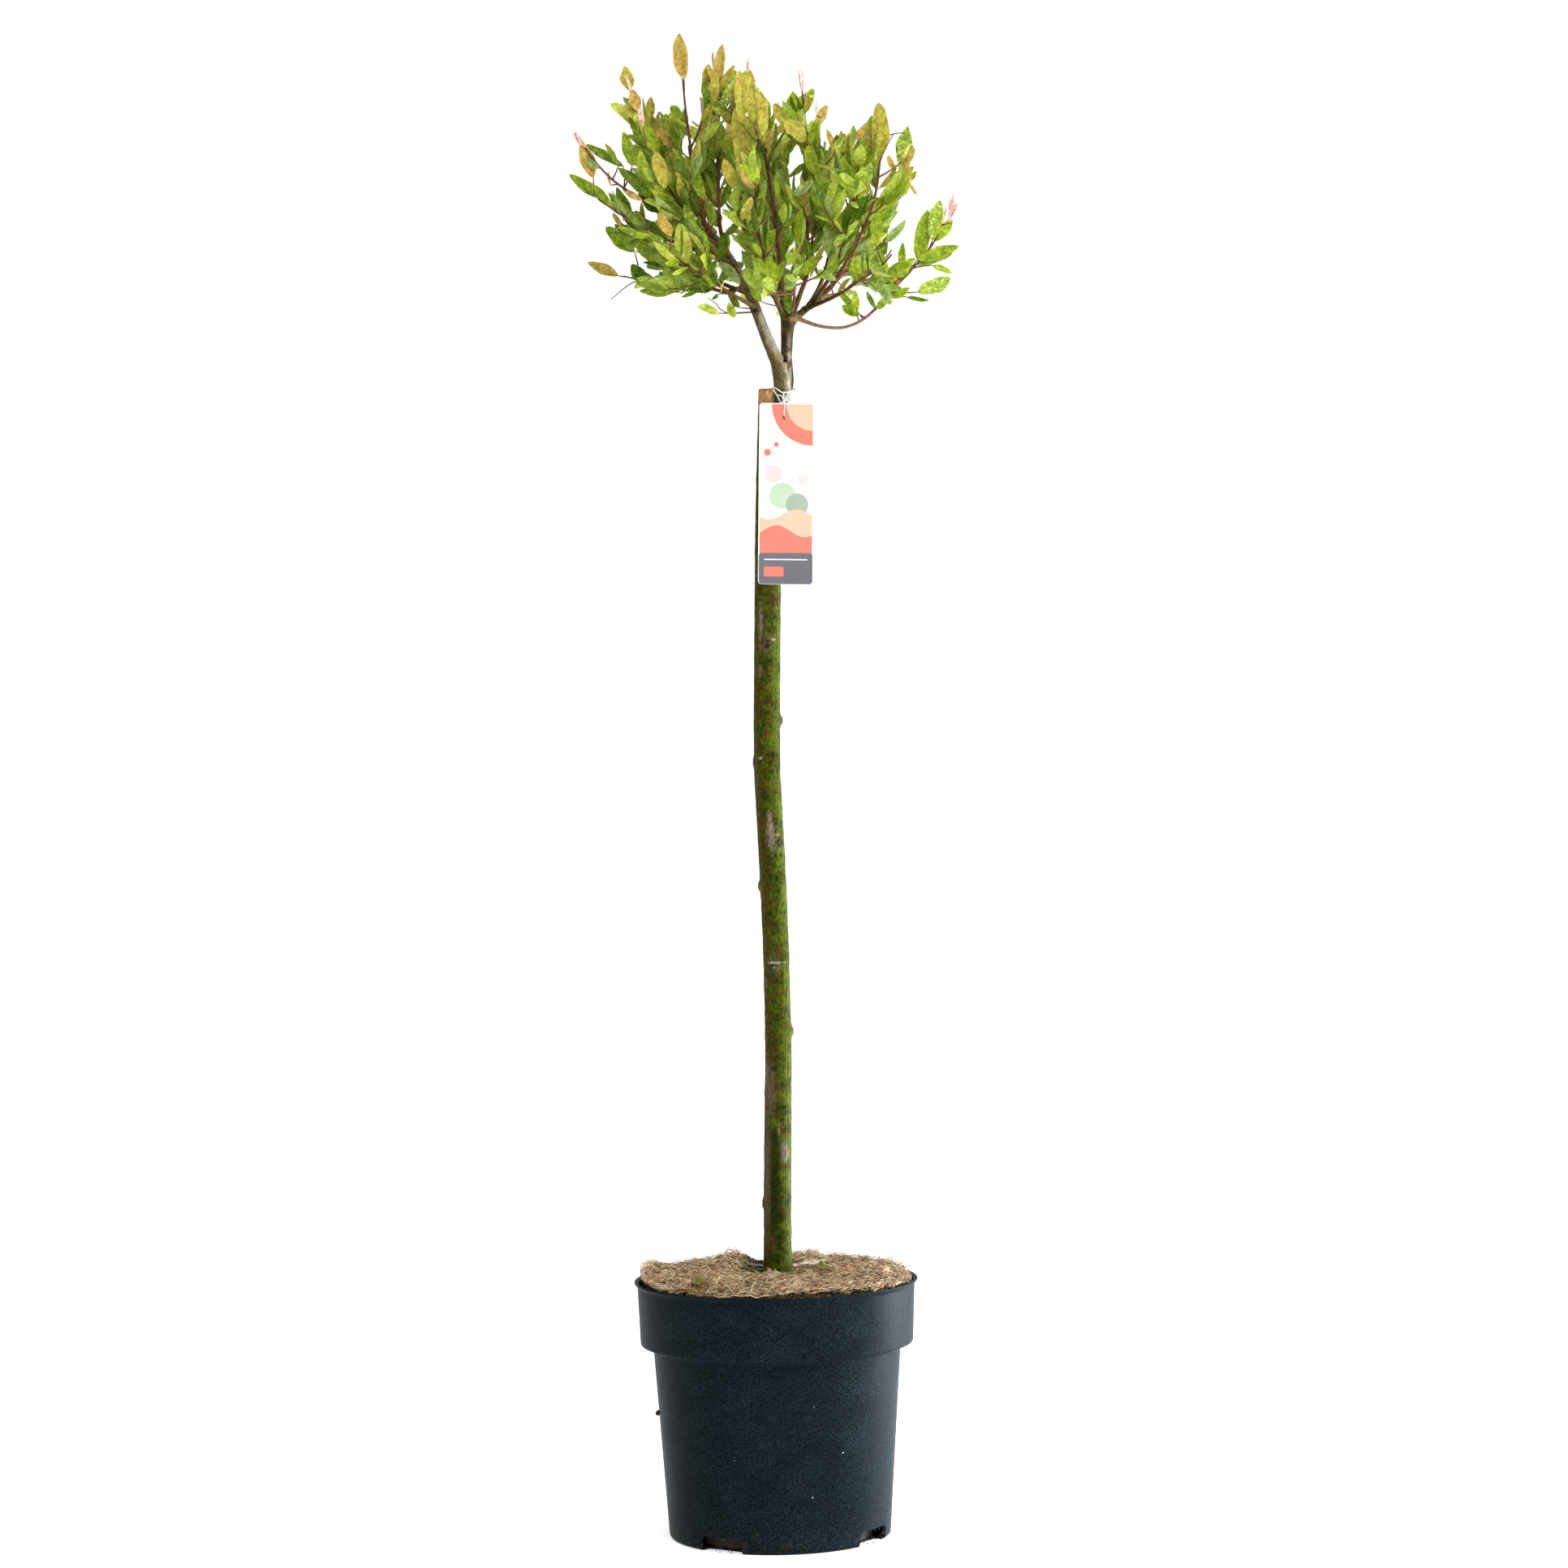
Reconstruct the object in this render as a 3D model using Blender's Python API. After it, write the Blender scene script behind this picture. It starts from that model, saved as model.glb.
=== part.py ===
"""A dappled willow grown as a small standard tree, standing in its nursery pot.

A straight green-barked stem carries a grafted head: one bough leans left, one stands on the
right and ends in a knuckle, and slender limbs fan out from both to the masses of foliage.

Metres, +Z up. The origin is the centre of the pot's underside, which stands at z = 0. +X is to
the right and +Y away from whoever faces the plant's front. Bearings are turned from +X to +Y.
"""

import math
import random
from collections import namedtuple

import bmesh
import bpy
from mathutils import Matrix, Vector
from mathutils.bvhtree import BVHTree
from mathutils.kdtree import KDTree

# Driving dimensions
CLEARANCE = 0.0003
POT_HEIGHT = 0.260
POT_FOOT_RADIUS = 0.1105
POT_STEP_HEIGHT = 0.192
POT_STEP_RISE = 0.004
POT_BODY_TOP_RADIUS = 0.1258
POT_BAND_RADIUS = 0.1387
POT_BAND_TOP_RADIUS = 0.1411
POT_RIM_RADIUS = 0.1443
POT_WALL = 0.0018
POT_BASE = 0.003
NOTCH_HEIGHT = 0.0155
NOTCH_ANGLE = math.radians(25)
NOTCH_INNER_RADIUS = 0.100
NOTCH_BEARINGS = [math.radians(-122.5 + 90 * quarter) for quarter in range(4)]
MIX_LEVEL = 0.250
MIX_CROWN = 0.004
MAT_RADIUS = 0.1365
MAT_LEVEL = 0.2665
MAT_HOLE_RADIUS = 0.021
SLIT_BEARING = math.radians(100)
SLIT_WIDTH = 0.004
TRUNK_RADIUS = 0.0140
TRUNK_TOP = 1.166
LABEL_WIDTH = 0.055
LABEL_HEIGHT = 0.184
LABEL_THICKNESS = 0.0006
LABEL_LEAN = math.radians(1.5)
LABEL_CENTRE = (0.0225, -0.0172, 1.0585)
LABEL_HOLE = (0.0222, -0.0172, 1.1385)
LABEL_HOLE_RADIUS = 0.0026
TIE_RADIUS = 0.0007
TIE_SLACK = 0.0009
TIE_LEVEL = 1.174
TIE_TILT = math.radians(23)
TIE_LOOP_RADIUS = 0.0027
LEAF_LENGTH = 0.044
LEAF_WIDTH = 0.0165
LEAF_THICKNESS = 0.0012
ROOT_DEPTH = 0.003
CANDLE_WIDTH = 0.006
NODE_SPACING = 0.0207
TWIG_SPACING = 0.026
TWIG_REACH = 0.054
TWIG_STEP = 0.010
TWIG_RADIUS = 0.0013
TWIG_TIP_RADIUS = 0.0009
SPACE_MARGIN = 0.0014
TWIG_MARGIN = 0.007

ROUND_SEGMENTS = 36
TRUNK_SIDES = 10
BOUGH_SIDES = 9
LIMB_SIDES = 5
TWIG_SIDES = 3
GOLDEN_ANGLE = math.radians(137.5)
UP = Vector((0, 0, 1))
RIGHT = Vector((1, 0, 0))
FORWARD = Vector((0, -1, 0))
CROWN_HEART = Vector((0.01, 0.0, 1.27))

# A leaf's outline: where its two shoulders are along it, and how far each reaches aside
LOW_SHOULDER = (0.27, 0.47)
HIGH_SHOULDER = (0.68, 0.45)

# How a leaf is set again when it doesn't fit: turned about its twig, folded nearer to it, shrunk
LEAF_TRIES = [(0, 0, 1), (0.5, 0.15, 0.95), (-0.5, 0.15, 0.95), (0, 0.35, 0.8)]

# Where the trunk's centre line goes as it climbs: (x, y, z)
TRUNK_LINE = [
    (0.002, 0.000, 0.2545),
    (0.003, 0.000, 0.339),
    (0.006, -0.001, 0.487),
    (0.004, -0.002, 0.653),
    (0.000, -0.002, 0.818),
    (0.003, -0.001, 0.951),
    (0.006, 0.000, 1.050),
    (0.010, 0.000, TRUNK_TOP),
]

# Old pruning knots on the trunk: height, bearing round the stem and how far each swells
Knot = namedtuple("Knot", "height bearing swell")
KNOTS = [
    Knot(0.337, math.radians(180), 0.0022),
    Knot(0.388, math.radians(-35), 0.0020),
    Knot(0.450, math.radians(-150), 0.0014),
    Knot(0.512, math.radians(0), 0.0038),
    Knot(0.578, math.radians(-90), 0.0010),
    Knot(0.660, math.radians(180), 0.0034),
    Knot(0.704, math.radians(-55), 0.0024),
    Knot(0.787, math.radians(175), 0.0018),
    Knot(0.828, math.radians(0), 0.0040),
    Knot(0.909, math.radians(-90), 0.0012),
]
KNOT_SPREAD = 0.006

# The grafted head's main wood: centre line and radius at each point
Wood = namedtuple("Wood", "line radii")
SCION = Wood(
    [(0.020, -0.006, 1.116), (0.022, -0.006, 1.150), (0.022, -0.005, 1.170), (0.019, -0.004, 1.192)],
    [0.0035, 0.0075, 0.0080, 0.0078],
)
BOUGH_LEFT = Wood(
    [
        (0.0185, -0.004, 1.1923),
        (0.012, -0.004, 1.207),
        (0.003, -0.003, 1.230),
        (-0.008, -0.002, 1.260),
        (-0.020, -0.001, 1.284),
        (-0.032, 0.000, 1.305),
        (-0.043, 0.001, 1.320),
    ],
    [0.0072, 0.0062, 0.0055, 0.0052, 0.0048, 0.0042, 0.0036],
)
BOUGH_RIGHT = Wood(
    [
        (0.025, 0.001, 1.156),
        (0.031, 0.006, 1.172),
        (0.028, 0.006, 1.198),
        (0.028, 0.004, 1.218),
        (0.029, 0.003, 1.230),
        (0.030, 0.002, 1.239),
        (0.031, 0.002, 1.246),
    ],
    [0.0045, 0.0056, 0.0055, 0.0058, 0.0068, 0.0082, 0.0060],
)

# Each shoot leaves its bough at the first bare point, runs as a bare limb to the last one, the
# knee, and then as a leafy mass to its tip. limb is its radius at the foot.
Shoot = namedtuple("Shoot", "name limb bare leafy tint")
SHOOTS = [
    # From the left bough
    Shoot(
        "left_tall",
        0.0030,
        [(-0.041, 0.001, 1.3175), (-0.050, 0.004, 1.331), (-0.057, 0.005, 1.350)],
        [(-0.070, 0.006, 1.440), (-0.077, 0.010, 1.531)],
        "bronze",
    ),
    Shoot(
        "left_upright",
        0.0026,
        [(-0.031, 0.002, 1.303), (-0.036, 0.014, 1.322), (-0.039, 0.022, 1.345)],
        [(-0.039, 0.035, 1.420), (-0.038, 0.040, 1.522)],
        "bronze",
    ),
    Shoot(
        "left_top",
        0.0026,
        [(-0.040, 0.002, 1.317), (-0.058, 0.008, 1.331), (-0.074, 0.012, 1.350)],
        [(-0.112, 0.018, 1.430), (-0.135, 0.020, 1.498)],
        "pink",
    ),
    Shoot(
        "left_outer",
        0.0026,
        [(-0.035, -0.001, 1.3095), (-0.060, -0.014, 1.324), (-0.084, -0.022, 1.342)],
        [(-0.146, -0.030, 1.379), (-0.188, -0.030, 1.433)],
        "pink",
    ),
    Shoot(
        "left_low",
        0.0023,
        [(-0.025, -0.003, 1.294), (-0.050, -0.018, 1.303), (-0.072, -0.026, 1.310)],
        [(-0.132, -0.028, 1.340), (-0.193, -0.024, 1.384)],
        "green",
    ),
    Shoot(
        "left_skirt",
        0.0022,
        [(-0.013, -0.001, 1.271), (-0.034, 0.008, 1.267), (-0.058, 0.018, 1.273)],
        [(-0.122, 0.026, 1.282), (-0.175, 0.028, 1.299)],
        "bronze",
    ),
    Shoot(
        "left_front",
        0.0024,
        [(-0.018, -0.003, 1.279), (-0.037, -0.030, 1.292), (-0.050, -0.050, 1.310)],
        [(-0.080, -0.095, 1.350), (-0.108, -0.132, 1.396)],
        "green",
    ),
    Shoot(
        "left_front_low",
        0.0021,
        [(-0.005, -0.005, 1.250), (-0.022, -0.030, 1.258), (-0.040, -0.052, 1.268)],
        [(-0.070, -0.100, 1.284), (-0.102, -0.146, 1.308)],
        "green",
    ),
    Shoot(
        "left_back",
        0.0025,
        [(-0.023, 0.002, 1.290), (-0.040, 0.030, 1.308), (-0.054, 0.050, 1.332)],
        [(-0.084, 0.090, 1.410), (-0.111, 0.112, 1.478)],
        "bronze",
    ),
    Shoot(
        "left_back_low",
        0.0023,
        [(-0.010, 0.002, 1.264), (-0.034, 0.034, 1.276), (-0.060, 0.064, 1.292)],
        [(-0.112, 0.112, 1.330), (-0.152, 0.138, 1.374)],
        "green",
    ),
    # From the right bough's knuckle
    Shoot(
        "leader",
        0.0034,
        [(0.029, 0.002, 1.241), (0.024, 0.002, 1.266), (0.022, 0.002, 1.300)],
        [(0.010, 0.002, 1.400), (-0.012, 0.000, 1.498)],
        "bronze",
    ),
    Shoot(
        "front_centre",
        0.0023,
        [(0.026, -0.001, 1.237), (0.014, -0.026, 1.262), (0.007, -0.046, 1.286)],
        [(-0.002, -0.096, 1.352), (0.002, -0.128, 1.432)],
        "green",
    ),
    Shoot(
        "front_low",
        0.0021,
        [(0.031, -0.002, 1.233), (0.034, -0.032, 1.246), (0.036, -0.060, 1.256)],
        [(0.036, -0.112, 1.278), (0.034, -0.164, 1.318)],
        "green",
    ),
    Shoot(
        "back_centre",
        0.0027,
        [(0.028, 0.006, 1.241), (0.022, 0.026, 1.268), (0.018, 0.042, 1.300)],
        [(0.012, 0.078, 1.400), (0.010, 0.100, 1.488)],
        "bronze",
    ),
    Shoot(
        "back_low",
        0.0023,
        [(0.029, 0.006, 1.236), (0.022, 0.044, 1.252), (0.016, 0.074, 1.274)],
        [(0.010, 0.130, 1.332), (0.012, 0.166, 1.398)],
        "green",
    ),
    Shoot(
        "top_right",
        0.0026,
        [(0.033, 0.004, 1.242), (0.044, 0.012, 1.268), (0.050, 0.015, 1.294)],
        [(0.052, 0.014, 1.410), (0.045, 0.010, 1.505)],
        "pink",
    ),
    Shoot(
        "right_inner",
        0.0024,
        [(0.034, -0.001, 1.241), (0.045, -0.020, 1.268), (0.052, -0.034, 1.292)],
        [(0.062, -0.056, 1.380), (0.066, -0.060, 1.454)],
        "bronze",
    ),
    Shoot(
        "right_main",
        0.0033,
        [(0.035, 0.002, 1.237), (0.062, 0.002, 1.259), (0.084, 0.001, 1.284)],
        [(0.120, 0.000, 1.360), (0.129, 0.004, 1.456)],
        "bronze",
    ),
    # From the right-hand main limb
    Shoot(
        "right_front",
        0.0023,
        [(0.056, 0.001, 1.254), (0.072, -0.030, 1.276), (0.082, -0.050, 1.296)],
        [(0.098, -0.094, 1.356), (0.104, -0.122, 1.418)],
        "green",
    ),
    Shoot(
        "right_front_low",
        0.0021,
        [(0.047, 0.001, 1.247), (0.076, -0.036, 1.256), (0.096, -0.062, 1.266)],
        [(0.128, -0.102, 1.286), (0.152, -0.128, 1.320)],
        "green",
    ),
    Shoot(
        "right_back",
        0.0024,
        [(0.052, 0.002, 1.251), (0.064, 0.034, 1.276), (0.072, 0.056, 1.302)],
        [(0.090, 0.100, 1.380), (0.100, 0.122, 1.454)],
        "bronze",
    ),
    Shoot(
        "right_outer",
        0.0024,
        [(0.078, 0.002, 1.277), (0.098, 0.022, 1.291), (0.112, 0.034, 1.308)],
        [(0.144, 0.058, 1.372), (0.160, 0.064, 1.434)],
        "bronze",
    ),
    Shoot(
        "right_back_low",
        0.0022,
        [(0.062, 0.002, 1.259), (0.084, 0.046, 1.266), (0.098, 0.074, 1.278)],
        [(0.132, 0.118, 1.306), (0.158, 0.140, 1.350)],
        "green",
    ),
    # From the low arching limb
    Shoot(
        "far_right",
        0.0020,
        [(0.140, 0.000, 1.271), (0.147, 0.000, 1.277), (0.154, 0.000, 1.283)],
        [(0.182, 0.000, 1.317), (0.193, 0.000, 1.357)],
        "pink",
    ),
]

# The low limb that dips and rises on the right is split where it bends
ARCH_INNER = Wood(
    [(0.036, 0.000, 1.2385), (0.056, 0.000, 1.231), (0.074, 0.000, 1.2275), (0.090, 0.000, 1.2285)],
    [0.0023, 0.0020, 0.0018, 0.0017],
)
ARCH_OUTER = Wood(
    [(0.0903, 0.000, 1.2285), (0.106, 0.000, 1.2355), (0.121, 0.000, 1.2485), (0.141, 0.000, 1.2715)],
    [0.0017, 0.0017, 0.0017, 0.0016],
)


# Materials


def finish(name, colour, roughness, metallic=0.0):
    """A Principled material, made once and shared by every piece of that finish."""
    known = bpy.data.materials.get(name)
    if known:
        return known
    material = bpy.data.materials.new(name)
    material.use_nodes = True
    shader = material.node_tree.nodes["Principled BSDF"]
    shader.inputs["Base Color"].default_value = (*colour, 1)
    shader.inputs["Roughness"].default_value = roughness
    shader.inputs["Metallic"].default_value = metallic
    material.diffuse_color = (*colour, 1)
    return material


def pot_plastic():
    return finish("pot_plastic", (0.010, 0.014, 0.018), 0.42)


def moist_mix():
    return finish("moist_mix", (0.020, 0.013, 0.008), 0.95)


def coir():
    return finish("coir", (0.33, 0.23, 0.13), 0.95)


def green_bark():
    return finish("green_bark", (0.085, 0.100, 0.026), 0.55)


def grey_bark():
    return finish("grey_bark", (0.22, 0.18, 0.11), 0.65)


def red_bark():
    return finish("red_bark", (0.16, 0.065, 0.040), 0.50)


def leaf_finish(tint):
    colours = {"green": (0.09, 0.19, 0.03), "bronze": (0.20, 0.20, 0.05), "pink": (0.42, 0.30, 0.16)}
    return finish("leaf_" + tint, colours[tint], 0.50)


def label_plastic():
    return finish("label_plastic", (0.80, 0.72, 0.70), 0.35)


def tie_plastic():
    return finish("tie_plastic", (0.75, 0.75, 0.74), 0.45)


# Shells: a closed surface as (points, faces), before it becomes an object


def smooth_line(line, step):
    """Points about a step apart on a smooth curve through the given ones (Catmull-Rom)."""
    known = [Vector(point) for point in line]
    ghosts = [2 * known[0] - known[1], *known, 2 * known[-1] - known[-2]]
    points = []
    for before, start, end, after in zip(ghosts, ghosts[1:], ghosts[2:], ghosts[3:]):
        pieces = max(1, round((end - start).length / step))
        for piece in range(pieces):
            t = piece / pieces
            points.append(
                0.5
                * (
                    2 * start
                    + (end - before) * t
                    + (2 * before - 5 * start + 4 * end - after) * t**2
                    + (3 * start - before - 3 * end + after) * t**3
                )
            )
    points.append(known[-1])
    return points


def distances_along(points):
    total = [0.0]
    for before, after in zip(points, points[1:]):
        total.append(total[-1] + (after - before).length)
    return total


def directions(points):
    ways = []
    for index, point in enumerate(points):
        before = points[max(index - 1, 0)]
        after = points[min(index + 1, len(points) - 1)]
        ways.append((after - before).normalized())
    return ways


def side_axes(points):
    """(direction, side, other side) at each point, carried along the line without twisting."""
    ways = directions(points)
    side = ways[0].orthogonal().normalized()
    axes = []
    for way in ways:
        side = (side - way * side.dot(way)).normalized()
        axes.append((way, side, way.cross(side)))
    return axes


def ring_faces(rings, sides):
    """Side faces between rings of points numbered one after another, and a cap at each end."""
    faces = []
    for ring in range(rings - 1):
        low = ring * sides
        high = low + sides
        for side in range(sides):
            after = (side + 1) % sides
            faces.append((low + side, low + after, high + after, high + side))
    faces.append(tuple(reversed(range(sides))))
    faces.append(tuple(range((rings - 1) * sides, rings * sides)))
    return faces


def tube(points, radii, sides, grow=0.0):
    """A round limb. grow adds that much all round and past both ends."""
    swell = grow / math.cos(math.pi / sides)
    axes = side_axes(points)
    shell = []
    for index, (point, radius, (way, side, other)) in enumerate(zip(points, radii, axes)):
        centre = point
        if index == 0:
            centre = point - way * grow
        elif index == len(points) - 1:
            centre = point + way * grow
        for step in range(sides):
            angle = 2 * math.pi * step / sides
            shell.append(centre + (side * math.cos(angle) + other * math.sin(angle)) * (radius + swell))
    return shell, ring_faces(len(points), sides)


def wood_tube(wood, sides, step, grow=0.0):
    points = smooth_line(wood.line, step)
    lengths = distances_along(points)
    knots = distances_along([Vector(point) for point in wood.line])
    radii = []
    for length in lengths:
        place = length / lengths[-1] * knots[-1]
        slot = max(index for index in range(len(knots) - 1) if knots[index] <= place + 1e-9)
        share = (place - knots[slot]) / (knots[slot + 1] - knots[slot])
        radii.append(wood.radii[slot] * (1 - share) + wood.radii[slot + 1] * share)
    return tube(points, radii, sides, grow)


def leaf(root, heading, side, length, width, thickness):
    """A leaf blade of eight faces: an upper and a lower triangle that make a six-sided outline."""
    face = side.cross(heading).normalized() * thickness / 2
    low, high = (root + heading * length * shoulder[0] for shoulder in (LOW_SHOULDER, HIGH_SHOULDER))
    low_reach, high_reach = (side * width * shoulder[1] for shoulder in (LOW_SHOULDER, HIGH_SHOULDER))
    points = [
        root + face,
        low + low_reach - face,
        high + high_reach + face,
        root + heading * length - face,
        high - high_reach + face,
        low - low_reach - face,
    ]
    faces = [(0, 2, 4), (1, 5, 3)]
    for corner in (0, 2, 4):
        after = (corner + 1) % 6
        beyond = (corner + 2) % 6
        before = (corner + 5) % 6
        faces.append((corner, after, beyond))
        faces.append((corner, before, after))
    return points, faces


def tree_of(shell):
    points, faces = shell
    return BVHTree.FromPolygons([tuple(point) for point in points], faces)


# Objects


def plant_root():
    """The empty that every piece of the plant and its pot is parented to."""
    root = bpy.data.objects.get("dappled_willow")
    if not root:
        root = bpy.data.objects.new("dappled_willow", None)
        bpy.context.scene.collection.objects.link(root)
    return root


def mesh_of(name, shell, foot):
    """A closed mesh from a shell, with its faces turned outward and its origin at foot."""
    points, faces = shell
    mesh = bpy.data.meshes.new(name)
    mesh.from_pydata([tuple(point - foot) for point in points], [], faces)
    work = bmesh.new()
    work.from_mesh(mesh)
    bmesh.ops.recalc_face_normals(work, faces=work.faces)
    work.to_mesh(mesh)
    work.free()
    return mesh


def solid(name, shell, material, foot=(0, 0, 0)):
    """An object placed at its foot, the point where it stands on or grows from its neighbour."""
    made = bpy.data.objects.new(name, mesh_of(name, shell, Vector(foot)))
    made.data.materials.append(material)
    made.location = foot
    made.parent = plant_root()
    bpy.context.scene.collection.objects.link(made)
    return made


def islands(work):
    """The groups of joined faces in a bmesh."""
    left = set(work.faces)
    groups = []
    while left:
        group = []
        stack = [left.pop()]
        while stack:
            face = stack.pop()
            group.append(face)
            for edge in face.edges:
                for other in edge.link_faces:
                    if other in left:
                        left.remove(other)
                        stack.append(other)
        groups.append(group)
    return groups


def tidy(mesh):
    """Keeps the largest body, so that no loose scrap or sealed hollow stays."""
    work = bmesh.new()
    work.from_mesh(mesh)
    bmesh.ops.dissolve_degenerate(work, dist=1e-7, edges=work.edges)
    groups = sorted(islands(work), key=len)
    for group in groups[:-1]:
        bmesh.ops.delete(work, geom=group, context="FACES")
    loose = [vertex for vertex in work.verts if not vertex.link_faces]
    bmesh.ops.delete(work, geom=loose, context="VERTS")
    bmesh.ops.triangulate(work, faces=work.faces)
    work.to_mesh(mesh)
    work.free()


def is_closed(mesh):
    work = bmesh.new()
    work.from_mesh(mesh)
    closed = len(work.faces) > 0 and all(len(edge.link_faces) == 2 for edge in work.edges)
    work.free()
    return closed


def applied(made, modifier):
    """The object's mesh with this Boolean applied, by EXACT or else by MANIFOLD."""
    before = made.data
    for solver in ("EXACT", "MANIFOLD"):
        modifier.solver = solver
        bpy.context.view_layer.update()
        mesh = bpy.data.meshes.new_from_object(made.evaluated_get(bpy.context.evaluated_depsgraph_get()))
        tidy(mesh)
        if is_closed(mesh):
            break
    made.modifiers.remove(modifier)
    made.data = mesh
    mesh.name = before.name
    bpy.data.meshes.remove(before)
    return made


def cut(made, cutter_shells):
    """Cuts each shell out of an object in turn."""
    for cutter_shell in cutter_shells:
        cutter = solid("cutter", cutter_shell, moist_mix())
        cutter.hide_render = True
        cutter.display_type = "WIRE"
        modifier = made.modifiers.new("cut", "BOOLEAN")
        modifier.operation = "DIFFERENCE"
        modifier.object = cutter
        applied(made, modifier)
        bpy.data.objects.remove(cutter)
    return made


def fused(name, shells, material, foot):
    """One body from a first shell and all the others that are rooted in it."""
    made = solid(name, shells[0], material, foot)
    pieces = bpy.data.collections.new(name + "_pieces")
    bpy.context.scene.collection.children.link(pieces)
    for shell in shells[1:]:
        piece = bpy.data.objects.new(name + "_piece", mesh_of(name + "_piece", shell, Vector()))
        piece.data.materials.append(material)
        pieces.objects.link(piece)
    modifier = made.modifiers.new("union", "BOOLEAN")
    modifier.operation = "UNION"
    modifier.operand_type = "COLLECTION"
    modifier.collection = pieces
    applied(made, modifier)
    for piece in list(pieces.objects):
        bpy.data.objects.remove(piece)
    bpy.data.collections.remove(pieces)
    return made


def smooth(made, angle=50):
    made.data.shade_smooth()
    made.data.set_sharp_from_angle(angle=math.radians(angle))
    return made


def turned(profile, segments=ROUND_SEGMENTS):
    """A shell turned about Z from a profile of (radius, height) that starts and ends on the axis."""
    points = [Vector((0, 0, profile[0][1]))]
    for radius, height in profile[1:-1]:
        for step in range(segments):
            angle = 2 * math.pi * step / segments
            points.append(Vector((radius * math.cos(angle), radius * math.sin(angle), height)))
    points.append(Vector((0, 0, profile[-1][1])))
    last = len(points) - 1
    faces = []
    for step in range(segments):
        after = (step + 1) % segments
        faces.append((0, 1 + after, 1 + step))
        for ring in range(len(profile) - 3):
            low = 1 + ring * segments
            high = low + segments
            faces.append((low + step, low + after, high + after, high + step))
        top = last - segments
        faces.append((last, top + step, top + after))
    return points, faces


# The pot and what fills it


def pot_inner_radius(height):
    """The inside of the wall, following the foot, the tapering body and the wider band."""
    corners = [
        (POT_BASE, POT_FOOT_RADIUS - 0.001),
        (POT_STEP_HEIGHT + POT_WALL, POT_BODY_TOP_RADIUS - POT_WALL),
        (POT_STEP_HEIGHT + POT_STEP_RISE + POT_WALL, POT_BAND_RADIUS - POT_WALL),
        (POT_HEIGHT - 0.003, POT_BAND_TOP_RADIUS - POT_WALL),
    ]
    for (low, narrow), (high, wide) in zip(corners, corners[1:]):
        if height <= high:
            return narrow + (wide - narrow) * (height - low) / (high - low)
    return corners[-1][1]


def make_pot():
    shelf = POT_STEP_HEIGHT + POT_WALL
    inner = [
        (pot_inner_radius(height), height)
        for height in (POT_HEIGHT - 0.003, shelf + POT_STEP_RISE, shelf, POT_BASE)
    ]
    profile = [
        (0, 0),
        (POT_FOOT_RADIUS, 0),
        (POT_FOOT_RADIUS + 0.0022, 0.003),
        (POT_BODY_TOP_RADIUS, POT_STEP_HEIGHT),
        (POT_BAND_RADIUS, POT_STEP_HEIGHT + POT_STEP_RISE),
        (POT_BAND_TOP_RADIUS, POT_HEIGHT - 0.0055),
        (POT_RIM_RADIUS, POT_HEIGHT - 0.0014),
        (POT_RIM_RADIUS - 0.0006, POT_HEIGHT),
        *inner,
        (0, POT_BASE),
    ]
    pot = solid("pot", turned(profile), pot_plastic())
    return smooth(cut(pot, [notch_shell(bearing) for bearing in NOTCH_BEARINGS]), 30)


def notch_shell(bearing):
    """The block that opens one drainage notch in the foot's edge."""
    rings = []
    for radius in (NOTCH_INNER_RADIUS, POT_FOOT_RADIUS + 0.02):
        for height in (-0.004, NOTCH_HEIGHT):
            for turn in (-0.5, 0.5):
                angle = bearing + NOTCH_ANGLE * turn
                rings.append(Vector((radius * math.cos(angle), radius * math.sin(angle), height)))
    faces = [(0, 1, 3, 2), (4, 6, 7, 5), (0, 4, 5, 1), (2, 3, 7, 6), (0, 2, 6, 4), (1, 5, 7, 3)]
    return rings, faces


def make_potting_mix():
    """Fills the pot to just under the mat, clear of the wall and of the notches."""
    shelf = POT_STEP_HEIGHT + POT_WALL
    heights = [NOTCH_HEIGHT, shelf, shelf + POT_STEP_RISE, MIX_LEVEL - CLEARANCE]
    foot = NOTCH_INNER_RADIUS - 0.002
    wall = [
        (pot_inner_radius(height) - CLEARANCE - 0.0002, height + CLEARANCE) for height in heights
    ]
    profile = [(0, POT_BASE + CLEARANCE), (foot, POT_BASE + CLEARANCE), (foot, wall[0][1]), *wall]
    profile.append((0.020, MIX_LEVEL + MIX_CROWN))
    profile.append((0, MIX_LEVEL + MIX_CROWN))
    return smooth(solid("potting_mix", turned(profile), moist_mix()), 40)


def bump(value, centre, width):
    return math.exp(-(((value - centre) / width) ** 2))


def mat_top(radius, bearing):
    """The mat's surface: uneven, with a raised left edge and a flap that stands up at the slit."""
    turn = (bearing - SLIT_BEARING) % (2 * math.pi)
    waves = 0.0016 * math.sin(3 * bearing + 0.7) + 0.0012 * math.sin(7 * bearing + 40 * radius)
    left_edge = 0.0085 * bump(radius, 0.128, 0.025) * bump(abs(turn - math.radians(78)), 0, 0.45)
    flap = 0.013 * bump(radius, 0.078, 0.045) * bump(turn, math.radians(6), 0.20)
    sag = -0.003 * bump(abs(turn - math.radians(300)), 0, 0.5)
    return MAT_LEVEL + waves + left_edge + flap + sag


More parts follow.
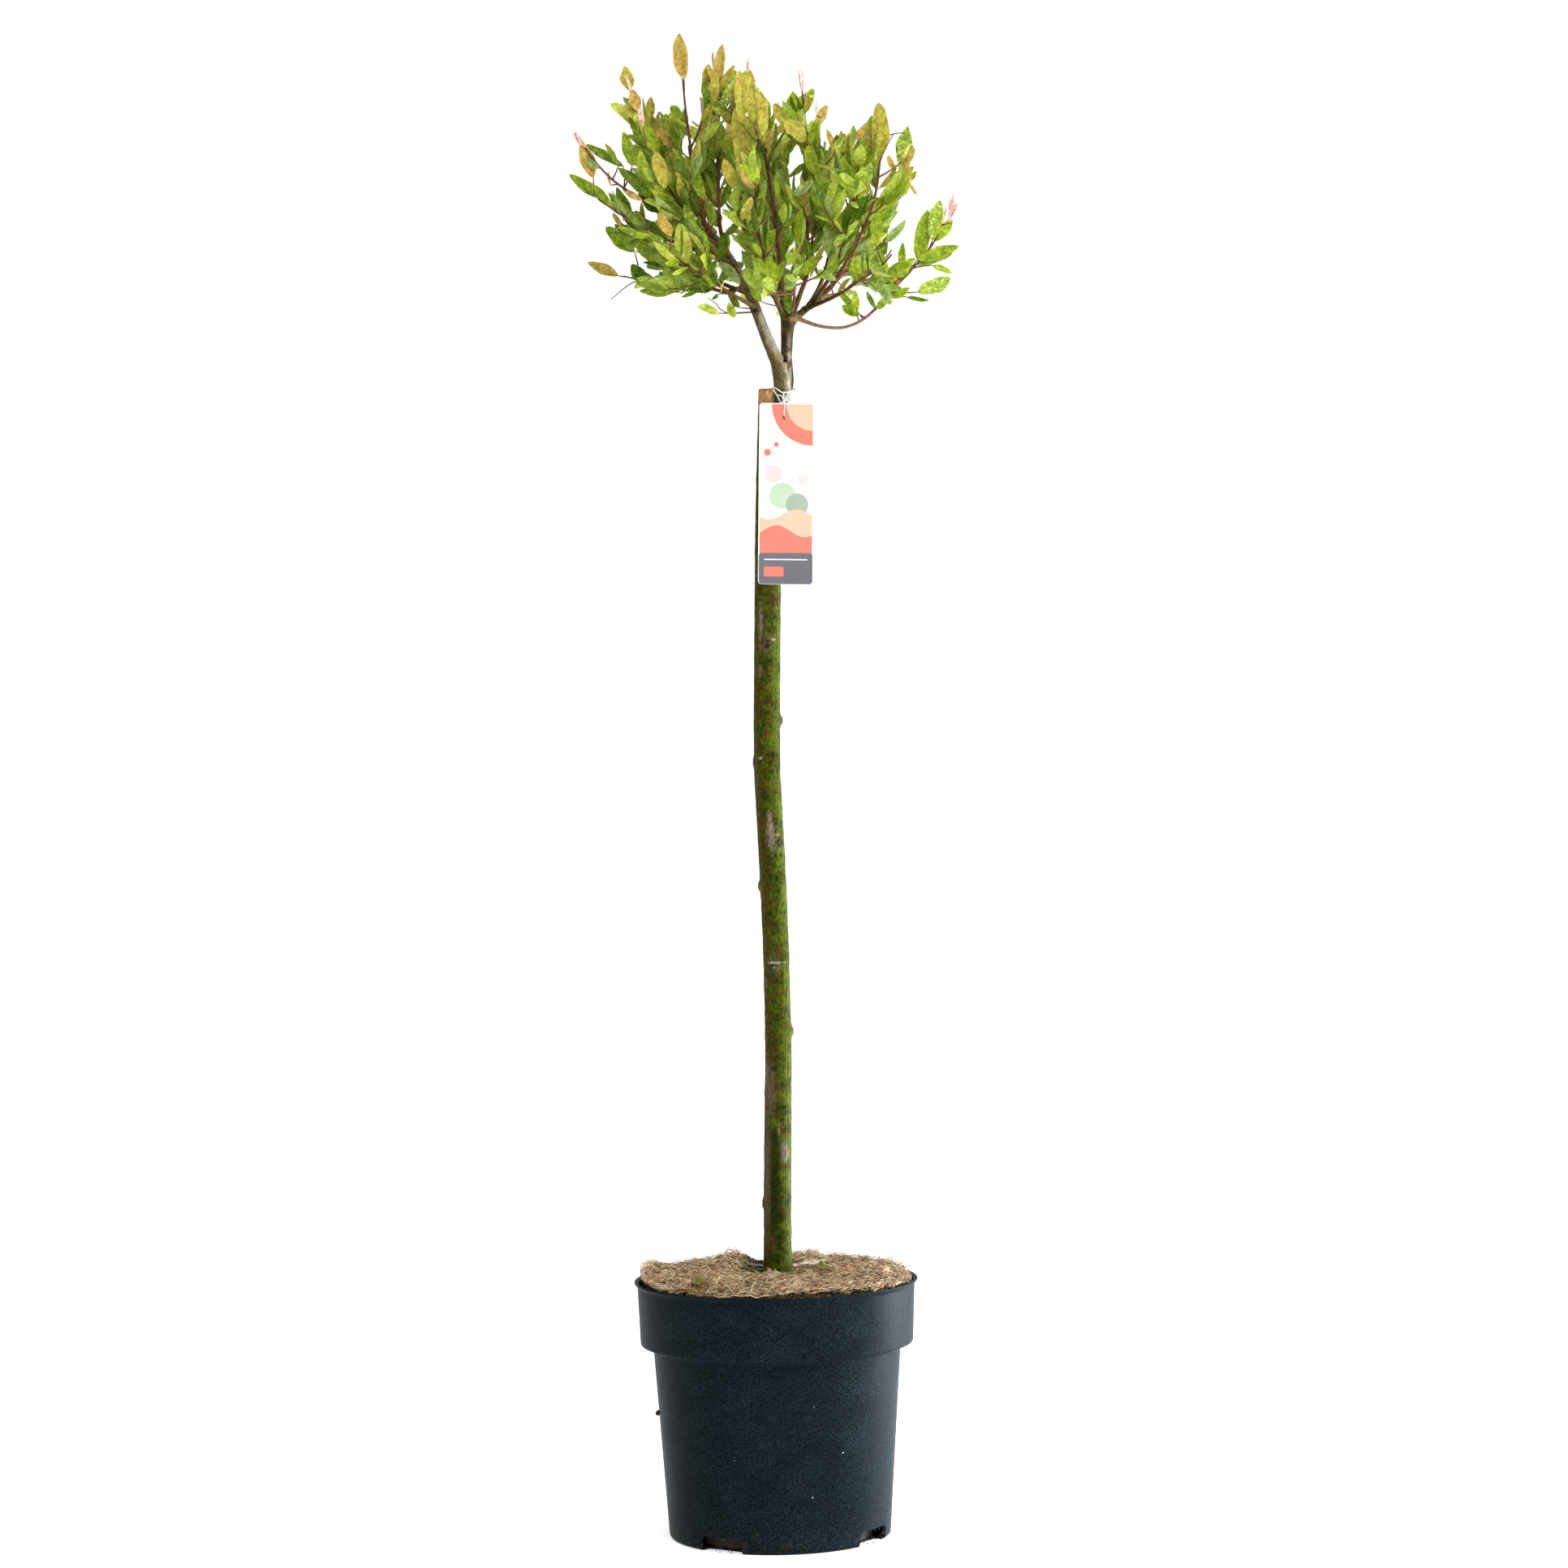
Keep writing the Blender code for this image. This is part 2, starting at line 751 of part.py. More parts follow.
def make_coir_mat():
    """A disc of coir felt with a hole for the trunk and one slit from the hole to the edge."""
    turns = 36
    radii = [MAT_HOLE_RADIUS, 0.060, 0.100, MAT_RADIUS - 0.006, MAT_RADIUS]
    edge = len(radii) - 1
    points = []
    for step in range(turns + 1):
        bearing = SLIT_BEARING + 2 * math.pi * step / turns
        across = Vector((-math.sin(bearing), math.cos(bearing), 0))
        aside = across * SLIT_WIDTH / 2 * ((step == 0) - (step == turns))
        for ring, radius in enumerate(radii):
            reach = radius + (0.0012 * math.sin(9 * bearing) if ring >= edge - 1 else 0)
            out = Vector((math.cos(bearing), math.sin(bearing), 0)) * reach + aside
            top = mat_top(radius, bearing) - (0.005 if ring == edge else 0)
            share = max(0.0, (radius - 0.020) / (MAT_RADIUS - 0.020))
            floor = MIX_LEVEL + MIX_CROWN * (1 - share) + 0.0006
            points.append(out + UP * floor)
            points.append(out + UP * top)
    column = 2 * len(radii)
    faces = []
    for step in range(turns):
        here = step * column
        after = here + column
        for ring in range(len(radii) - 1):
            low = 2 * ring
            faces.append((here + low, here + low + 2, after + low + 2, after + low))
            faces.append((here + low + 1, after + low + 1, after + low + 3, here + low + 3))
        faces.append((here, after, after + 1, here + 1))
        faces.append((here + column - 2, here + column - 1, after + column - 1, after + column - 2))
    for start in (0, turns * column):
        for ring in range(len(radii) - 1):
            low = start + 2 * ring
            faces.append((low, low + 1, low + 3, low + 2))
    return smooth(solid("coir_mat", (points, faces), coir()), 60)


# The trunk and the boughs


def trunk_radius(height):
    """Nearly even, a little thinner at the top cut and flared where it leaves the mix."""
    taper = 0.0015 * max(0.0, (height - 1.0) / (TRUNK_TOP - 1.0))
    flare = 0.0028 * math.exp(-(height - TRUNK_LINE[0][2]) / 0.022)
    return TRUNK_RADIUS - taper + flare


def trunk_heights():
    heights = {TRUNK_LINE[0][2], TRUNK_LINE[0][2] + 0.010, TRUNK_LINE[0][2] + 0.030, TRUNK_TOP}
    for knot in KNOTS:
        heights |= {knot.height - 1.3 * KNOT_SPREAD, knot.height, knot.height + 1.3 * KNOT_SPREAD}
    for rise in (0.300, 0.425, 0.545, 0.620, 0.745, 0.870, 0.960, 1.020, 1.080, 1.130):
        heights.add(rise)
    return sorted(heights)


def trunk_centre(height):
    for low, high in zip(TRUNK_LINE, TRUNK_LINE[1:]):
        if height <= high[2]:
            return Vector(low).lerp(Vector(high), (height - low[2]) / (high[2] - low[2]))
    return Vector(TRUNK_LINE[-1])


def trunk_shell(grow=0.0):
    heights = trunk_heights()
    points = []
    for height in heights:
        centre = trunk_centre(height)
        for step in range(TRUNK_SIDES):
            angle = 2 * math.pi * step / TRUNK_SIDES
            radius = trunk_radius(height) + grow
            for knot in KNOTS:
                turn = math.remainder(angle - knot.bearing, 2 * math.pi)
                radius += knot.swell * bump(height, knot.height, KNOT_SPREAD) * bump(turn, 0, 0.55)
            points.append(centre + Vector((math.cos(angle), math.sin(angle), 0)) * radius)
    for point in points[-TRUNK_SIDES:]:
        point.z += grow
    return points, ring_faces(len(heights), TRUNK_SIDES)


def meets(shell, wood):
    return bool(tree_of(shell).overlap(wood.tree))


class Wooden:
    """A limb that is already made: its swollen shell cuts the limbs that grow from it."""

    def __init__(self, swollen):
        self.swollen = swollen
        self.tree = tree_of(swollen)


def add_wood(woods, name, plain, swollen, material, foot):
    """One limb, cut clear of the wood made before it that it grows from or passes through."""
    made = solid(name, plain, material, foot)
    cut(made, [wood.swollen for wood in woods.values() if meets(plain, wood)])
    smooth(made)
    woods[name] = Wooden(swollen)


def make_main_wood(woods):
    """The trunk is notched for the scion, which the left bough goes on from and the right one leaves."""
    parts = {
        "scion": (SCION, 0.013),
        "bough_left": (BOUGH_LEFT, 0.016),
        "bough_right": (BOUGH_RIGHT, 0.011),
    }
    for name, (wood, step) in parts.items():
        plain = wood_tube(wood, BOUGH_SIDES, step)
        swollen = wood_tube(wood, BOUGH_SIDES, step, CLEARANCE)
        add_wood(woods, name, plain, swollen, grey_bark(), wood.line[0])
        if name == "scion":
            add_wood(woods, "trunk", trunk_shell(), trunk_shell(CLEARANCE), green_bark(), TRUNK_LINE[0])


def limb_radii(shoot, lengths, knee):
    """From the limb's foot to the knee, thinning by a third."""
    return [shoot.limb * (1 - length / knee / 3) for length in lengths]


def shoot_line(shoot):
    """The bare limb's points and the leafy stem's points, on one smooth curve."""
    whole = smooth_line([*shoot.bare, *shoot.leafy], 0.014)
    knee = Vector(shoot.bare[-1])
    split = min(range(len(whole)), key=lambda index: (whole[index] - knee).length)
    return whole[: split + 1], whole[split:]


def make_limbs(woods):
    arch = [("limb_arch_inner", ARCH_INNER), ("limb_arch_outer", ARCH_OUTER)]
    for name, wood in arch:
        plain = wood_tube(wood, LIMB_SIDES, 0.012)
        swollen = wood_tube(wood, LIMB_SIDES, 0.012, CLEARANCE)
        add_wood(woods, name, plain, swollen, red_bark(), wood.line[0])
    for shoot in SHOOTS:
        bare, _ = shoot_line(shoot)
        lengths = distances_along(bare)
        radii = limb_radii(shoot, lengths, lengths[-1])
        name = "limb_" + shoot.name
        plain = tube(bare, radii, LIMB_SIDES)
        swollen = tube(bare, radii, LIMB_SIDES, CLEARANCE)
        add_wood(woods, name, plain, swollen, red_bark(), bare[0])


# The masses of foliage


class Spaces:
    """Each mass keeps to the space that lies nearer to its own stem than to any other's."""

    def __init__(self, stems):
        self.trees = {}
        for name, stem in stems.items():
            tree = KDTree(len(stem))
            for index, point in enumerate(stem):
                tree.insert(point, index)
            tree.balance()
            self.trees[name] = tree

    def room(self, name, point):
        """How much nearer a point is to this mass's stem than to the nearest other one."""
        own = self.trees[name].find(point)[2]
        others = [tree.find(point)[2] for other, tree in self.trees.items() if other != name]
        return min(others) - own


class Mass:
    """One mass of foliage as it grows: its stem, its side twigs and its leaves."""

    def __init__(self, name, spaces, obstacles, seed):
        self.name = name
        self.spaces = spaces
        self.obstacles = obstacles
        self.draw = random.Random(seed)
        self.pieces = []

    def inside(self, points):
        return all(self.spaces.room(self.name, point) > SPACE_MARGIN for point in points)

    def clear(self, shell, allowed):
        """True where a shell touches no limb, no other mass and no piece outside allowed."""
        tree = tree_of(shell)
        if any(tree.overlap(obstacle) for obstacle in self.obstacles):
            return False
        return not any(tree.overlap(piece[1]) for piece in self.pieces if piece[2] not in allowed)

    def add(self, shell, tag):
        self.pieces.append((shell, tree_of(shell), tag))


def leaf_points(shell):
    """The blade's corners and the middles between them, to test a leaf's space with."""
    corners = shell[0]
    middles = [(corner + after) / 2 for corner, after in zip(corners[1:], corners[2:])]
    return [*corners, *middles]


def blade_side(root, way, heading, twist):
    """Across a blade that turns its face to the light outside the crown, as far as its stalk lets it."""
    outlook = (root - CROWN_HEART).normalized() + UP * 0.3
    across = outlook.cross(heading)
    natural = way.cross(heading).normalized()
    if across.dot(natural) < 0:
        natural = -natural
    side = (across + natural * 0.35).normalized()
    side = (side - heading * side.dot(heading)).normalized()
    return Matrix.Rotation(twist, 3, heading) @ side


def try_leaf(mass, node, bearing, spread, length, width, tags):
    """Adds a leaf where it fits, set anew up to three times; where it never fits it is left out."""
    root, way = node
    side_way = way.orthogonal().normalized()
    twist = mass.draw.uniform(-0.45, 0.45)
    for turn, fold, size in LEAF_TRIES:
        around = Matrix.Rotation(bearing + turn, 3, way) @ side_way
        angle = spread - fold
        heading = (way * math.cos(angle) + around * math.sin(angle) + UP * 0.15).normalized()
        side = blade_side(root, way, heading, twist)
        sunk = root - heading * LEAF_THICKNESS / 2
        shell = leaf(sunk, heading, side, length * size, width * size, LEAF_THICKNESS)
        more = LEAF_THICKNESS
        roomy = leaf(sunk, heading, side, length * size + more, width * size + more, 2 * more)
        if mass.inside(leaf_points(shell)[1:]) and mass.clear(roomy, tags):
            mass.add(shell, tags[-1])
            return


def leaf_pair(mass, node, bearing, size, tags):
    """Two opposite leaves at a node (point, direction) of a twig."""
    spread = mass.draw.uniform(0.62, 0.95)
    for half in range(2):
        length = LEAF_LENGTH * size * mass.draw.uniform(0.85, 1.12)
        width = LEAF_WIDTH * size * mass.draw.uniform(0.9, 1.1)
        try_leaf(mass, node, bearing + half * math.pi, spread, length, width, tags)


def twig_radii(thick, thin, count):
    return [thick + (thin - thick) * index / (count - 1) for index in range(count)]


def place_on(points, place):
    """(point, direction) at this distance along a line."""
    lengths = distances_along(points)
    ways = directions(points)
    slot = max(index for index in range(len(lengths) - 1) if lengths[index] <= place)
    share = (place - lengths[slot]) / (lengths[slot + 1] - lengths[slot])
    way = ways[slot].lerp(ways[slot + 1], share).normalized()
    return points[slot].lerp(points[slot + 1], share), way


def leafy_nodes(mass, points, first, last, tag, bearing):
    """Pairs of leaves along a twig, each pair turned a quarter from the one before."""
    length = distances_along(points)[-1]
    place = first
    count = 0
    while place < length - last:
        size = 0.85 + 0.20 * math.sin(math.pi * min(1.0, place / length + 0.1))
        turn = bearing + count * math.pi / 2 + mass.draw.uniform(-0.25, 0.25)
        leaf_pair(mass, place_on(points, place), turn, size, (tag, f"{tag}_pair{count}"))
        place += NODE_SPACING * mass.draw.uniform(0.92, 1.08)
        count += 1


def end_leaf(mass, tip, way, length, width, tag):
    """The last leaf goes on from the twig's end, broad side to the front or the back."""
    side = (RIGHT - way * RIGHT.dot(way)).normalized()
    side = Matrix.Rotation(mass.draw.uniform(-0.6, 0.6), 3, way) @ side
    shell = leaf(tip - way * ROOT_DEPTH, way, side, length + ROOT_DEPTH, width, LEAF_THICKNESS)
    if mass.inside(leaf_points(shell)) and mass.clear(shell, {tag}):
        mass.add(shell, tag + "_end")


def side_twig(mass, node, bearing, reach, tag):
    """A side twig curves up as it grows and stops where it would leave its mass's space."""
    point, way = node
    angle = mass.draw.uniform(0.75, 0.95)
    around = Matrix.Rotation(bearing, 3, way) @ way.orthogonal().normalized()
    heading = way * math.cos(angle) + around * math.sin(angle)
    points = [point]
    while (len(points) - 1) * TWIG_STEP < reach:
        ahead = points[-1] + heading * TWIG_STEP
        if mass.spaces.room(mass.name, ahead) < TWIG_MARGIN:
            break
        points.append(ahead)
        heading = (heading + UP * 0.10).normalized()
    if len(points) < 3:
        return
    radii = twig_radii(TWIG_RADIUS, TWIG_TIP_RADIUS, len(points))
    radii[0] = TWIG_RADIUS / 2
    shell = tube(thinned(points), thinned(radii), TWIG_SIDES)
    if not mass.clear(shell, {"stem"}):
        return
    mass.add(shell, tag)
    way_out = (points[-1] - points[-2]).normalized()
    end_leaf(mass, points[-1], way_out, LEAF_LENGTH * 0.8, LEAF_WIDTH * 0.85, tag)
    leafy_nodes(mass, points, 0.013, 0.006, tag, bearing)


def cut_short(points, length):
    """The part of a line from its start to this length."""
    lengths = distances_along(points)
    kept = [point for point, reached in zip(points, lengths) if reached < length - 0.002]
    after = points[len(kept)]
    share = (length - lengths[len(kept) - 1]) / (lengths[len(kept)] - lengths[len(kept) - 1])
    kept.append(kept[-1].lerp(after, share))
    return kept


def thinned(values):
    """The first, the last and a few between."""
    step = 3 if len(values) > 8 else 2
    return [values[0], *values[step:-2:step], values[-1]]


def grow_mass(mass, shoot, line):
    """The stem carries side twigs in a golden-angle spiral and pairs of leaves between them."""
    tip_width = CANDLE_WIDTH if shoot.tint == "pink" else LEAF_WIDTH
    stem = cut_short(line, distances_along(line)[-1] - LEAF_LENGTH)
    stem[0] = stem[0] + (stem[1] - stem[0]).normalized() * CLEARANCE
    radii = twig_radii(shoot.limb * 2 / 3, 0.0011, len(stem))
    mass.add(tube(thinned(stem), thinned(radii), TWIG_SIDES), "stem")
    end_leaf(mass, stem[-1], (line[-1] - stem[-1]).normalized(), LEAF_LENGTH, tip_width, "stem")
    length = distances_along(stem)[-1]
    bearing = mass.draw.uniform(0, 2 * math.pi)
    place = 0.012
    number = 0
    while place < 0.85 * length:
        reach = TWIG_REACH * (1.1 - 0.6 * place / length)
        side_twig(mass, place_on(stem, place), bearing, reach, f"twig{number}")
        bearing += GOLDEN_ANGLE
        place += TWIG_SPACING
        number += 1
    leafy_nodes(mass, stem, 0.010, 0.003, "stem", bearing)


def make_masses(woods):
    stems = {shoot.name: shoot_line(shoot)[1] for shoot in SHOOTS}
    spaces = Spaces({name: smooth_line(stem, 0.005) for name, stem in stems.items()})
    obstacles = [wood.tree for wood in woods.values()]
    for seed, shoot in enumerate(SHOOTS):
        mass = Mass(shoot.name, spaces, obstacles, 100 + seed)
        grow_mass(mass, shoot, stems[shoot.name])
        shells = [piece[0] for piece in mass.pieces]
        fused("foliage_" + shoot.name, shells, leaf_finish(shoot.tint), stems[shoot.name][0])
        obstacles += [piece[1] for piece in mass.pieces]


# The label and its tie


def make_label():
    """A slim card that hangs in front of the stem, with rounded corners and a hole for its tie."""
    corner = 0.003
    outline = []
    for across, up, start in ((1, 1, 0), (-1, 1, 90), (-1, -1, 180), (1, -1, 270)):
        for step in range(4):
            angle = math.radians(start + 30 * step)
            outline.append(
                (
                    across * (LABEL_WIDTH / 2 - corner) + corner * math.cos(angle),
                    up * (LABEL_HEIGHT / 2 - corner) + corner * math.sin(angle),
                )
            )
    turn = Matrix.Rotation(LABEL_LEAN, 4, "Y")
    place = Matrix.Translation(Vector(LABEL_CENTRE)) @ turn
    points = []
    for depth in (-LABEL_THICKNESS / 2, LABEL_THICKNESS / 2):
        points += [place @ Vector((across, depth, up)) for across, up in outline]
    count = len(outline)
    faces = [tuple(range(count)), tuple(reversed(range(count, 2 * count)))]
    for step in range(count):
        after = (step + 1) % count
        faces.append((step, step + count, after + count, after))
    card = solid("label_card", (points, faces), label_plastic(), LABEL_CENTRE)
    drill = [Vector(LABEL_HOLE) - FORWARD * 0.004, Vector(LABEL_HOLE) + FORWARD * 0.004]
    hole = tube(drill, [LABEL_HOLE_RADIUS, LABEL_HOLE_RADIUS], 12)
    return smooth(cut(card, [hole]), 30)


def cord_ring(points, normal, radius, sides=5):
    """A closed ring of round cord through the points of a convex loop that faces normal."""
    middle = sum(points, Vector()) / len(points)
    shell = []
    for index, point in enumerate(points):
        way = (points[(index + 1) % len(points)] - points[index - 1]).normalized()
        out = way.cross(normal).normalized()
        if out.dot(point - middle) < 0:
            out = -out
        over = way.cross(out)
        for side in range(sides):
            turn = 2 * math.pi * side / sides
            shell.append(point + (out * math.cos(turn) + over * math.sin(turn)) * radius)
    faces = []
    for step in range(len(points)):
        here = step * sides
        after = (step + 1) % len(points) * sides
        for side in range(sides):
            beside = (side + 1) % sides
            faces.append((here + side, here + beside, after + beside, after + side))
    return shell, faces


def tie_height(depth):
    """The hoop lies tilted: low in front, where it carries the label, and high behind."""
    return TIE_LEVEL + depth * math.tan(TIE_TILT)


def hoop_line():
    """Round both stems at the tie's level, a slack gap clear of them: (centre, radius) of each."""
    stems = [(Vector((0.0219, -0.0052)), 0.0080), (Vector((0.0310, 0.0066)), 0.0057)]
    steps = 18
    points = []
    for step in range(steps):
        angle = 2 * math.pi * step / steps
        spoke = Vector((math.cos(angle), math.sin(angle)))
        stem, radius = max(stems, key=lambda known: known[0].dot(spoke) + known[1])
        reach = stem + spoke * (radius + TIE_RADIUS + TIE_SLACK)
        points.append(Vector((reach.x, reach.y, tie_height(reach.y))))
    return points


def loop_line(front):
    """A long loop through the label's hole, its rear strand crossing the hoop's front point."""
    hole = Vector(LABEL_HOLE)
    low = hole - UP * (LABEL_HOLE_RADIUS - TIE_RADIUS - CLEARANCE - 0.0001 - TIE_LOOP_RADIUS)
    high = Vector((hole.x, hole.y, front.z + TIE_LOOP_RADIUS / 2))
    points = []
    for centre, start in ((high, 0), (low, math.pi)):
        for step in range(7):
            angle = start + math.pi * step / 6
            arc = FORWARD * math.cos(angle) + UP * math.sin(angle)
            points.append(centre + arc * TIE_LOOP_RADIUS)
    return points


def make_tie():
    """A soft hoop round both stems, joined with a second loop that the label hangs from."""
    hoop_points = hoop_line()
    front = min(hoop_points, key=lambda point: point.y)
    hoop = cord_ring(hoop_points, UP, TIE_RADIUS)
    loop = cord_ring(loop_line(front), RIGHT, TIE_RADIUS)
    return smooth(fused("label_tie", [hoop, loop], tie_plastic(), front), 60)


def main():
    for made in list(bpy.data.objects):
        bpy.data.objects.remove(made)
    make_pot()
    make_potting_mix()
    make_coir_mat()
    woods = {}
    make_main_wood(woods)
    make_limbs(woods)
    make_masses(woods)
    make_label()
    make_tie()


main()
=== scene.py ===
"""The looks of a dappled willow grown as a small standard tree in its nursery pot.

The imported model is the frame. The trunk gets one mesh with the bark's relief, and the scion, boughs and
bare limbs get another. Each mass of foliage is grown again by the source's rule from the same named
lines, with more and finer leaves. Metres, +Z up, +X to the right and +Y away from the camera. Bearings
are turned from +X to +Y.
"""

import math
import random
from collections import namedtuple

import bmesh
import bpy
import numpy as np
from mathutils import Matrix, Vector, noise
from mathutils.bvhtree import BVHTree
from mathutils.kdtree import KDTree


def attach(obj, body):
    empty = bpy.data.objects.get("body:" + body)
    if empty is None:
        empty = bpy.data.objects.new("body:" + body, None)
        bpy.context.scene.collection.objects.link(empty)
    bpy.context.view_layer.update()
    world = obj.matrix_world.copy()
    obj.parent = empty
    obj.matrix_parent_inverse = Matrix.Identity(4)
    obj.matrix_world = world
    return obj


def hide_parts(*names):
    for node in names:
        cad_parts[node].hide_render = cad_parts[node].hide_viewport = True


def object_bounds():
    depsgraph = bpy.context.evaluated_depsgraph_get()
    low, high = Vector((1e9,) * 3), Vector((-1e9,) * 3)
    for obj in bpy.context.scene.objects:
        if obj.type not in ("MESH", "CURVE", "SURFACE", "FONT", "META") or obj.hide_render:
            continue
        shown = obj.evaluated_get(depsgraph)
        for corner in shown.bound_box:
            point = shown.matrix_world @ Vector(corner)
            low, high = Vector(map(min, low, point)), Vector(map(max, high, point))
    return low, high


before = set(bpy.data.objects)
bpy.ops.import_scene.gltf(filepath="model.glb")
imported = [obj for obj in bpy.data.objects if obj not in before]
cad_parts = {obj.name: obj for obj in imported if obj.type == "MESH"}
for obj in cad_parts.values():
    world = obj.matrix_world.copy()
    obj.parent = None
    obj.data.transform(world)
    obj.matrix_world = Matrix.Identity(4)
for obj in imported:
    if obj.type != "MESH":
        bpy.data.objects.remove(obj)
CAD_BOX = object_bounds()

# The photograph's frame: the scale is at the plane through the pot's axis
PHOTO_SIDE = 1932
PHOTO_SCALE = 0.000827
CAMERA_DISTANCE = 4.5
CAMERA_HEIGHT = 0.89
CAMERA_ROLL = math.radians(1.0)
SENSOR = 36.0
VIEW_CENTRE = (0.01705, 0.76355)
POT_PIXEL = (961.5, 1889.5)

UP = Vector((0, 0, 1))
RIGHT = Vector((1, 0, 0))
FORWARD = Vector((0, -1, 0))
GOLDEN_ANGLE = math.radians(137.5)
FULL_TURN = 2 * math.pi

# Sizes of the pot, mat, trunk, label and tie, nearly all as the source's solids have them
POT_HEIGHT = 0.260
POT_FOOT_RADIUS = 0.1105
POT_STEP_HEIGHT = 0.192
POT_STEP_RISE = 0.004
POT_BODY_TOP_RADIUS = 0.1258
POT_BAND_RADIUS = 0.1387
POT_BAND_TOP_RADIUS = 0.1411
POT_RIM_RADIUS = 0.1443
POT_WALL = 0.0018
POT_BASE = 0.003
NOTCH_HEIGHT = 0.0155
NOTCH_ANGLE = math.radians(25)
NOTCH_INNER_RADIUS = 0.100
NOTCH_BEARINGS = [math.radians(-122.5 + 90 * quarter) for quarter in range(4)]
MIX_LEVEL = 0.250
MIX_CROWN = 0.004
MAT_RADIUS = 0.1365
MAT_LEVEL = 0.2665
MAT_HOLE_RADIUS = 0.021
SLIT_BEARING = math.radians(100)
SLIT_WIDTH = 0.004
TRUNK_RADIUS = 0.0140
TRUNK_TOP = 1.166
LABEL_WIDTH = 0.056
LABEL_HEIGHT = 0.184
LABEL_THICKNESS = 0.0006
LABEL_LEAN = math.radians(1.5)
LABEL_CENTRE = (0.0244, -0.0172, 1.0585)
# The dark slit that the strap goes through: its ends' pixels
LABEL_SLIT = ((965.2, 511.2), (966.8, 517.6))
SLIT_HALF_WIDTH = 0.0009
TIE_RADIUS = 0.0007
TIE_SLACK = 0.0009
TIE_LEVEL = 1.1668
# The two stems that the hoop goes round at that level, as (centre, radius)
TIE_STEMS = [(Vector((0.0219, -0.0052)), 0.0080), (Vector((0.0290, 0.0050)), 0.0052)]
# How far the hoop lies above that level at bearings round its stems, in degrees
TIE_COURSE = [
    (0, -0.0022), (90, 0.0020), (180, 0.0), (225, -0.0002), (270, -0.0052), (310, -0.0050), (360, -0.0022),
]
# The gathered strands of the tie over the graft, as pixels, and the strap down to the label's slit
TIE_FRONT = -0.0156
TIE_STRANDS = [
    [(952.5, 479.0), (954.0, 482.0), (957.0, 486.5), (960.0, 492.0), (962.0, 496.5), (967.0, 491.0),
     (972.0, 497.0)],
    [(966.0, 484.0), (964.5, 488.0), (968.0, 493.0), (972.0, 488.0), (973.5, 494.0), (970.0, 499.0)],
    [(975.0, 482.0), (970.0, 486.5), (965.5, 493.5), (963.0, 498.5)],
    [(957.5, 487.0), (963.0, 488.0), (966.0, 495.0), (971.0, 491.0)],
    [(964.0, 499.0), (966.0, 493.0), (969.0, 499.0), (972.0, 493.0)],
    [(966.0, 486.0), (965.5, 492.0), (966.5, 500.0)],
]
TIE_STRAP = [(966.2, 496.0), (966.6, 500.0), (966.2, 506.0), (966.0, 512.5)]

# Leaves, finer and more than the source's
LEAF_LENGTH = 0.040
LEAF_WIDTH = 0.0148
LEAF_THICKNESS = 0.0003
NODE_SPACING = 0.0108
TWIG_SPACING = 0.0135
TWIG_REACH = 0.056
TWIG_STEP = 0.008
STALK_LENGTH = 0.0035
SPACE_MARGIN = 0.0005
TWIG_MARGIN = 0.004
CROWN_HEART = Vector((0.01, 0.0, 1.27))

TRUNK_LINE = [
    (0.002, 0.000, 0.2545),
    (0.003, 0.000, 0.339),
    (0.0066, -0.001, 0.487),
    (0.0061, -0.001, 0.590),
    (0.0046, -0.002, 0.653),
    (0.0002, -0.002, 0.775),
    (0.0004, -0.002, 0.818),
    (0.0036, -0.001, 0.951),
    (0.006, 0.000, 1.050),
    (0.010, 0.000, TRUNK_TOP),
]

# Old pruning knots: height, bearing round the stem in degrees, and how far each swells
Knot = namedtuple("Knot", "height bearing swell")
KNOTS = [
    Knot(0.337, 180, 0.0022), Knot(0.388, -60, 0.0016), Knot(0.450, -150, 0.0014),
    Knot(0.512, 0, 0.0038), Knot(0.578, -104, 0.0012), Knot(0.660, 180, 0.0034),
    Knot(0.704, -52, 0.0024), Knot(0.787, 175, 0.0018), Knot(0.828, 0, 0.0040),
    Knot(0.905, -91, 0.0013),
]
KNOT_SPREAD = 0.006

Wood = namedtuple("Wood", "line radii")
SCION = Wood(
    [(0.020, -0.006, 1.116), (0.022, -0.006, 1.150), (0.022, -0.005, 1.170), (0.019, -0.004, 1.192)],
    [0.0035, 0.0075, 0.0080, 0.0078],
)
BOUGH_LEFT = Wood(
    [
        (0.0185, -0.004, 1.1923),
        (0.012, -0.004, 1.207),
        (0.003, -0.003, 1.230),
        (-0.008, -0.002, 1.260),
        (-0.020, -0.001, 1.284),
        (-0.032, 0.000, 1.305),
        (-0.043, 0.001, 1.320),
    ],
    [0.0072, 0.0062, 0.0055, 0.0052, 0.0048, 0.0042, 0.0036],
)
BOUGH_RIGHT = Wood(
    [
        (0.0255, 0.002, 1.160),
        (0.0290, 0.005, 1.172),
        (0.0275, 0.006, 1.198),
        (0.028, 0.004, 1.218),
        (0.029, 0.003, 1.230),
        (0.030, 0.002, 1.239),
        (0.031, 0.002, 1.246),
    ],
    [0.0040, 0.0048, 0.0054, 0.0058, 0.0068, 0.0082, 0.0060],
)
ARCH = Wood(
    [
        (0.034, 0.000, 1.240),
        (0.056, 0.000, 1.231),
        (0.074, 0.000, 1.2275),
        (0.090, 0.000, 1.2285),
        (0.106, 0.000, 1.2355),
        (0.121, 0.000, 1.2485),
        (0.141, 0.000, 1.2715),
    ],
    [0.0024, 0.0017, 0.0015, 0.0014, 0.0014, 0.0014, 0.0013],
)

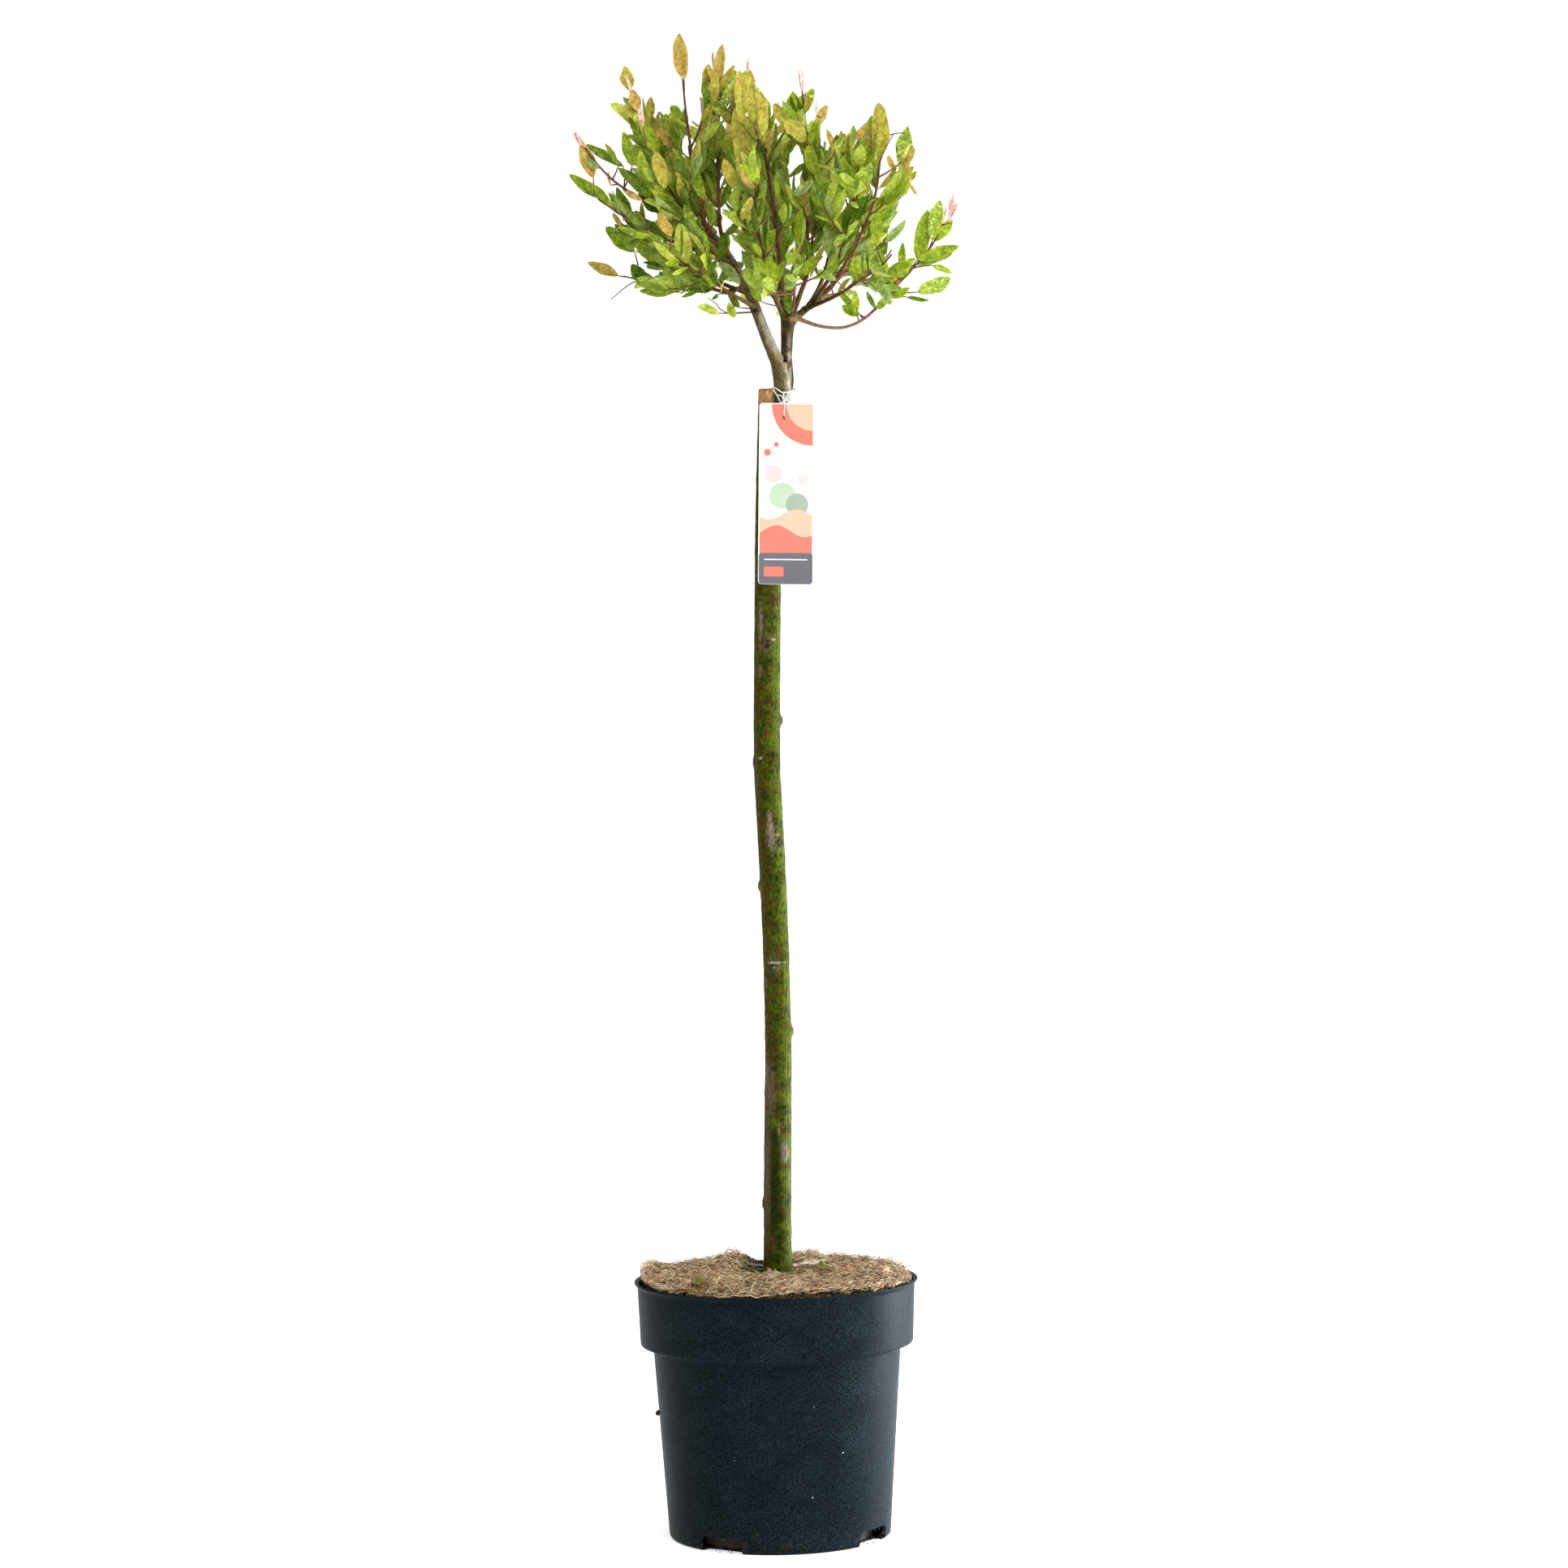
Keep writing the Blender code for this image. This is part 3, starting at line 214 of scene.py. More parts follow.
# Each shoot is a bare limb up to its knee and then a leafy stem. limb is its radius at the foot.
Shoot = namedtuple("Shoot", "name limb bare leafy tint")
SHOOTS = [
    # From the left bough
    Shoot("left_tall", 0.0030,
          [(-0.041, 0.001, 1.3175), (-0.050, 0.004, 1.331), (-0.057, 0.005, 1.350)],
          [(-0.070, 0.006, 1.440), (-0.077, 0.010, 1.531)], "bronze"),
    Shoot("left_upright", 0.0026,
          [(-0.031, 0.002, 1.303), (-0.036, 0.014, 1.322), (-0.039, 0.022, 1.345)],
          [(-0.039, 0.035, 1.420), (-0.038, 0.040, 1.522)], "bronze"),
    Shoot("left_top", 0.0026, [(-0.040, 0.002, 1.317), (-0.058, 0.008, 1.331), (-0.074, 0.012, 1.350)],
          [(-0.112, 0.018, 1.430), (-0.135, 0.020, 1.498)], "pink"),
    Shoot("left_outer", 0.0026,
          [(-0.035, -0.001, 1.3095), (-0.060, -0.014, 1.324), (-0.084, -0.022, 1.342)],
          [(-0.146, -0.030, 1.379), (-0.188, -0.030, 1.433)], "pink"),
    Shoot("left_low", 0.0023,
          [(-0.025, -0.003, 1.294), (-0.050, -0.018, 1.303), (-0.072, -0.026, 1.310)],
          [(-0.132, -0.028, 1.340), (-0.193, -0.024, 1.384)], "green"),
    Shoot("left_skirt", 0.0022,
          [(-0.013, -0.001, 1.271), (-0.034, 0.008, 1.267), (-0.058, 0.018, 1.273)],
          [(-0.122, 0.026, 1.282), (-0.175, 0.028, 1.299)], "bronze"),
    Shoot("left_front", 0.0024,
          [(-0.018, -0.003, 1.279), (-0.037, -0.030, 1.292), (-0.050, -0.050, 1.310)],
          [(-0.080, -0.095, 1.350), (-0.108, -0.132, 1.396)], "green"),
    Shoot("left_front_low", 0.0021,
          [(-0.005, -0.005, 1.250), (-0.022, -0.030, 1.258), (-0.040, -0.052, 1.268)],
          [(-0.070, -0.100, 1.284), (-0.102, -0.146, 1.308)], "green"),
    Shoot("left_back", 0.0025, [(-0.023, 0.002, 1.290), (-0.040, 0.030, 1.308), (-0.054, 0.050, 1.332)],
          [(-0.084, 0.090, 1.410), (-0.111, 0.112, 1.478)], "bronze"),
    Shoot("left_back_low", 0.0023,
          [(-0.010, 0.002, 1.264), (-0.034, 0.034, 1.276), (-0.060, 0.064, 1.292)],
          [(-0.112, 0.112, 1.330), (-0.152, 0.138, 1.374)], "green"),
    # From the right bough's knuckle
    Shoot("leader", 0.0034, [(0.029, 0.002, 1.241), (0.024, 0.002, 1.266), (0.022, 0.002, 1.300)],
          [(0.010, 0.002, 1.400), (-0.012, 0.000, 1.498)], "bronze"),
    Shoot("front_centre", 0.0023,
          [(0.026, -0.001, 1.237), (0.014, -0.026, 1.262), (0.007, -0.046, 1.286)],
          [(-0.002, -0.096, 1.352), (0.002, -0.128, 1.432)], "green"),
    Shoot("front_low", 0.0021, [(0.031, -0.002, 1.233), (0.034, -0.032, 1.246), (0.036, -0.060, 1.256)],
          [(0.036, -0.112, 1.278), (0.034, -0.164, 1.318)], "green"),
    Shoot("back_centre", 0.0027, [(0.028, 0.006, 1.241), (0.022, 0.026, 1.268), (0.018, 0.042, 1.300)],
          [(0.012, 0.078, 1.400), (0.010, 0.100, 1.488)], "bronze"),
    Shoot("back_low", 0.0023, [(0.029, 0.006, 1.236), (0.022, 0.044, 1.252), (0.016, 0.074, 1.274)],
          [(0.010, 0.130, 1.332), (0.012, 0.166, 1.398)], "green"),
    Shoot("top_right", 0.0026, [(0.033, 0.004, 1.242), (0.044, 0.012, 1.268), (0.050, 0.015, 1.294)],
          [(0.052, 0.014, 1.410), (0.045, 0.010, 1.505)], "pink"),
    Shoot("right_inner", 0.0024,
          [(0.034, -0.001, 1.241), (0.045, -0.020, 1.268), (0.052, -0.034, 1.292)],
          [(0.062, -0.056, 1.380), (0.066, -0.060, 1.454)], "bronze"),
    Shoot("right_main", 0.0033, [(0.035, 0.002, 1.237), (0.062, 0.002, 1.259), (0.084, 0.001, 1.284)],
          [(0.120, 0.000, 1.360), (0.129, 0.004, 1.456)], "bronze"),
    # From the right-hand main limb
    Shoot("right_front", 0.0023,
          [(0.056, 0.001, 1.254), (0.072, -0.030, 1.276), (0.082, -0.050, 1.296)],
          [(0.098, -0.094, 1.356), (0.104, -0.122, 1.418)], "green"),
    Shoot("right_front_low", 0.0021,
          [(0.047, 0.001, 1.247), (0.076, -0.036, 1.256), (0.096, -0.062, 1.266)],
          [(0.128, -0.102, 1.286), (0.152, -0.128, 1.320)], "green"),
    Shoot("right_back", 0.0024, [(0.052, 0.002, 1.251), (0.064, 0.034, 1.276), (0.072, 0.056, 1.302)],
          [(0.090, 0.100, 1.380), (0.100, 0.122, 1.454)], "bronze"),
    Shoot("right_outer", 0.0024, [(0.078, 0.002, 1.277), (0.098, 0.022, 1.291), (0.112, 0.034, 1.308)],
          [(0.144, 0.058, 1.372), (0.160, 0.064, 1.434)], "bronze"),
    Shoot("right_back_low", 0.0022,
          [(0.062, 0.002, 1.259), (0.084, 0.046, 1.266), (0.098, 0.074, 1.278)],
          [(0.132, 0.118, 1.306), (0.158, 0.140, 1.350)], "green"),
    # From the low arching limb
    Shoot("far_right", 0.0020, [(0.140, 0.000, 1.271), (0.147, 0.000, 1.277), (0.154, 0.000, 1.283)],
          [(0.182, 0.000, 1.317), (0.193, 0.000, 1.357)], "pink"),
]


# The dense part of the crown in the photograph, in its pixels, and the sky that shows through it
CROWN_OUTLINE = [
    (885, 59), (897, 65), (899, 80), (925, 81), (939, 112), (958, 131), (973, 111), (999, 112),
    (1005, 124), (989, 143), (1013, 148), (1010, 178), (1018, 171), (1028, 174), (1036, 162),
    (1057, 162), (1072, 141), (1089, 133), (1097, 141), (1097, 165), (1119, 163), (1130, 182),
    (1119, 214), (1129, 233), (1113, 245), (1099, 273), (1106, 281), (1106, 300), (1123, 314),
    (1126, 333), (1114, 346), (1120, 364), (1071, 394), (944, 394), (921, 385), (907, 394),
    (889, 389), (876, 376), (879, 363), (805, 366), (782, 352), (774, 335), (786, 322), (747, 291),
    (752, 260), (719, 235), (726, 219), (705, 188), (722, 168), (748, 175), (770, 202), (764, 172),
    (778, 161), (756, 138), (769, 116), (781, 110), (792, 129), (812, 137), (839, 136), (860, 120),
    (863, 86),
]
SKY = [
    ((1023, 383), (27, 20)), ((744, 217), (10, 15)), ((763, 216), (7, 8)), ((776, 228), (9, 6)),
    ((788, 239), (8, 5)), ((946, 383), (10, 18)), ((1065, 372), (8, 17)), ((1097, 186), (12, 22)),
    ((855, 138), (9, 10)), ((1008, 356), (12, 12)), ((900, 357), (11, 10)), ((889, 373), (9, 8)),
    ((847, 181), (7, 11)), ((980, 224), (6, 11)), ((981, 198), (7, 13)), ((1091, 321), (5, 8)),
    ((780, 254), (5, 10)), ((1102, 311), (7, 13)), ((1050, 352), (8, 6)), ((801, 264), (7, 6)),
    ((909, 313), (6, 6)), ((976, 307), (4, 6)), ((1015, 324), (4, 7)), ((994, 373), (5, 5)),
    ((761, 268), (5, 7)), ((947, 175), (3, 5)), ((1016, 181), (3, 5)), ((1040, 251), (4, 5)),
    ((1079, 234), (3, 6)), ((971, 331), (3, 5)), ((806, 336), (7, 3)),
]

# Stems in plain view up to this share of their leafy length
SEEN_STEMS = {
    "right_main": 0.72, "leader": 0.62, "left_upright": 0.45, "left_tall": 0.30, "top_right": 0.40,
}

# Leaves that stand out in the photograph: their ends and width in its pixels, and their kind.
# One that is in front is on the near side.
Showy = namedtuple("Showy", "root tip width kind front", defaults=[False])
SHOWY = [Showy(*row) for row in [
    # Top left
    ((843, 98), (836, 41), 20, "bronze"), ((886, 98), (890, 54), 14, "bronze"),
    ((880, 86), (878, 62), 6, "cream"), ((869, 122), (874, 79), 17, "olive"),
    ((903, 112), (900, 83), 13, "fresh"), ((912, 150), (913, 86), 17, "olive", True),
    ((929, 150), (926, 86), 19, "olive", True), ((940, 168), (936, 112), 14, "olive", True),
    ((911, 204), (907, 132), 14, "olive", True), ((927, 202), (923, 138), 15, "lime", True),
    ((921, 90), (922, 70), 6, "pink"), ((776, 112), (768, 81), 18, "olive"),
    ((787, 137), (777, 110), 15, "bronze"), ((784, 152), (752, 127), 14, "lime"),
    ((792, 156), (788, 131), 8, "pink", True), ((800, 152), (803, 119), 12, "olive"),
    ((820, 159), (819, 141), 8, "pink"), ((869, 153), (867, 130), 8, "pink"),
    ((838, 147), (826, 131), 14, "mid"), ((731, 219), (712, 175), 19, "bronze"),
    ((716, 180), (706, 159), 8, "pink"), ((751, 247), (700, 217), 16, "mid"),
    ((768, 205), (722, 178), 12, "deep"), ((752, 228), (749, 211), 4, "bronze"),
    ((778, 279), (758, 231), 17, "deep"), ((811, 262), (786, 238), 13, "deep"),
    ((792, 247), (766, 233), 8, "bronze"), ((802, 243), (762, 206), 15, "deep"),
    ((762, 203), (746, 176), 7, "mid"), ((779, 205), (766, 163), 15, "mid"),
    # Lower left
    ((762, 340), (723, 324), 15, "bronze"), ((780, 348), (753, 369), 2, "bare"),
    ((782, 310), (745, 281), 17, "mid"), ((768, 282), (754, 262), 7, "bronze"),
    ((800, 351), (777, 327), 17, "deep"), ((835, 358), (788, 357), 14, "mid"),
    ((861, 357), (839, 366), 6, "mid"), ((885, 386), (860, 377), 11, "lime"),
    ((894, 385), (872, 367), 2, "bare"), ((905, 391), (898, 373), 11, "fresh", True),
    ((911, 379), (897, 361), 9, "deep"), ((885, 362), (877, 369), 5, "deep"),
    ((847, 325), (833, 275), 21, "lime", True), ((836, 326), (806, 297), 11, "lime", True),
    ((827, 291), (812, 262), 14, "bronze", True),
    # Centre
    ((996, 200), (970, 218), 8, "deep"), ((1002, 222), (978, 242), 12, "grey", True),
    ((944, 176), (922, 142), 13, "olive", True), ((935, 226), (914, 186), 15, "lime", True),
    ((905, 232), (890, 196), 15, "olive", True), ((868, 246), (853, 208), 14, "mid", True),
    ((820, 232), (806, 186), 17, "olive", True),
    # Lower centre
    ((972, 386), (970, 352), 11, "deep", True), ((975, 345), (985, 318), 11, "deep", True),
    ((990, 340), (1004, 316), 11, "mid", True), ((1000, 318), (991, 292), 11, "deep", True),
    ((1022, 340), (1030, 312), 13, "mid", True), ((1030, 345), (1006, 334), 11, "grey", True),
    ((1018, 312), (1022, 282), 14, "grey", True), ((912, 350), (886, 322), 13, "grey", True),
    ((938, 372), (925, 350), 11, "mid", True), ((868, 322), (862, 282), 15, "mid", True),
    ((890, 320), (893, 286), 12, "deep", True), ((1079, 300), (1083, 262), 15, "mid", True),
    ((1090, 345), (1083, 312), 14, "fresh", True), ((946, 353), (931, 318), 17, "fresh", True),
    ((949, 356), (949, 315), 17, "fresh", True), ((952, 352), (966, 322), 12, "mid", True),
    ((1046, 334), (1077, 313), 22, "fresh", True), ((1059, 388), (1037, 377), 12, "mid"),
    ((1055, 386), (1052, 358), 10, "fresh"), ((1052, 378), (1032, 359), 9, "mid"),
    ((1079, 380), (1067, 359), 7, "deep"), ((1080, 381), (1095, 363), 10, "mid"),
    # Right
    ((980, 145), (1001, 108), 20, "dappled"), ((977, 142), (975, 112), 13, "fresh"),
    ((1004, 158), (1018, 129), 12, "bronze"), ((1006, 142), (1006, 124), 5, "cream"),
    ((1029, 187), (1018, 158), 8, "bronze"), ((1037, 197), (1036, 161), 13, "olive"),
    ((1047, 184), (1052, 154), 10, "dappled"), ((1056, 174), (1065, 152), 8, "bronze"),
    ((1062, 216), (1068, 176), 17, "mid"), ((1075, 187), (1072, 142), 16, "mid"),
    ((1086, 186), (1084, 126), 22, "olive"), ((1087, 192), (1101, 165), 2, "bare"),
    ((1101, 165), (1117, 165), 2, "bare"), ((1110, 208), (1120, 154), 22, "dappled"),
    ((1119, 203), (1126, 181), 8, "bronze"), ((1101, 209), (1094, 191), 8, "bronze"),
    ((1112, 242), (1119, 208), 14, "olive"), ((1118, 224), (1130, 211), 7, "mid"),
    ((1120, 226), (1130, 240), 5, "bronze"), ((1091, 299), (1116, 271), 11, "grey"),
    ((1109, 331), (1113, 298), 10, "mid"), ((1132, 323), (1142, 258), 21, "mid"),
    ((1149, 296), (1157, 246), 18, "dappled"), ((1151, 297), (1174, 271), 13, "fresh"),
    ((1169, 274), (1175, 238), 12, "pink"), ((1170, 274), (1181, 248), 8, "pink"),
    ((1130, 320), (1181, 301), 15, "mid"), ((1128, 326), (1176, 308), 15, "dappled"),
    ((1148, 327), (1174, 337), 8, "fresh"), ((1131, 360), (1172, 342), 20, "dappled"),
    ((1117, 366), (1145, 371), 6, "deep"), ((1098, 367), (1121, 355), 10, "mid"),
]]


def photo_point(pixel, depth):
    """The point at this depth that the photograph shows at a pixel."""
    across = pixel[0] - POT_PIXEL[0]
    up = POT_PIXEL[1] - pixel[1]
    cosine, sine = math.cos(CAMERA_ROLL), math.sin(CAMERA_ROLL)
    x = (across * cosine + up * sine) * PHOTO_SCALE
    z = (up * cosine - across * sine) * PHOTO_SCALE
    spread = 1 + depth / CAMERA_DISTANCE
    return Vector((x * spread, depth, CAMERA_HEIGHT + (z - CAMERA_HEIGHT) * spread))


def pixels_of(points):
    """Where the photograph shows some points, as (pixels, depths)."""
    places = np.array([tuple(point) for point in points])
    spread = 1 + places[:, 1] / CAMERA_DISTANCE
    x = places[:, 0] / spread
    z = CAMERA_HEIGHT + (places[:, 2] - CAMERA_HEIGHT) / spread
    cosine, sine = math.cos(CAMERA_ROLL), math.sin(CAMERA_ROLL)
    across = (x * cosine - z * sine) / PHOTO_SCALE
    up = (x * sine + z * cosine) / PHOTO_SCALE
    return np.stack([POT_PIXEL[0] + across, POT_PIXEL[1] - up], axis=1), places[:, 1]


# Camera and light


# Each softbox: name, place, what it shines at, width and height, watts and colour
SOFTBOXES = [
    ("key", (0.9, -2.3, 3.3), (0, 0, 1.2), (1.9, 1.9), 88, (1.0, 0.985, 0.94)),
    ("side", (2.5, -0.3, 1.0), (0, 0, 0.4), (1.9, 2.2), 36, (0.80, 0.93, 1.0)),
    ("rear", (2.5, 1.7, 1.0), (0, 0, 0.4), (1.2, 2.2), 30, (0.78, 0.92, 1.0)),
    ("low", (1.08, 0.35, 0.17), (0, 0, -0.15), (0.34, 0.28), 25, (0.92, 0.93, 1.0)),
]
WHITE = (1.0, 1.0, 1.0, 1)
COOL_WHITE = (0.97, 1.12, 1.30, 1)
FLOOR_REACH = 14.0
FLOOR_GLOW = 0.66


def new_object(name, data):
    made = bpy.data.objects.new(name, data)
    bpy.context.scene.collection.objects.link(made)
    return made


def new_mesh(name, points, faces):
    mesh = bpy.data.meshes.new(name)
    mesh.from_pydata([tuple(point) for point in points], [], faces)
    return mesh


def applied(made):
    """The mesh that an object has once its modifiers are applied."""
    bpy.context.view_layer.update()
    return bpy.data.meshes.new_from_object(made.evaluated_get(bpy.context.evaluated_depsgraph_get()))


def make_camera():
    """Looks level along +Y with the photograph's slight roll, and is shifted to its frame."""
    camera = new_object("camera", bpy.data.cameras.new("camera"))
    right = Vector((math.cos(CAMERA_ROLL), 0, -math.sin(CAMERA_ROLL)))
    up = Vector((math.sin(CAMERA_ROLL), 0, math.cos(CAMERA_ROLL)))
    turn = Matrix((right, up, FORWARD)).transposed().to_4x4()
    camera.matrix_world = Matrix.Translation((0, -CAMERA_DISTANCE, CAMERA_HEIGHT)) @ turn
    width = PHOTO_SIDE * PHOTO_SCALE
    aside = Vector((VIEW_CENTRE[0], 0, VIEW_CENTRE[1] - CAMERA_HEIGHT))
    camera.data.sensor_width = SENSOR
    camera.data.lens = SENSOR * CAMERA_DISTANCE / width
    camera.data.shift_x = aside.dot(right) / width
    camera.data.shift_y = aside.dot(up) / width
    camera.data.clip_start = 0.05
    camera.data.clip_end = 60
    bpy.context.scene.camera = camera


def add_softbox(name, place, target, size, watts, colour):
    """A rectangular light at a place that shines at a target."""
    light = bpy.data.lights.new(name, "AREA")
    light.shape = "RECTANGLE"
    light.size, light.size_y = size
    light.energy = watts
    light.color = colour
    box = new_object(name, light)
    box.location = place
    box.rotation_euler = (Vector(target) - Vector(place)).to_track_quat("-Z", "Y").to_euler()


def make_light():
    """A white studio: bright behind the plant and dim towards the camera, with four softboxes."""
    world = bpy.data.worlds.new("studio")
    world.use_nodes = True
    tree = world.node_tree
    background = tree.nodes["Background"]
    across, away, _ = split_axes(tree, node(tree, "ShaderNodeTexCoord").outputs["Generated"])
    cool = map_range(tree, across, 0.22, 0.50)
    feed(tree, background.inputs["Color"], colour_mix(tree, cool, WHITE, COOL_WHITE))
    fall = map_range(tree, across, -0.72, -0.12, 0.30, 1.0)
    rise = map_range(tree, across, 0.30, 0.85, 1.0, 2.1)
    glow = map_range(tree, away, -0.45, 0.35, 0.30, 1.06)
    sides = math_node(tree, "MULTIPLY", fall, rise)
    feed(tree, background.inputs["Strength"], math_node(tree, "MULTIPLY", glow, sides))
    bpy.context.scene.world = world
    bpy.context.scene.view_settings.view_transform = "Standard"
    for softbox in SOFTBOXES:
        add_softbox(*softbox)
    low, high = -FLOOR_REACH, FLOOR_REACH
    corners = [(low, low, 0), (high, low, 0), (high, high, 0), (low, high, 0)]
    floor = new_mesh("floor", corners, [(0, 1, 2, 3)])
    ground = new_object("floor", floor)
    paper, _, shader = principled("floor_paper", (0.80, 0.80, 0.80), 0.9, 0.1)
    shader.inputs["Emission Color"].default_value = WHITE
    shader.inputs["Emission Strength"].default_value = FLOOR_GLOW
    floor.materials.append(paper)


# Materials


def principled(name, colour, roughness, specular=0.5):
    """A new Principled material, its node tree and its shader."""
    material = bpy.data.materials.new(name)
    material.use_nodes = True
    tree = material.node_tree
    shader = tree.nodes["Principled BSDF"]
    shader.inputs["Base Color"].default_value = (*colour, 1)
    shader.inputs["Roughness"].default_value = roughness
    shader.inputs["Specular IOR Level"].default_value = specular
    material.diffuse_color = (*colour, 1)
    return material, tree, shader


def node(tree, kind, **settings):
    """A new node, with its attributes or its sockets set."""
    made = tree.nodes.new(kind)
    for key, value in settings.items():
        if hasattr(made, key):
            setattr(made, key, value)
        else:
            made.inputs[key.replace("_", " ").title()].default_value = value
    return made


def feed(tree, socket, source):
    """Links a socket to another node's output, or sets it to a plain value."""
    if isinstance(source, bpy.types.NodeSocket):
        tree.links.new(source, socket)
    else:
        socket.default_value = source


def split_axes(tree, source):
    """The X, Y and Z outputs of a vector."""
    split = node(tree, "ShaderNodeSeparateXYZ")
    feed(tree, split.inputs["Vector"], source)
    return tuple(split.outputs)


def map_range(tree, source, from_min, from_max, to_min=0.0, to_max=1.0):
    """The output of a node that carries the source from one range to another."""
    limits = {"From_Min": from_min, "From_Max": from_max, "To_Min": to_min, "To_Max": to_max}
    made = node(tree, "ShaderNodeMapRange", **limits)
    feed(tree, made.inputs["Value"], source)
    return made.outputs["Result"]


def math_node(tree, operation, *values):
    """The output of one operation on plain values and other nodes' outputs."""
    made = node(tree, "ShaderNodeMath", operation=operation)
    for socket, value in zip(made.inputs, values):
        feed(tree, socket, value)
    return made.outputs["Value"]


def colour_mix(tree, factor, first, second, blend_type="MIX"):
    """The output of a mix of two colours."""
    made = node(tree, "ShaderNodeMix", data_type="RGBA", blend_type=blend_type)
    for key, value in (("Factor", factor), ("A", first), ("B", second)):
        feed(tree, made.inputs[key], value)
    return made.outputs["Result"]


def noise_node(tree, scale, detail=4.0, stretch=(1, 1, 1)):
    """The output of noise in the object's own coordinates, squeezed by stretch."""
    place = node(tree, "ShaderNodeTexCoord")
    squeeze = node(tree, "ShaderNodeMapping", Scale=stretch)
    grain = node(tree, "ShaderNodeTexNoise", Scale=scale, Detail=detail)
    feed(tree, squeeze.inputs["Vector"], place.outputs["Object"])
    feed(tree, grain.inputs["Vector"], squeeze.outputs["Vector"])
    return grain.outputs["Fac"]


def ramp_node(tree, source, stops):
    """The output of a colour ramp with (position, colour) stops."""
    ramp = node(tree, "ShaderNodeValToRGB")
    elements = ramp.color_ramp.elements
    while len(elements) < len(stops):
        elements.new(0.5)
    for element, (position, colour) in zip(elements, stops):
        element.position = position
        element.color = (*colour, 1)
    feed(tree, ramp.inputs["Fac"], source)
    return ramp.outputs["Color"]


def add_bump(tree, shader, height, strength, distance):
    bump = node(tree, "ShaderNodeBump", Strength=strength, Distance=distance)
    feed(tree, bump.inputs["Height"], height)
    feed(tree, shader.inputs["Normal"], bump.outputs["Normal"])


def vary_roughness(tree, shader, source, low, high):
    feed(tree, shader.inputs["Roughness"], map_range(tree, source, 0.0, 1.0, low, high))


def mottled(name, stops, scale, roughness, bump, stretch=(1, 1, 1), specular=0.5):
    """Noise through a colour ramp, uneven gloss and a relief of finer noise."""
    middle = stops[len(stops) // 2][1]
    material, tree, shader = principled(name, middle, roughness, specular)
    coarse = noise_node(tree, scale, 5.0, stretch)
    fine = noise_node(tree, scale * 4, 3.0, stretch)
    feed(tree, shader.inputs["Base Color"], ramp_node(tree, coarse, stops))
    vary_roughness(tree, shader, fine, roughness - 0.08, roughness + 0.08)
    add_bump(tree, shader, fine, 0.6, bump)
    return material


def painted_bark(name, roughness, bump, low, high):
    """Takes its colour from the mesh's own tint, broken up by fine grain between two brightnesses."""
    material, tree, shader = principled(name, (0.09, 0.09, 0.03), roughness, 0.03)
    tint = node(tree, "ShaderNodeVertexColor", layer_name="tint")
    grain = noise_node(tree, 900, 4.0, (1, 1, 0.28))
    light = ramp_node(tree, grain, [(0.32, (low, low, low)), (0.70, (high, high, high * 0.94))])
    feed(tree, shader.inputs["Base Color"], colour_mix(tree, 1.0, tint.outputs["Color"], light, "MULTIPLY"))
    vary_roughness(tree, shader, grain, roughness - 0.1, roughness + 0.12)
    add_bump(tree, shader, grain, 0.7, bump)
    return material


def pot_plastic():
    """Blue-black moulded plastic: fine grain, uneven gloss, and dried dirt that thins out upwards."""
    material, tree, shader = principled("pot_plastic", (0.005, 0.009, 0.012), 0.40, 0.025)
    cloud = noise_node(tree, 26, 5.0, (1, 1, 1.6))
    base = ramp_node(tree, cloud, [(0.3, (0.0034, 0.0070, 0.0090)), (0.7, (0.0066, 0.0118, 0.0150))])
    _, _, height = split_axes(tree, node(tree, "ShaderNodeTexCoord").outputs["Object"])
    low = map_range(tree, height, 0.0, 0.035, 0.16, 0.0)
    patch = ramp_node(tree, noise_node(tree, 150, 6.0), [(0.50, (0, 0, 0)), (0.66, (1, 1, 1))])
    soiled = colour_mix(tree, math_node(tree, "MULTIPLY", patch, low), base, (0.085, 0.060, 0.040, 1))
    grain = noise_node(tree, 620, 3.0)
    speck = ramp_node(tree, grain, [(0.35, (0.2, 0.25, 0.25)), (0.65, (2.4, 2.2, 2.2))])
    feed(tree, shader.inputs["Base Color"], colour_mix(tree, 1.0, soiled, speck, "MULTIPLY"))
    shader.inputs["Specular Tint"].default_value = (0.78, 0.93, 1.0, 1)
    vary_roughness(tree, shader, cloud, 0.36, 0.50)
    add_bump(tree, shader, grain, 0.6, 0.0005)
    return material


# How far a vein leans towards the tip, and how closely the veins follow one another along a blade
VEIN_SLANT = -0.32
VEIN_BEAT = 62.0


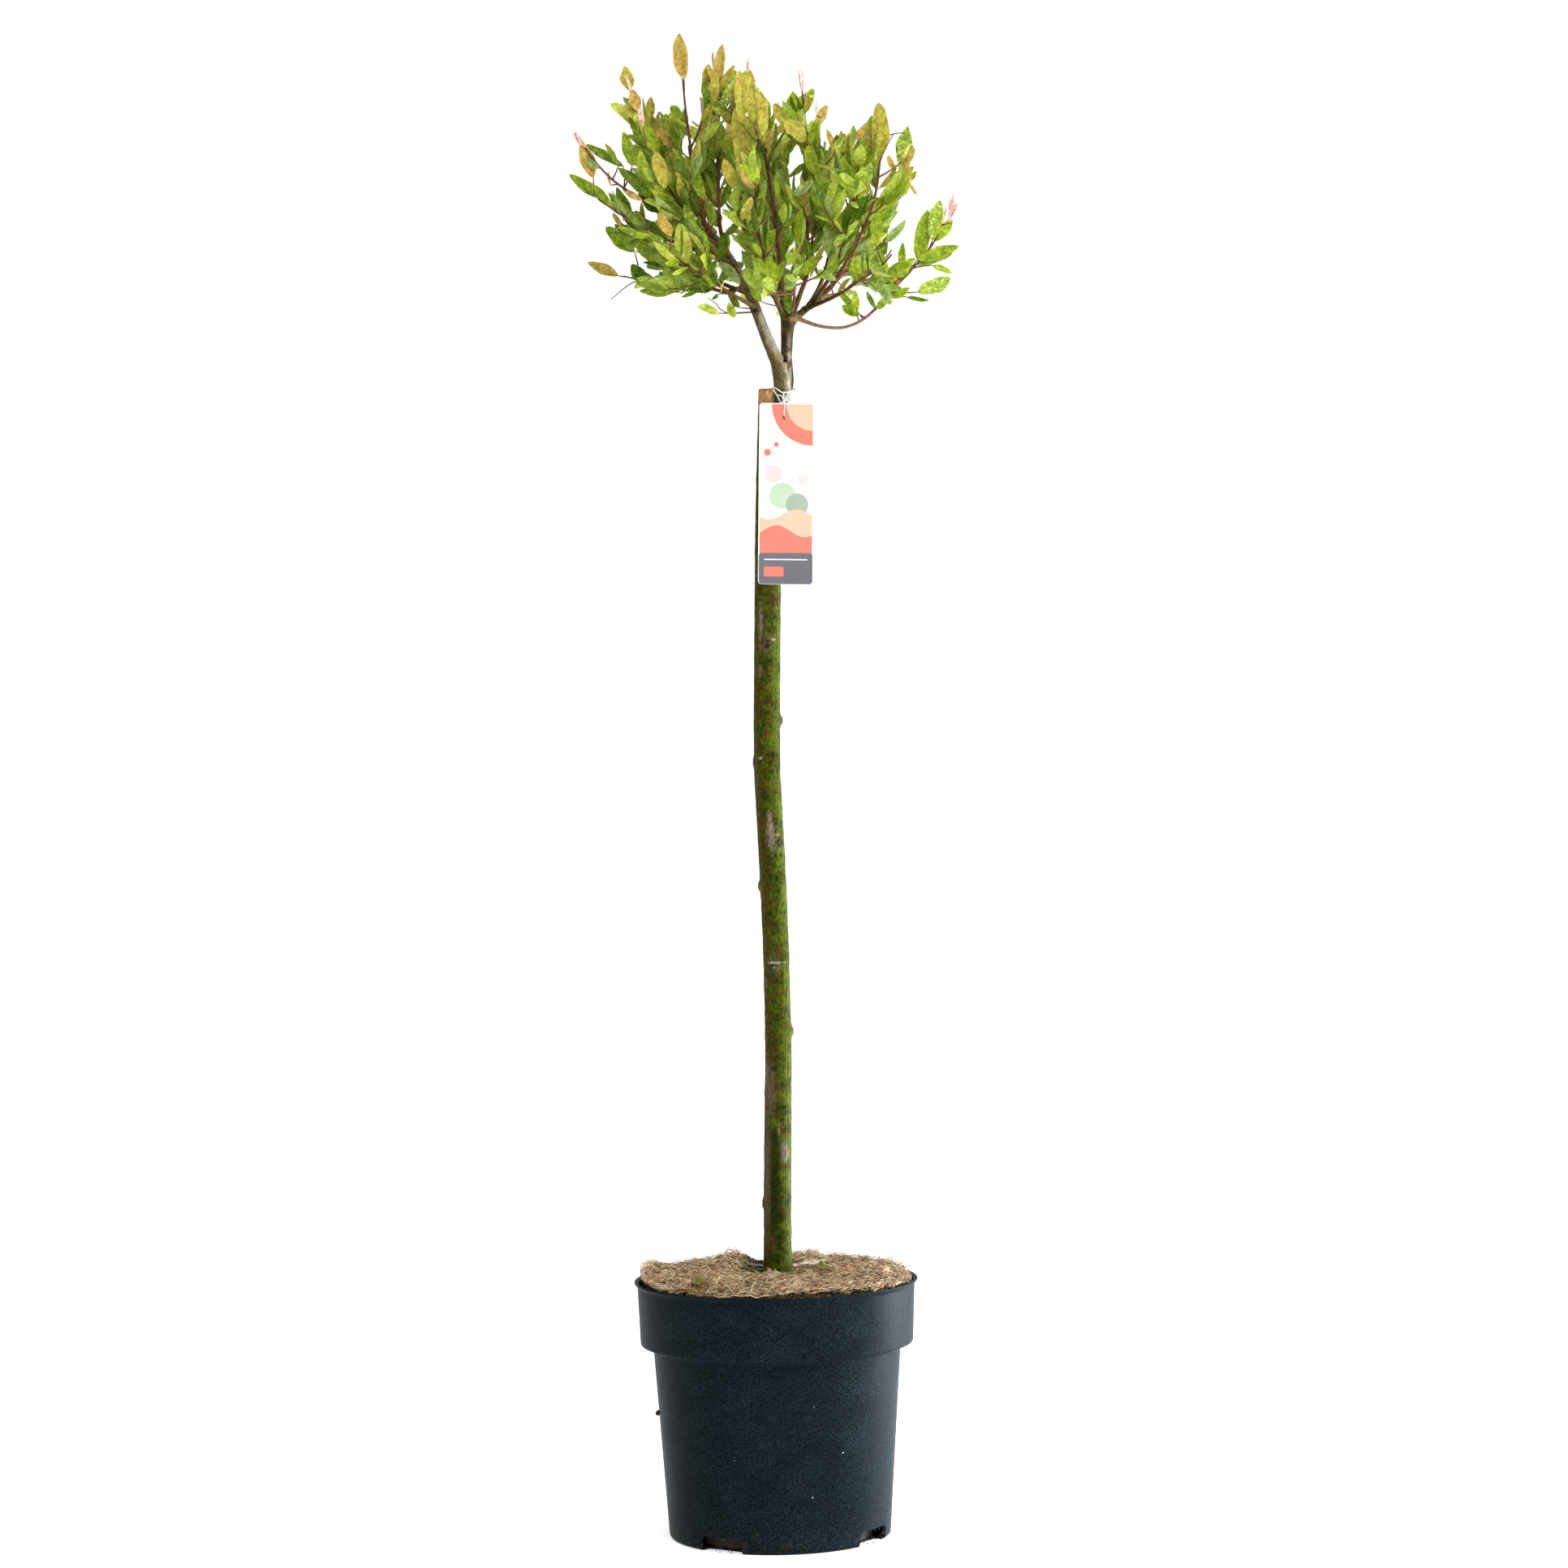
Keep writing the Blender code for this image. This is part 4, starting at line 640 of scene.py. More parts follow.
def leaf_material(name, dark, light, roughness, veins, speckle):
    """Leaf colour that drifts between two tints, with pale specks, raised veins and a soft gloss."""
    middle = [(a + b) / 2 for a, b in zip(dark, light)]
    material, tree, shader = principled(name, middle, roughness, 0.10)
    tint = ramp_node(tree, noise_node(tree, 80), [(0.39, dark), (0.60, light)])
    pale = map_range(tree, noise_node(tree, 360, 3.0), 0.53, 0.68, 0.0, speckle)
    flecked = colour_mix(tree, pale, tint, (0.72, 0.70, 0.30, 1))
    shade = map_range(tree, noise_node(tree, 240, 3.0), 0.32, 0.68, 0.66, 1.32)
    feed(tree, shader.inputs["Base Color"], colour_mix(tree, 1.0, flecked, shade, "MULTIPLY"))
    across, along, _ = split_axes(tree, node(tree, "ShaderNodeUVMap", uv_map="blade").outputs["UV"])
    slope = math_node(tree, "MULTIPLY_ADD", math_node(tree, "ABSOLUTE", across), VEIN_SLANT, along)
    wave = math_node(tree, "SINE", math_node(tree, "MULTIPLY", slope, VEIN_BEAT))
    add_bump(tree, shader, wave, veins, 0.00035)
    vary_roughness(tree, shader, noise_node(tree, 260, 3.0), roughness - 0.07, roughness + 0.10)
    shader.inputs["Subsurface Weight"].default_value = 0.12
    shader.inputs["Subsurface Radius"].default_value = (0.4, 0.8, 0.15)
    shader.inputs["Subsurface Scale"].default_value = 0.002
    return material


# Lines and shells


def smooth_line(line, step):
    """Points about a step apart on a smooth curve through the given ones (Catmull-Rom)."""
    known = [Vector(point) for point in line]
    ghosts = [2 * known[0] - known[1], *known, 2 * known[-1] - known[-2]]
    points = []
    for before, start, end, after in zip(ghosts, ghosts[1:], ghosts[2:], ghosts[3:]):
        pieces = max(1, round((end - start).length / step))
        for piece in range(pieces):
            t = piece / pieces
            square = 2 * before - 5 * start + 4 * end - after
            cube = 3 * start - before - 3 * end + after
            points.append(0.5 * (2 * start + (end - before) * t + square * t**2 + cube * t**3))
    points.append(known[-1])
    return points


def distances_along(points):
    total = [0.0]
    for before, after in zip(points, points[1:]):
        total.append(total[-1] + (after - before).length)
    return total


def directions(points):
    ways = []
    for index in range(len(points)):
        before = points[max(index - 1, 0)]
        after = points[min(index + 1, len(points) - 1)]
        ways.append((after - before).normalized())
    return ways


def side_axes(points):
    """(side, other side) at each point, carried along the line without twisting."""
    ways = directions(points)
    side = ways[0].orthogonal().normalized()
    axes = []
    for way in ways:
        side = (side - way * side.dot(way)).normalized()
        axes.append((side, way.cross(side)))
    return axes


def strip_faces(low, high, sides):
    """Faces between two rings of points whose numbers start at low and at high."""
    faces = []
    for side in range(sides):
        after = (side + 1) % sides
        faces.append((low + side, low + after, high + after, high + side))
    return faces


def ring_faces(rings, sides):
    """Side faces between rings of points numbered one after another, and a cap at each end."""
    faces = []
    for ring in range(rings - 1):
        faces += strip_faces(ring * sides, (ring + 1) * sides, sides)
    faces.append(tuple(reversed(range(sides))))
    faces.append(tuple(range((rings - 1) * sides, rings * sides)))
    return faces


def tube(points, radii, sides):
    shell = []
    for point, radius, (side, other) in zip(points, radii, side_axes(points)):
        for step in range(sides):
            angle = FULL_TURN * step / sides
            shell.append(point + (side * math.cos(angle) + other * math.sin(angle)) * radius)
    return shell, ring_faces(len(points), sides)


def wood_line(wood, step):
    """A limb's smooth centre line and its radius at each point."""
    points = smooth_line(wood.line, step)
    lengths = distances_along(points)
    knots = distances_along([Vector(point) for point in wood.line])
    places = [length / lengths[-1] * knots[-1] for length in lengths]
    return points, list(np.interp(places, knots, wood.radii))


def place_on(points, place):
    """(point, direction) at this distance along a line."""
    lengths = distances_along(points)
    ways = directions(points)
    slot = max(index for index in range(len(lengths) - 1) if lengths[index] <= place)
    share = (place - lengths[slot]) / (lengths[slot + 1] - lengths[slot])
    way = ways[slot].lerp(ways[slot + 1], share).normalized()
    return points[slot].lerp(points[slot + 1], share), way


def joined(shells):
    """Many (points, faces) shells as one."""
    points = []
    faces = []
    for shell_points, shell_faces in shells:
        start = len(points)
        points.extend(shell_points)
        faces.extend(tuple(corner + start for corner in face) for face in shell_faces)
    return points, faces


def add_piece(name, shell, materials, replaced=(), slots=None, smooth=50):
    """A piece of the object from a shell. slots gives each face's material, by number."""
    mesh = new_mesh(name, *shell)
    for material in materials:
        mesh.materials.append(material)
    if slots is not None:
        mesh.polygons.foreach_set("material_index", np.asarray(slots, np.int32))
    return finish_piece(name, mesh, replaced, smooth)


def finish_piece(name, mesh, replaced=(), smooth=50):
    mesh.shade_smooth()
    mesh.set_sharp_from_angle(angle=math.radians(smooth))
    made = new_object(name, mesh)
    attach(made, "root")
    if replaced:
        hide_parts(*replaced)
    return made


def paint(mesh, colours):
    """The mesh's own tint, one colour for each vertex."""
    layer = mesh.color_attributes.new("tint", "FLOAT_COLOR", "POINT")
    values = np.ones((len(mesh.vertices), 4), np.float32)
    values[:, :3] = colours
    layer.data.foreach_set("color", values.ravel())


def polar(radius, bearing, height=0.0):
    return Vector((radius * math.cos(bearing), radius * math.sin(bearing), height))


def turn_from(bearing, degrees):
    """How far a bearing has turned from another one that is given in degrees, the short way round."""
    return math.remainder(bearing - math.radians(degrees), FULL_TURN)


def prism_faces(count):
    """Faces of a shell whose first count points are one end and whose next count points are the other."""
    faces = [tuple(range(count)), tuple(reversed(range(count, 2 * count)))]
    for corner in range(count):
        after = (corner + 1) % count
        faces.append((corner, corner + count, after + count, after))
    return faces


def bump_shape(value, centre, width):
    return math.exp(-(((value - centre) / width) ** 2))


def blend(first, second, share):
    share = min(max(share, 0.0), 1.0)
    return [a + (b - a) * share for a, b in zip(first, second)]


# The pot


def pot_inner_radius(height):
    """The inside of the wall, following the foot, the tapering body and the wider band."""
    shelf = POT_STEP_HEIGHT + POT_WALL
    heights = [POT_BASE, shelf, shelf + POT_STEP_RISE, POT_HEIGHT - 0.003]
    radii = [POT_BODY_TOP_RADIUS - POT_WALL, POT_BAND_RADIUS - POT_WALL, POT_BAND_TOP_RADIUS - POT_WALL]
    return float(np.interp(height, heights, [POT_FOOT_RADIUS - 0.001, *radii]))


def pot_wall_radius(height):
    """The outside of the body, from the foot's edge up to the step."""
    radii = [POT_FOOT_RADIUS + 0.0022, POT_BODY_TOP_RADIUS]
    return float(np.interp(height, [0.003, POT_STEP_HEIGHT], radii))


def rounded(corners, radius, steps=4):
    """A profile of (radius, height) corners, each inner one rounded by an arc of chords."""
    points = [Vector(corners[0])]
    for before, corner, after in zip(corners, corners[1:], corners[2:]):
        corner = Vector(corner)
        back = Vector(before) - corner
        ahead = Vector(after) - corner
        reach = min(radius, back.length * 0.45, ahead.length * 0.45)
        start = corner + back.normalized() * reach
        end = corner + ahead.normalized() * reach
        for step in range(steps + 1):
            t = step / steps
            points.append(start.lerp(corner, t).lerp(corner.lerp(end, t), t))
    points.append(Vector(corners[-1]))
    return points


def make_pot():
    """The thin-walled pot turned with 160 segments: flared lip, wide band, step, foot and notches."""
    step = POT_STEP_HEIGHT
    shelf = step + POT_WALL
    corners = [
        (0.0005, 0),
        (POT_FOOT_RADIUS, 0),
        (POT_FOOT_RADIUS + 0.0022, 0.003),
        (POT_BODY_TOP_RADIUS, step),
        (POT_BAND_RADIUS, step + POT_STEP_RISE),
        (POT_BAND_TOP_RADIUS, POT_HEIGHT - 0.0046),
        (POT_RIM_RADIUS, POT_HEIGHT - 0.0016),
        (POT_RIM_RADIUS - 0.0004, POT_HEIGHT),
        (pot_inner_radius(POT_HEIGHT) + 0.0008, POT_HEIGHT - 0.0012),
        (pot_inner_radius(POT_HEIGHT - 0.003), POT_HEIGHT - 0.003),
        (pot_inner_radius(shelf + POT_STEP_RISE), shelf + POT_STEP_RISE),
        (pot_inner_radius(shelf), shelf),
        (pot_inner_radius(POT_BASE), POT_BASE),
        (0.0005, POT_BASE),
    ]
    profile = rounded(corners, 0.0016)
    segments = 160
    points = []
    for radius, height in profile:
        for turn in range(segments):
            angle = FULL_TURN * turn / segments
            sway = 1 + 0.0016 * math.sin(2 * angle + 0.6) * height / POT_HEIGHT
            x, y = radius * math.cos(angle) * sway, radius * math.sin(angle) * sway
            points.append(Vector((x, y, height)))
    wall = (points, ring_faces(len(profile), segments))
    pot = add_piece("pot_wall", wall, [pot_plastic()], ["pot"])
    for bearing in NOTCH_BEARINGS:
        cutter = notch_cutter(bearing)
        modifier = pot.modifiers.new("notch", "BOOLEAN")
        modifier.object = cutter
        mesh = applied(pot)
        pot.modifiers.remove(modifier)
        pot.data = mesh
        bpy.data.objects.remove(cutter)
    pot.data.set_sharp_from_angle(angle=math.radians(38))


def notch_cutter(bearing):
    """A block with rounded upper corners that opens one drainage notch in the foot."""
    half = NOTCH_ANGLE / 2
    arch = [(-1.0, -0.3), (-1.0, 0.62), (-0.94, 0.88), (-0.80, 1.0)]
    arch += [(-across, up) for across, up in reversed(arch)]
    points = []
    for radius in (NOTCH_INNER_RADIUS, POT_FOOT_RADIUS + 0.02):
        points += [polar(radius, bearing + half * across, NOTCH_HEIGHT * up) for across, up in arch]
    mesh = new_mesh("notch", points, prism_faces(len(arch)))
    work = bmesh.new()
    work.from_mesh(mesh)
    bmesh.ops.recalc_face_normals(work, faces=work.faces)
    work.to_mesh(mesh)
    work.free()
    return new_object("notch", mesh)


# The coir mat and the soil round it


# The height of the mat's edge over its level, in mm, at bearings in degrees
MAT_EDGE = [
    (-180, 3.0), (-172, 0.5), (-160, -2.5), (-140, -5.0), (-110, -5.5), (-92, -3.5), (-70, -2.0),
    (-50, -2.5), (-38, -4.0), (-20, -6.5), (0, -8.0), (7, -7.5), (18, -6.5), (25, -3.2), (33, -2.2),
    (41, -3.4), (48, -1.8), (56, -1.5), (60, -2.8), (65, -1.2), (68.5, -4.0), (71, 1.0), (75, 1.0),
    (81, -1.0), (90, -3.0), (94.5, -0.3), (97.5, 0.2), (101, 2.0), (103, 3.2), (105, 3.8), (107, 4.0),
    (111, 3.4), (117, -2.3), (122, -5.4), (130, -6.5), (139, -5.5), (148, -5.0), (154, -3.4),
    (161, 3.0), (172, 6.0), (180, 2.0),
]
# The hollow between the raised flap and the stem, as (from, to) along x and along y
HOLLOW_LEFT = (-0.0340, -0.0090)
HOLLOW_RIGHT = (-0.002, 0.010)
HOLLOW_FRONT = (-0.024, -0.010)
# The mossy part of the felt in that hollow
MOSS_LEFT = -0.0350
MOSS_RIGHT = -0.0060
MOSS_FRONT = -0.0180
# The pale strip of husk and the two green scraps: pixel, half sizes, how steeply they stand up
HUSK = ((996, 1559.5), (0.0170, 0.0022), 1.0)
SCRAPS = {
    "left": ((862, 1583.5), (0.0058, 0.0036), 0.9),
    "right": ((1013.5, 1566.5), (0.0055, 0.0034), 0.9),
}


def ramp(value, ends):
    return min(max((value - ends[0]) / (ends[1] - ends[0]), 0.0), 1.0)


def in_hollow(x, y):
    """How far a place lies in the hollow at the slit, from 0 to 1."""
    return ramp(x, HOLLOW_LEFT) * (1 - ramp(x, HOLLOW_RIGHT)) * ramp(y, HOLLOW_FRONT)


def mat_top(radius, bearing):
    """The mat's surface: its edge rises and falls, and it drops to the hollow by the stem."""
    degrees = math.degrees(math.remainder(bearing, FULL_TURN))
    edge = float(np.interp(degrees, [stop[0] for stop in MAT_EDGE], [stop[1] for stop in MAT_EDGE])) / 1000
    inner = 0.112 if degrees < 0 else 0.085
    level = MAT_LEVEL + edge * ramp(radius, (inner, 0.130)) ** 1.5
    level += 0.0010 * math.sin(3 * bearing + 0.7) + 0.0008 * math.sin(7 * bearing + 40 * radius)
    level -= 0.0030 * bump_shape(radius, MAT_HOLE_RADIUS, 0.016)
    return level - 0.0085 * in_hollow(radius * math.cos(bearing), radius * math.sin(bearing))


def mat_point(radius, bearing):
    """A point on the felt's rough surface."""
    lumps = polar(radius, bearing)
    rough = 0.0030 * noise.noise(lumps * 75) + 0.0020 * noise.noise(lumps * 240)
    return lumps + UP * (mat_top(radius, bearing) - 0.0012 + rough)


def on_mat(x, y, lift=0.0):
    return mat_point(math.hypot(x, y), math.atan2(y, x)) + UP * lift


def is_mossy(place):
    """Whether a place lies in the mossy part of the hollow, which has a ragged edge."""
    ragged = 0.006 * noise.noise(Vector((place.x, place.y, 0)) * 90)
    return MOSS_LEFT < place.x + ragged < MOSS_RIGHT and place.y > MOSS_FRONT + ragged


def mat_spot(pixel):
    """The place on the mat that the photograph shows at a pixel."""
    flat = photo_point(pixel, 0)
    spread = (CAMERA_HEIGHT - MAT_LEVEL) / (CAMERA_HEIGHT - flat.z)
    return photo_point(pixel, CAMERA_DISTANCE * (spread - 1))


def make_coir_mat():
    """A thick felt disc with a hole for the stem and one slit, and fibres lying and curling on it."""
    turns = 260
    radii = [MAT_HOLE_RADIUS + (MAT_RADIUS - 0.003 - MAT_HOLE_RADIUS) * step / 42 for step in range(43)]
    points = []
    for step in range(turns + 1):
        bearing = SLIT_BEARING + FULL_TURN * step / turns
        across = Vector((-math.sin(bearing), math.cos(bearing), 0))
        aside = across * SLIT_WIDTH / 2 * ((step == 0) - (step == turns))
        frayed = 0.0022 * noise.noise(Vector((9 * math.cos(bearing), 9 * math.sin(bearing), 3)))
        for ring, radius in enumerate(radii):
            reach = radius + frayed * (ring / (len(radii) - 1)) ** 4
            points.append(mat_point(reach, bearing) + aside)
        rim = points[-1].copy()
        rim.z = MIX_LEVEL + 0.001
        points.append(rim)
        hub = points[-1 - len(radii)].copy()
        hub.z = MIX_LEVEL + MIX_CROWN + 0.001
        points.append(hub)
    column = len(radii) + 2
    faces = []
    for step in range(turns):
        here = step * column
        after = here + column
        for ring in range(len(radii)):
            faces.append((here + ring, after + ring, after + ring + 1, here + ring + 1))
        faces.append((here + column - 1, here, after, after + column - 1)[::-1])
        faces.append((here + column - 2, after + column - 2, after + column - 1, here + column - 1))
    for start, flip in ((0, 1), (turns * column, -1)):
        faces.append(tuple(range(start, start + column))[::flip])
    stops = [(0.36, (0.034, 0.016, 0.004)), (0.50, (0.140, 0.082, 0.030)), (0.64, (0.36, 0.24, 0.115))]
    felt = mottled("coir_felt", stops, 420, 0.92, 0.0012, specular=0.1)
    stops = [(0.38, (0.003, 0.003, 0.001)), (0.54, (0.026, 0.031, 0.001)), (0.72, (0.088, 0.080, 0.010))]
    moss = mottled("mossy_felt", stops, 380, 0.9, 0.001, specular=0.03)
    slots = [int(is_mossy(sum((points[corner] for corner in face[:4]), Vector()) / 4)) for face in faces]
    add_piece("coir_felt", (points, faces), [felt, moss], ["coir_mat"], slots=slots, smooth=70)
    fibres = [
        ("coir_straw", (0.95, 0.77, 0.49), 5000, 11),
        ("coir_tan", (0.60, 0.345, 0.165), 4700, 12),
        ("coir_brown", (0.052, 0.021, 0.004), 5000, 13),
    ]
    for name, colour, count, seed in fibres:
        make_fibres(name, colour, count, seed)


def hides(point, spot, wide):
    """Whether a fibre's point would lie on a patch of the mat or stand in front of it."""
    return abs(point.x - spot.x) < wide and -0.022 < point.y - spot.y < 0.004


def make_fibres(name, colour, count, seed):
    """Loose curled fibres: most lie in the felt's surface, some stand out of it."""
    draw = random.Random(seed)
    bare = [(mat_spot(pixel), size[0] + 0.002) for pixel, size, _ in (HUSK, *SCRAPS.values())]
    knots = 5
    shells = []
    for _ in range(count):
        radius = math.sqrt(draw.uniform(MAT_HOLE_RADIUS**2, (MAT_RADIUS - 0.001) ** 2))
        bearing = draw.uniform(0, FULL_TURN)
        if abs(math.remainder(bearing - SLIT_BEARING, FULL_TURN)) * radius < SLIT_WIDTH * 0.6:
            continue
        length = draw.uniform(0.008, 0.030)
        heading = draw.uniform(0, FULL_TURN)
        curl = draw.gauss(0, 0.14)
        arch = draw.uniform(0.0, 0.0020) + (draw.random() < 0.15) * draw.uniform(0.001, 0.0040)
        start_lift = draw.uniform(-0.0006, 0.0008)
        end_lift = start_lift + (draw.random() < 0.55) * draw.uniform(0.001, 0.0078)
        place = polar(radius, bearing)
        line = []
        for knot in range(knots):
            t = knot / (knots - 1)
            reach = place.to_2d().length
            angle = math.atan2(place.y, place.x)
            inside = min(max(reach, MAT_HOLE_RADIUS), MAT_RADIUS + 0.0015)
            lift = start_lift + (end_lift - start_lift) * t + arch * 4 * t * (1 - t)
            point = mat_point(inside, angle)
            line.append(point + UP * lift)
            heading += curl
            place = point.to_2d().to_3d() + polar(1, heading) * length / (knots - 1)
        if sum(is_mossy(point) for point in line) > 1 + 3 * (draw.random() < 0.12):
            continue
        if any(hides(point, spot, wide) for point in line for spot, wide in bare):
            continue
        thick = draw.uniform(0.00012, 0.00030)
        shells.append(tube(line, [thick, thick * 1.1, thick, thick * 0.9, thick * 0.5], 3))
    stops = [(0.3, [part * 0.75 for part in colour]), (0.7, [part * 1.2 for part in colour])]
    add_piece(name, joined(shells), [mottled(name, stops, 60, 0.78, 0.0001)])


def mat_patch(name, spot, material, steps):
    """A ragged oval sheet on the mat that stands up towards the back."""
    pixel, size, rise = spot
    centre = mat_spot(pixel)
    points = [on_mat(centre.x, centre.y, 0.0025 + rise * size[1])]
    turns, rings = steps
    for ring in range(1, rings + 1):
        for step in range(turns):
            angle = FULL_TURN * step / turns
            ragged = noise.noise(Vector((math.cos(angle) * 2, math.sin(angle) * 2, centre.x * 90)))
            reach = ring / rings * (1 + 0.30 * ragged)
            back = size[1] * reach * math.sin(angle)
            x = centre.x + size[0] * reach * math.cos(angle)
            points.append(on_mat(x, centre.y + back, 0.0025 + rise * (size[1] + back)))
    faces = [(0, 1 + step, 1 + (step + 1) % turns) for step in range(turns)]
    for ring in range(rings - 1):
        low = 1 + ring * turns
        for step in range(turns):
            after = (step + 1) % turns
            faces.append((low + step, low + turns + step, low + turns + after, low + after))
    add_piece(name, (points, faces), [material], smooth=70)


def make_mat_details():
    """A pale strip of husk and two green scraps on the mat."""
    husk = mottled("pale_husk", [(0.35, (0.40, 0.27, 0.18)), (0.6, (0.84, 0.67, 0.53))], 420, 0.8, 0.0006)
    mat_patch("mat_husk", HUSK, husk, (36, 8))
    stops = [(0.3, (0.110, 0.115, 0.003)), (0.7, (0.21, 0.20, 0.012))]
    scrap = mottled("leaf_scrap", stops, 300, 0.6, 0.0002)
    for name, spot in SCRAPS.items():
        mat_patch("mat_scrap_" + name, spot, scrap, (18, 6))


# Where the photograph shows the pot's marks: pixels, about how deep the specks lie, and each one's radius
SOIL_BEAD = (811.0, 1741)
SOIL_HAIR = ((1098, 1866), (1101, 1868), (1104, 1867.5))
SPECK_DEPTH = -0.115
PALE_SPECKS = {(1039, 1793): 0.0011, (1001, 1846): 0.0010, (1003, 1733): 0.0005, (905, 1801): 0.0004}


def make_pot_marks():
    """Dried soil round the notches and up the right side, a bead and a hair of it, and four pale specks."""
    draw = random.Random(51)
    shells = []
    for _ in range(240):
        bearing = draw.choice(NOTCH_BEARINGS) + draw.gauss(0, math.radians(11))
        height = abs(draw.gauss(0, 0.006)) + 0.0008
        radius = POT_FOOT_RADIUS + 0.0004 + 0.0022 * min(1, height / 0.003)
        size = draw.uniform(0.0003, 0.0010)
        shells.append(crumb(draw, polar(radius, bearing, height), size))
    for _ in range(46):
        bearing = math.radians(draw.gauss(-24, 5))
        height = draw.uniform(0.004, 0.120)
        place = polar(pot_wall_radius(height), bearing, height)
        shells.append(crumb(draw, place, draw.uniform(0.0003, 0.0009)))
    shells.append(crumb(draw, photo_point(SOIL_BEAD, -0.004), 0.0034, (0.95, 1.05)))
    hair = [photo_point(pixel, 0.004) for pixel in SOIL_HAIR]
    shells.append(tube(hair, [0.0004, 0.0003, 0.0002], 4))
    stops = [(0.3, (0.020, 0.013, 0.009)), (0.7, (0.10, 0.068, 0.045))]
    dirt = mottled("dried_soil", stops, 300, 0.95, 0.0003)
    add_piece("pot_dirt", joined(shells), [dirt])
    specks = []
    for pixel, size in PALE_SPECKS.items():
        flat = photo_point(pixel, SPECK_DEPTH)
        depth = -math.sqrt(pot_wall_radius(flat.z) ** 2 - flat.x**2)
        specks.append(crumb(draw, Vector((flat.x, depth, flat.z)), size))
    grit = mottled("perlite", [(0.3, (0.55, 0.55, 0.53)), (0.7, (0.75, 0.75, 0.73))], 300, 0.9, 0.0001)
    add_piece("pot_specks", joined(specks), [grit])


def crumb(draw, place, size, heights=(0.5, 0.9)):
    """A small angular lump of soil."""
    work = bmesh.new()
    bmesh.ops.create_icosphere(work, subdivisions=1, radius=size)
    shape = Vector((draw.uniform(0.7, 1.3), draw.uniform(0.7, 1.3), draw.uniform(*heights)))
    turn = Matrix.Rotation(draw.uniform(0, 6.28), 3, "Z")
    points = []
    for vertex in work.verts:
        spot = vertex.co * 2.1 / size + Vector((draw.random() * 3, 0, place.x * 900))
        rough = 1 + 0.30 * noise.noise(spot)
        corner = Vector([part * scale * rough for part, scale in zip(vertex.co, shape)])
        points.append(place + turn @ corner)
    faces = [tuple(vertex.index for vertex in face.verts) for face in work.faces]
    work.free()
    return points, faces


def make_soil():
    """Dark mix shows in the gap round the mat and where the felt has lifted off it; a dark sheet of it on
    the pot's inner wall at the back is painted shade.
    """
    stops = [(0.3, (0.010, 0.006, 0.004)), (0.6, (0.035, 0.021, 0.013)), (0.8, (0.080, 0.050, 0.030))]
    soil = mottled("soil", stops, 300, 0.9, 0.001)
    node_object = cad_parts["potting_mix"]
    node_object.data.materials.clear()
    node_object.data.materials.append(soil)
    draw = random.Random(21)
    shells = []
    for _ in range(620):
        bearing = draw.uniform(0, FULL_TURN)
        radius = draw.uniform(MAT_RADIUS - 0.003, POT_RIM_RADIUS - 0.0072)
        size = draw.uniform(0.0007, 0.0021)
        heap = 0.006 * bump_shape(turn_from(bearing, -15), 0, 0.5)
        heap += 0.005 * bump_shape(turn_from(bearing, 190), 0, 0.4)
        height = MIX_LEVEL + draw.uniform(0.0, 0.004 + heap)
        shells.append(crumb(draw, polar(radius, bearing, height), size))
    for _ in range(420):
        bearing = draw.gauss(math.radians(-68), 0.34)
        radius = draw.uniform(MAT_RADIUS - 0.007, MAT_RADIUS + 0.001)
        size = draw.uniform(0.0005, 0.0015)
        shells.append(crumb(draw, mat_point(radius, bearing) + UP * size * 0.5, size))
    for _ in range(520):
        x, y = draw.uniform(-0.033, 0.006), draw.uniform(0.060, 0.137)
        size = draw.uniform(0.0009, 0.0024)
        height = draw.uniform(MIX_LEVEL + 0.002, MIX_LEVEL + 0.0105)
        shells.append(crumb(draw, Vector((x, y, max(height, on_mat(x, y, -0.001).z))), size))
    # A dark sheet of soil against the pot's inner wall at the back: painted shade where the wall lies in
    # shadow
    bearings = [math.radians(87 + 0.5 * step) for step in range(34)]
    levels = [MIX_LEVEL + 0.0020 + 0.0012 * step for step in range(8)]
    wall_shade_sheet = []
    for level in levels:
        for bearing in bearings:
            around = polar(1, bearing)
            reach = pot_inner_radius(level) - 0.0012 + 0.0008 * noise.noise(around * 90)
            wall_shade_sheet.append(around * reach + UP * level)
    wide = len(bearings)
    faces = [
        (row * wide + step, row * wide + step + 1, (row + 1) * wide + step + 1, (row + 1) * wide + step)
        for row in range(len(levels) - 1)
        for step in range(wide - 1)
    ]
    shells.append((wall_shade_sheet, faces))
    add_piece("soil_crumbs_and_wall_shade", joined(shells), [soil])


# The wood


def trunk_radius(height):
    """Nearly even, a little thinner at the top cut and flared where it leaves the mix."""
    taper = 0.0015 * max(0.0, (height - 1.0) / (TRUNK_TOP - 1.0))
    taper += 0.0007 * ramp(height, (0.40, 0.52))
    flare = 0.0020 * math.exp(-(height - TRUNK_LINE[0][2]) / 0.022)
    return TRUNK_RADIUS - taper + flare


def trunk_centre(height):
    heights = [point[2] for point in TRUNK_LINE]
    across = [float(np.interp(height, heights, [point[axis] for point in TRUNK_LINE])) for axis in (0, 1)]
    return Vector((*across, height))


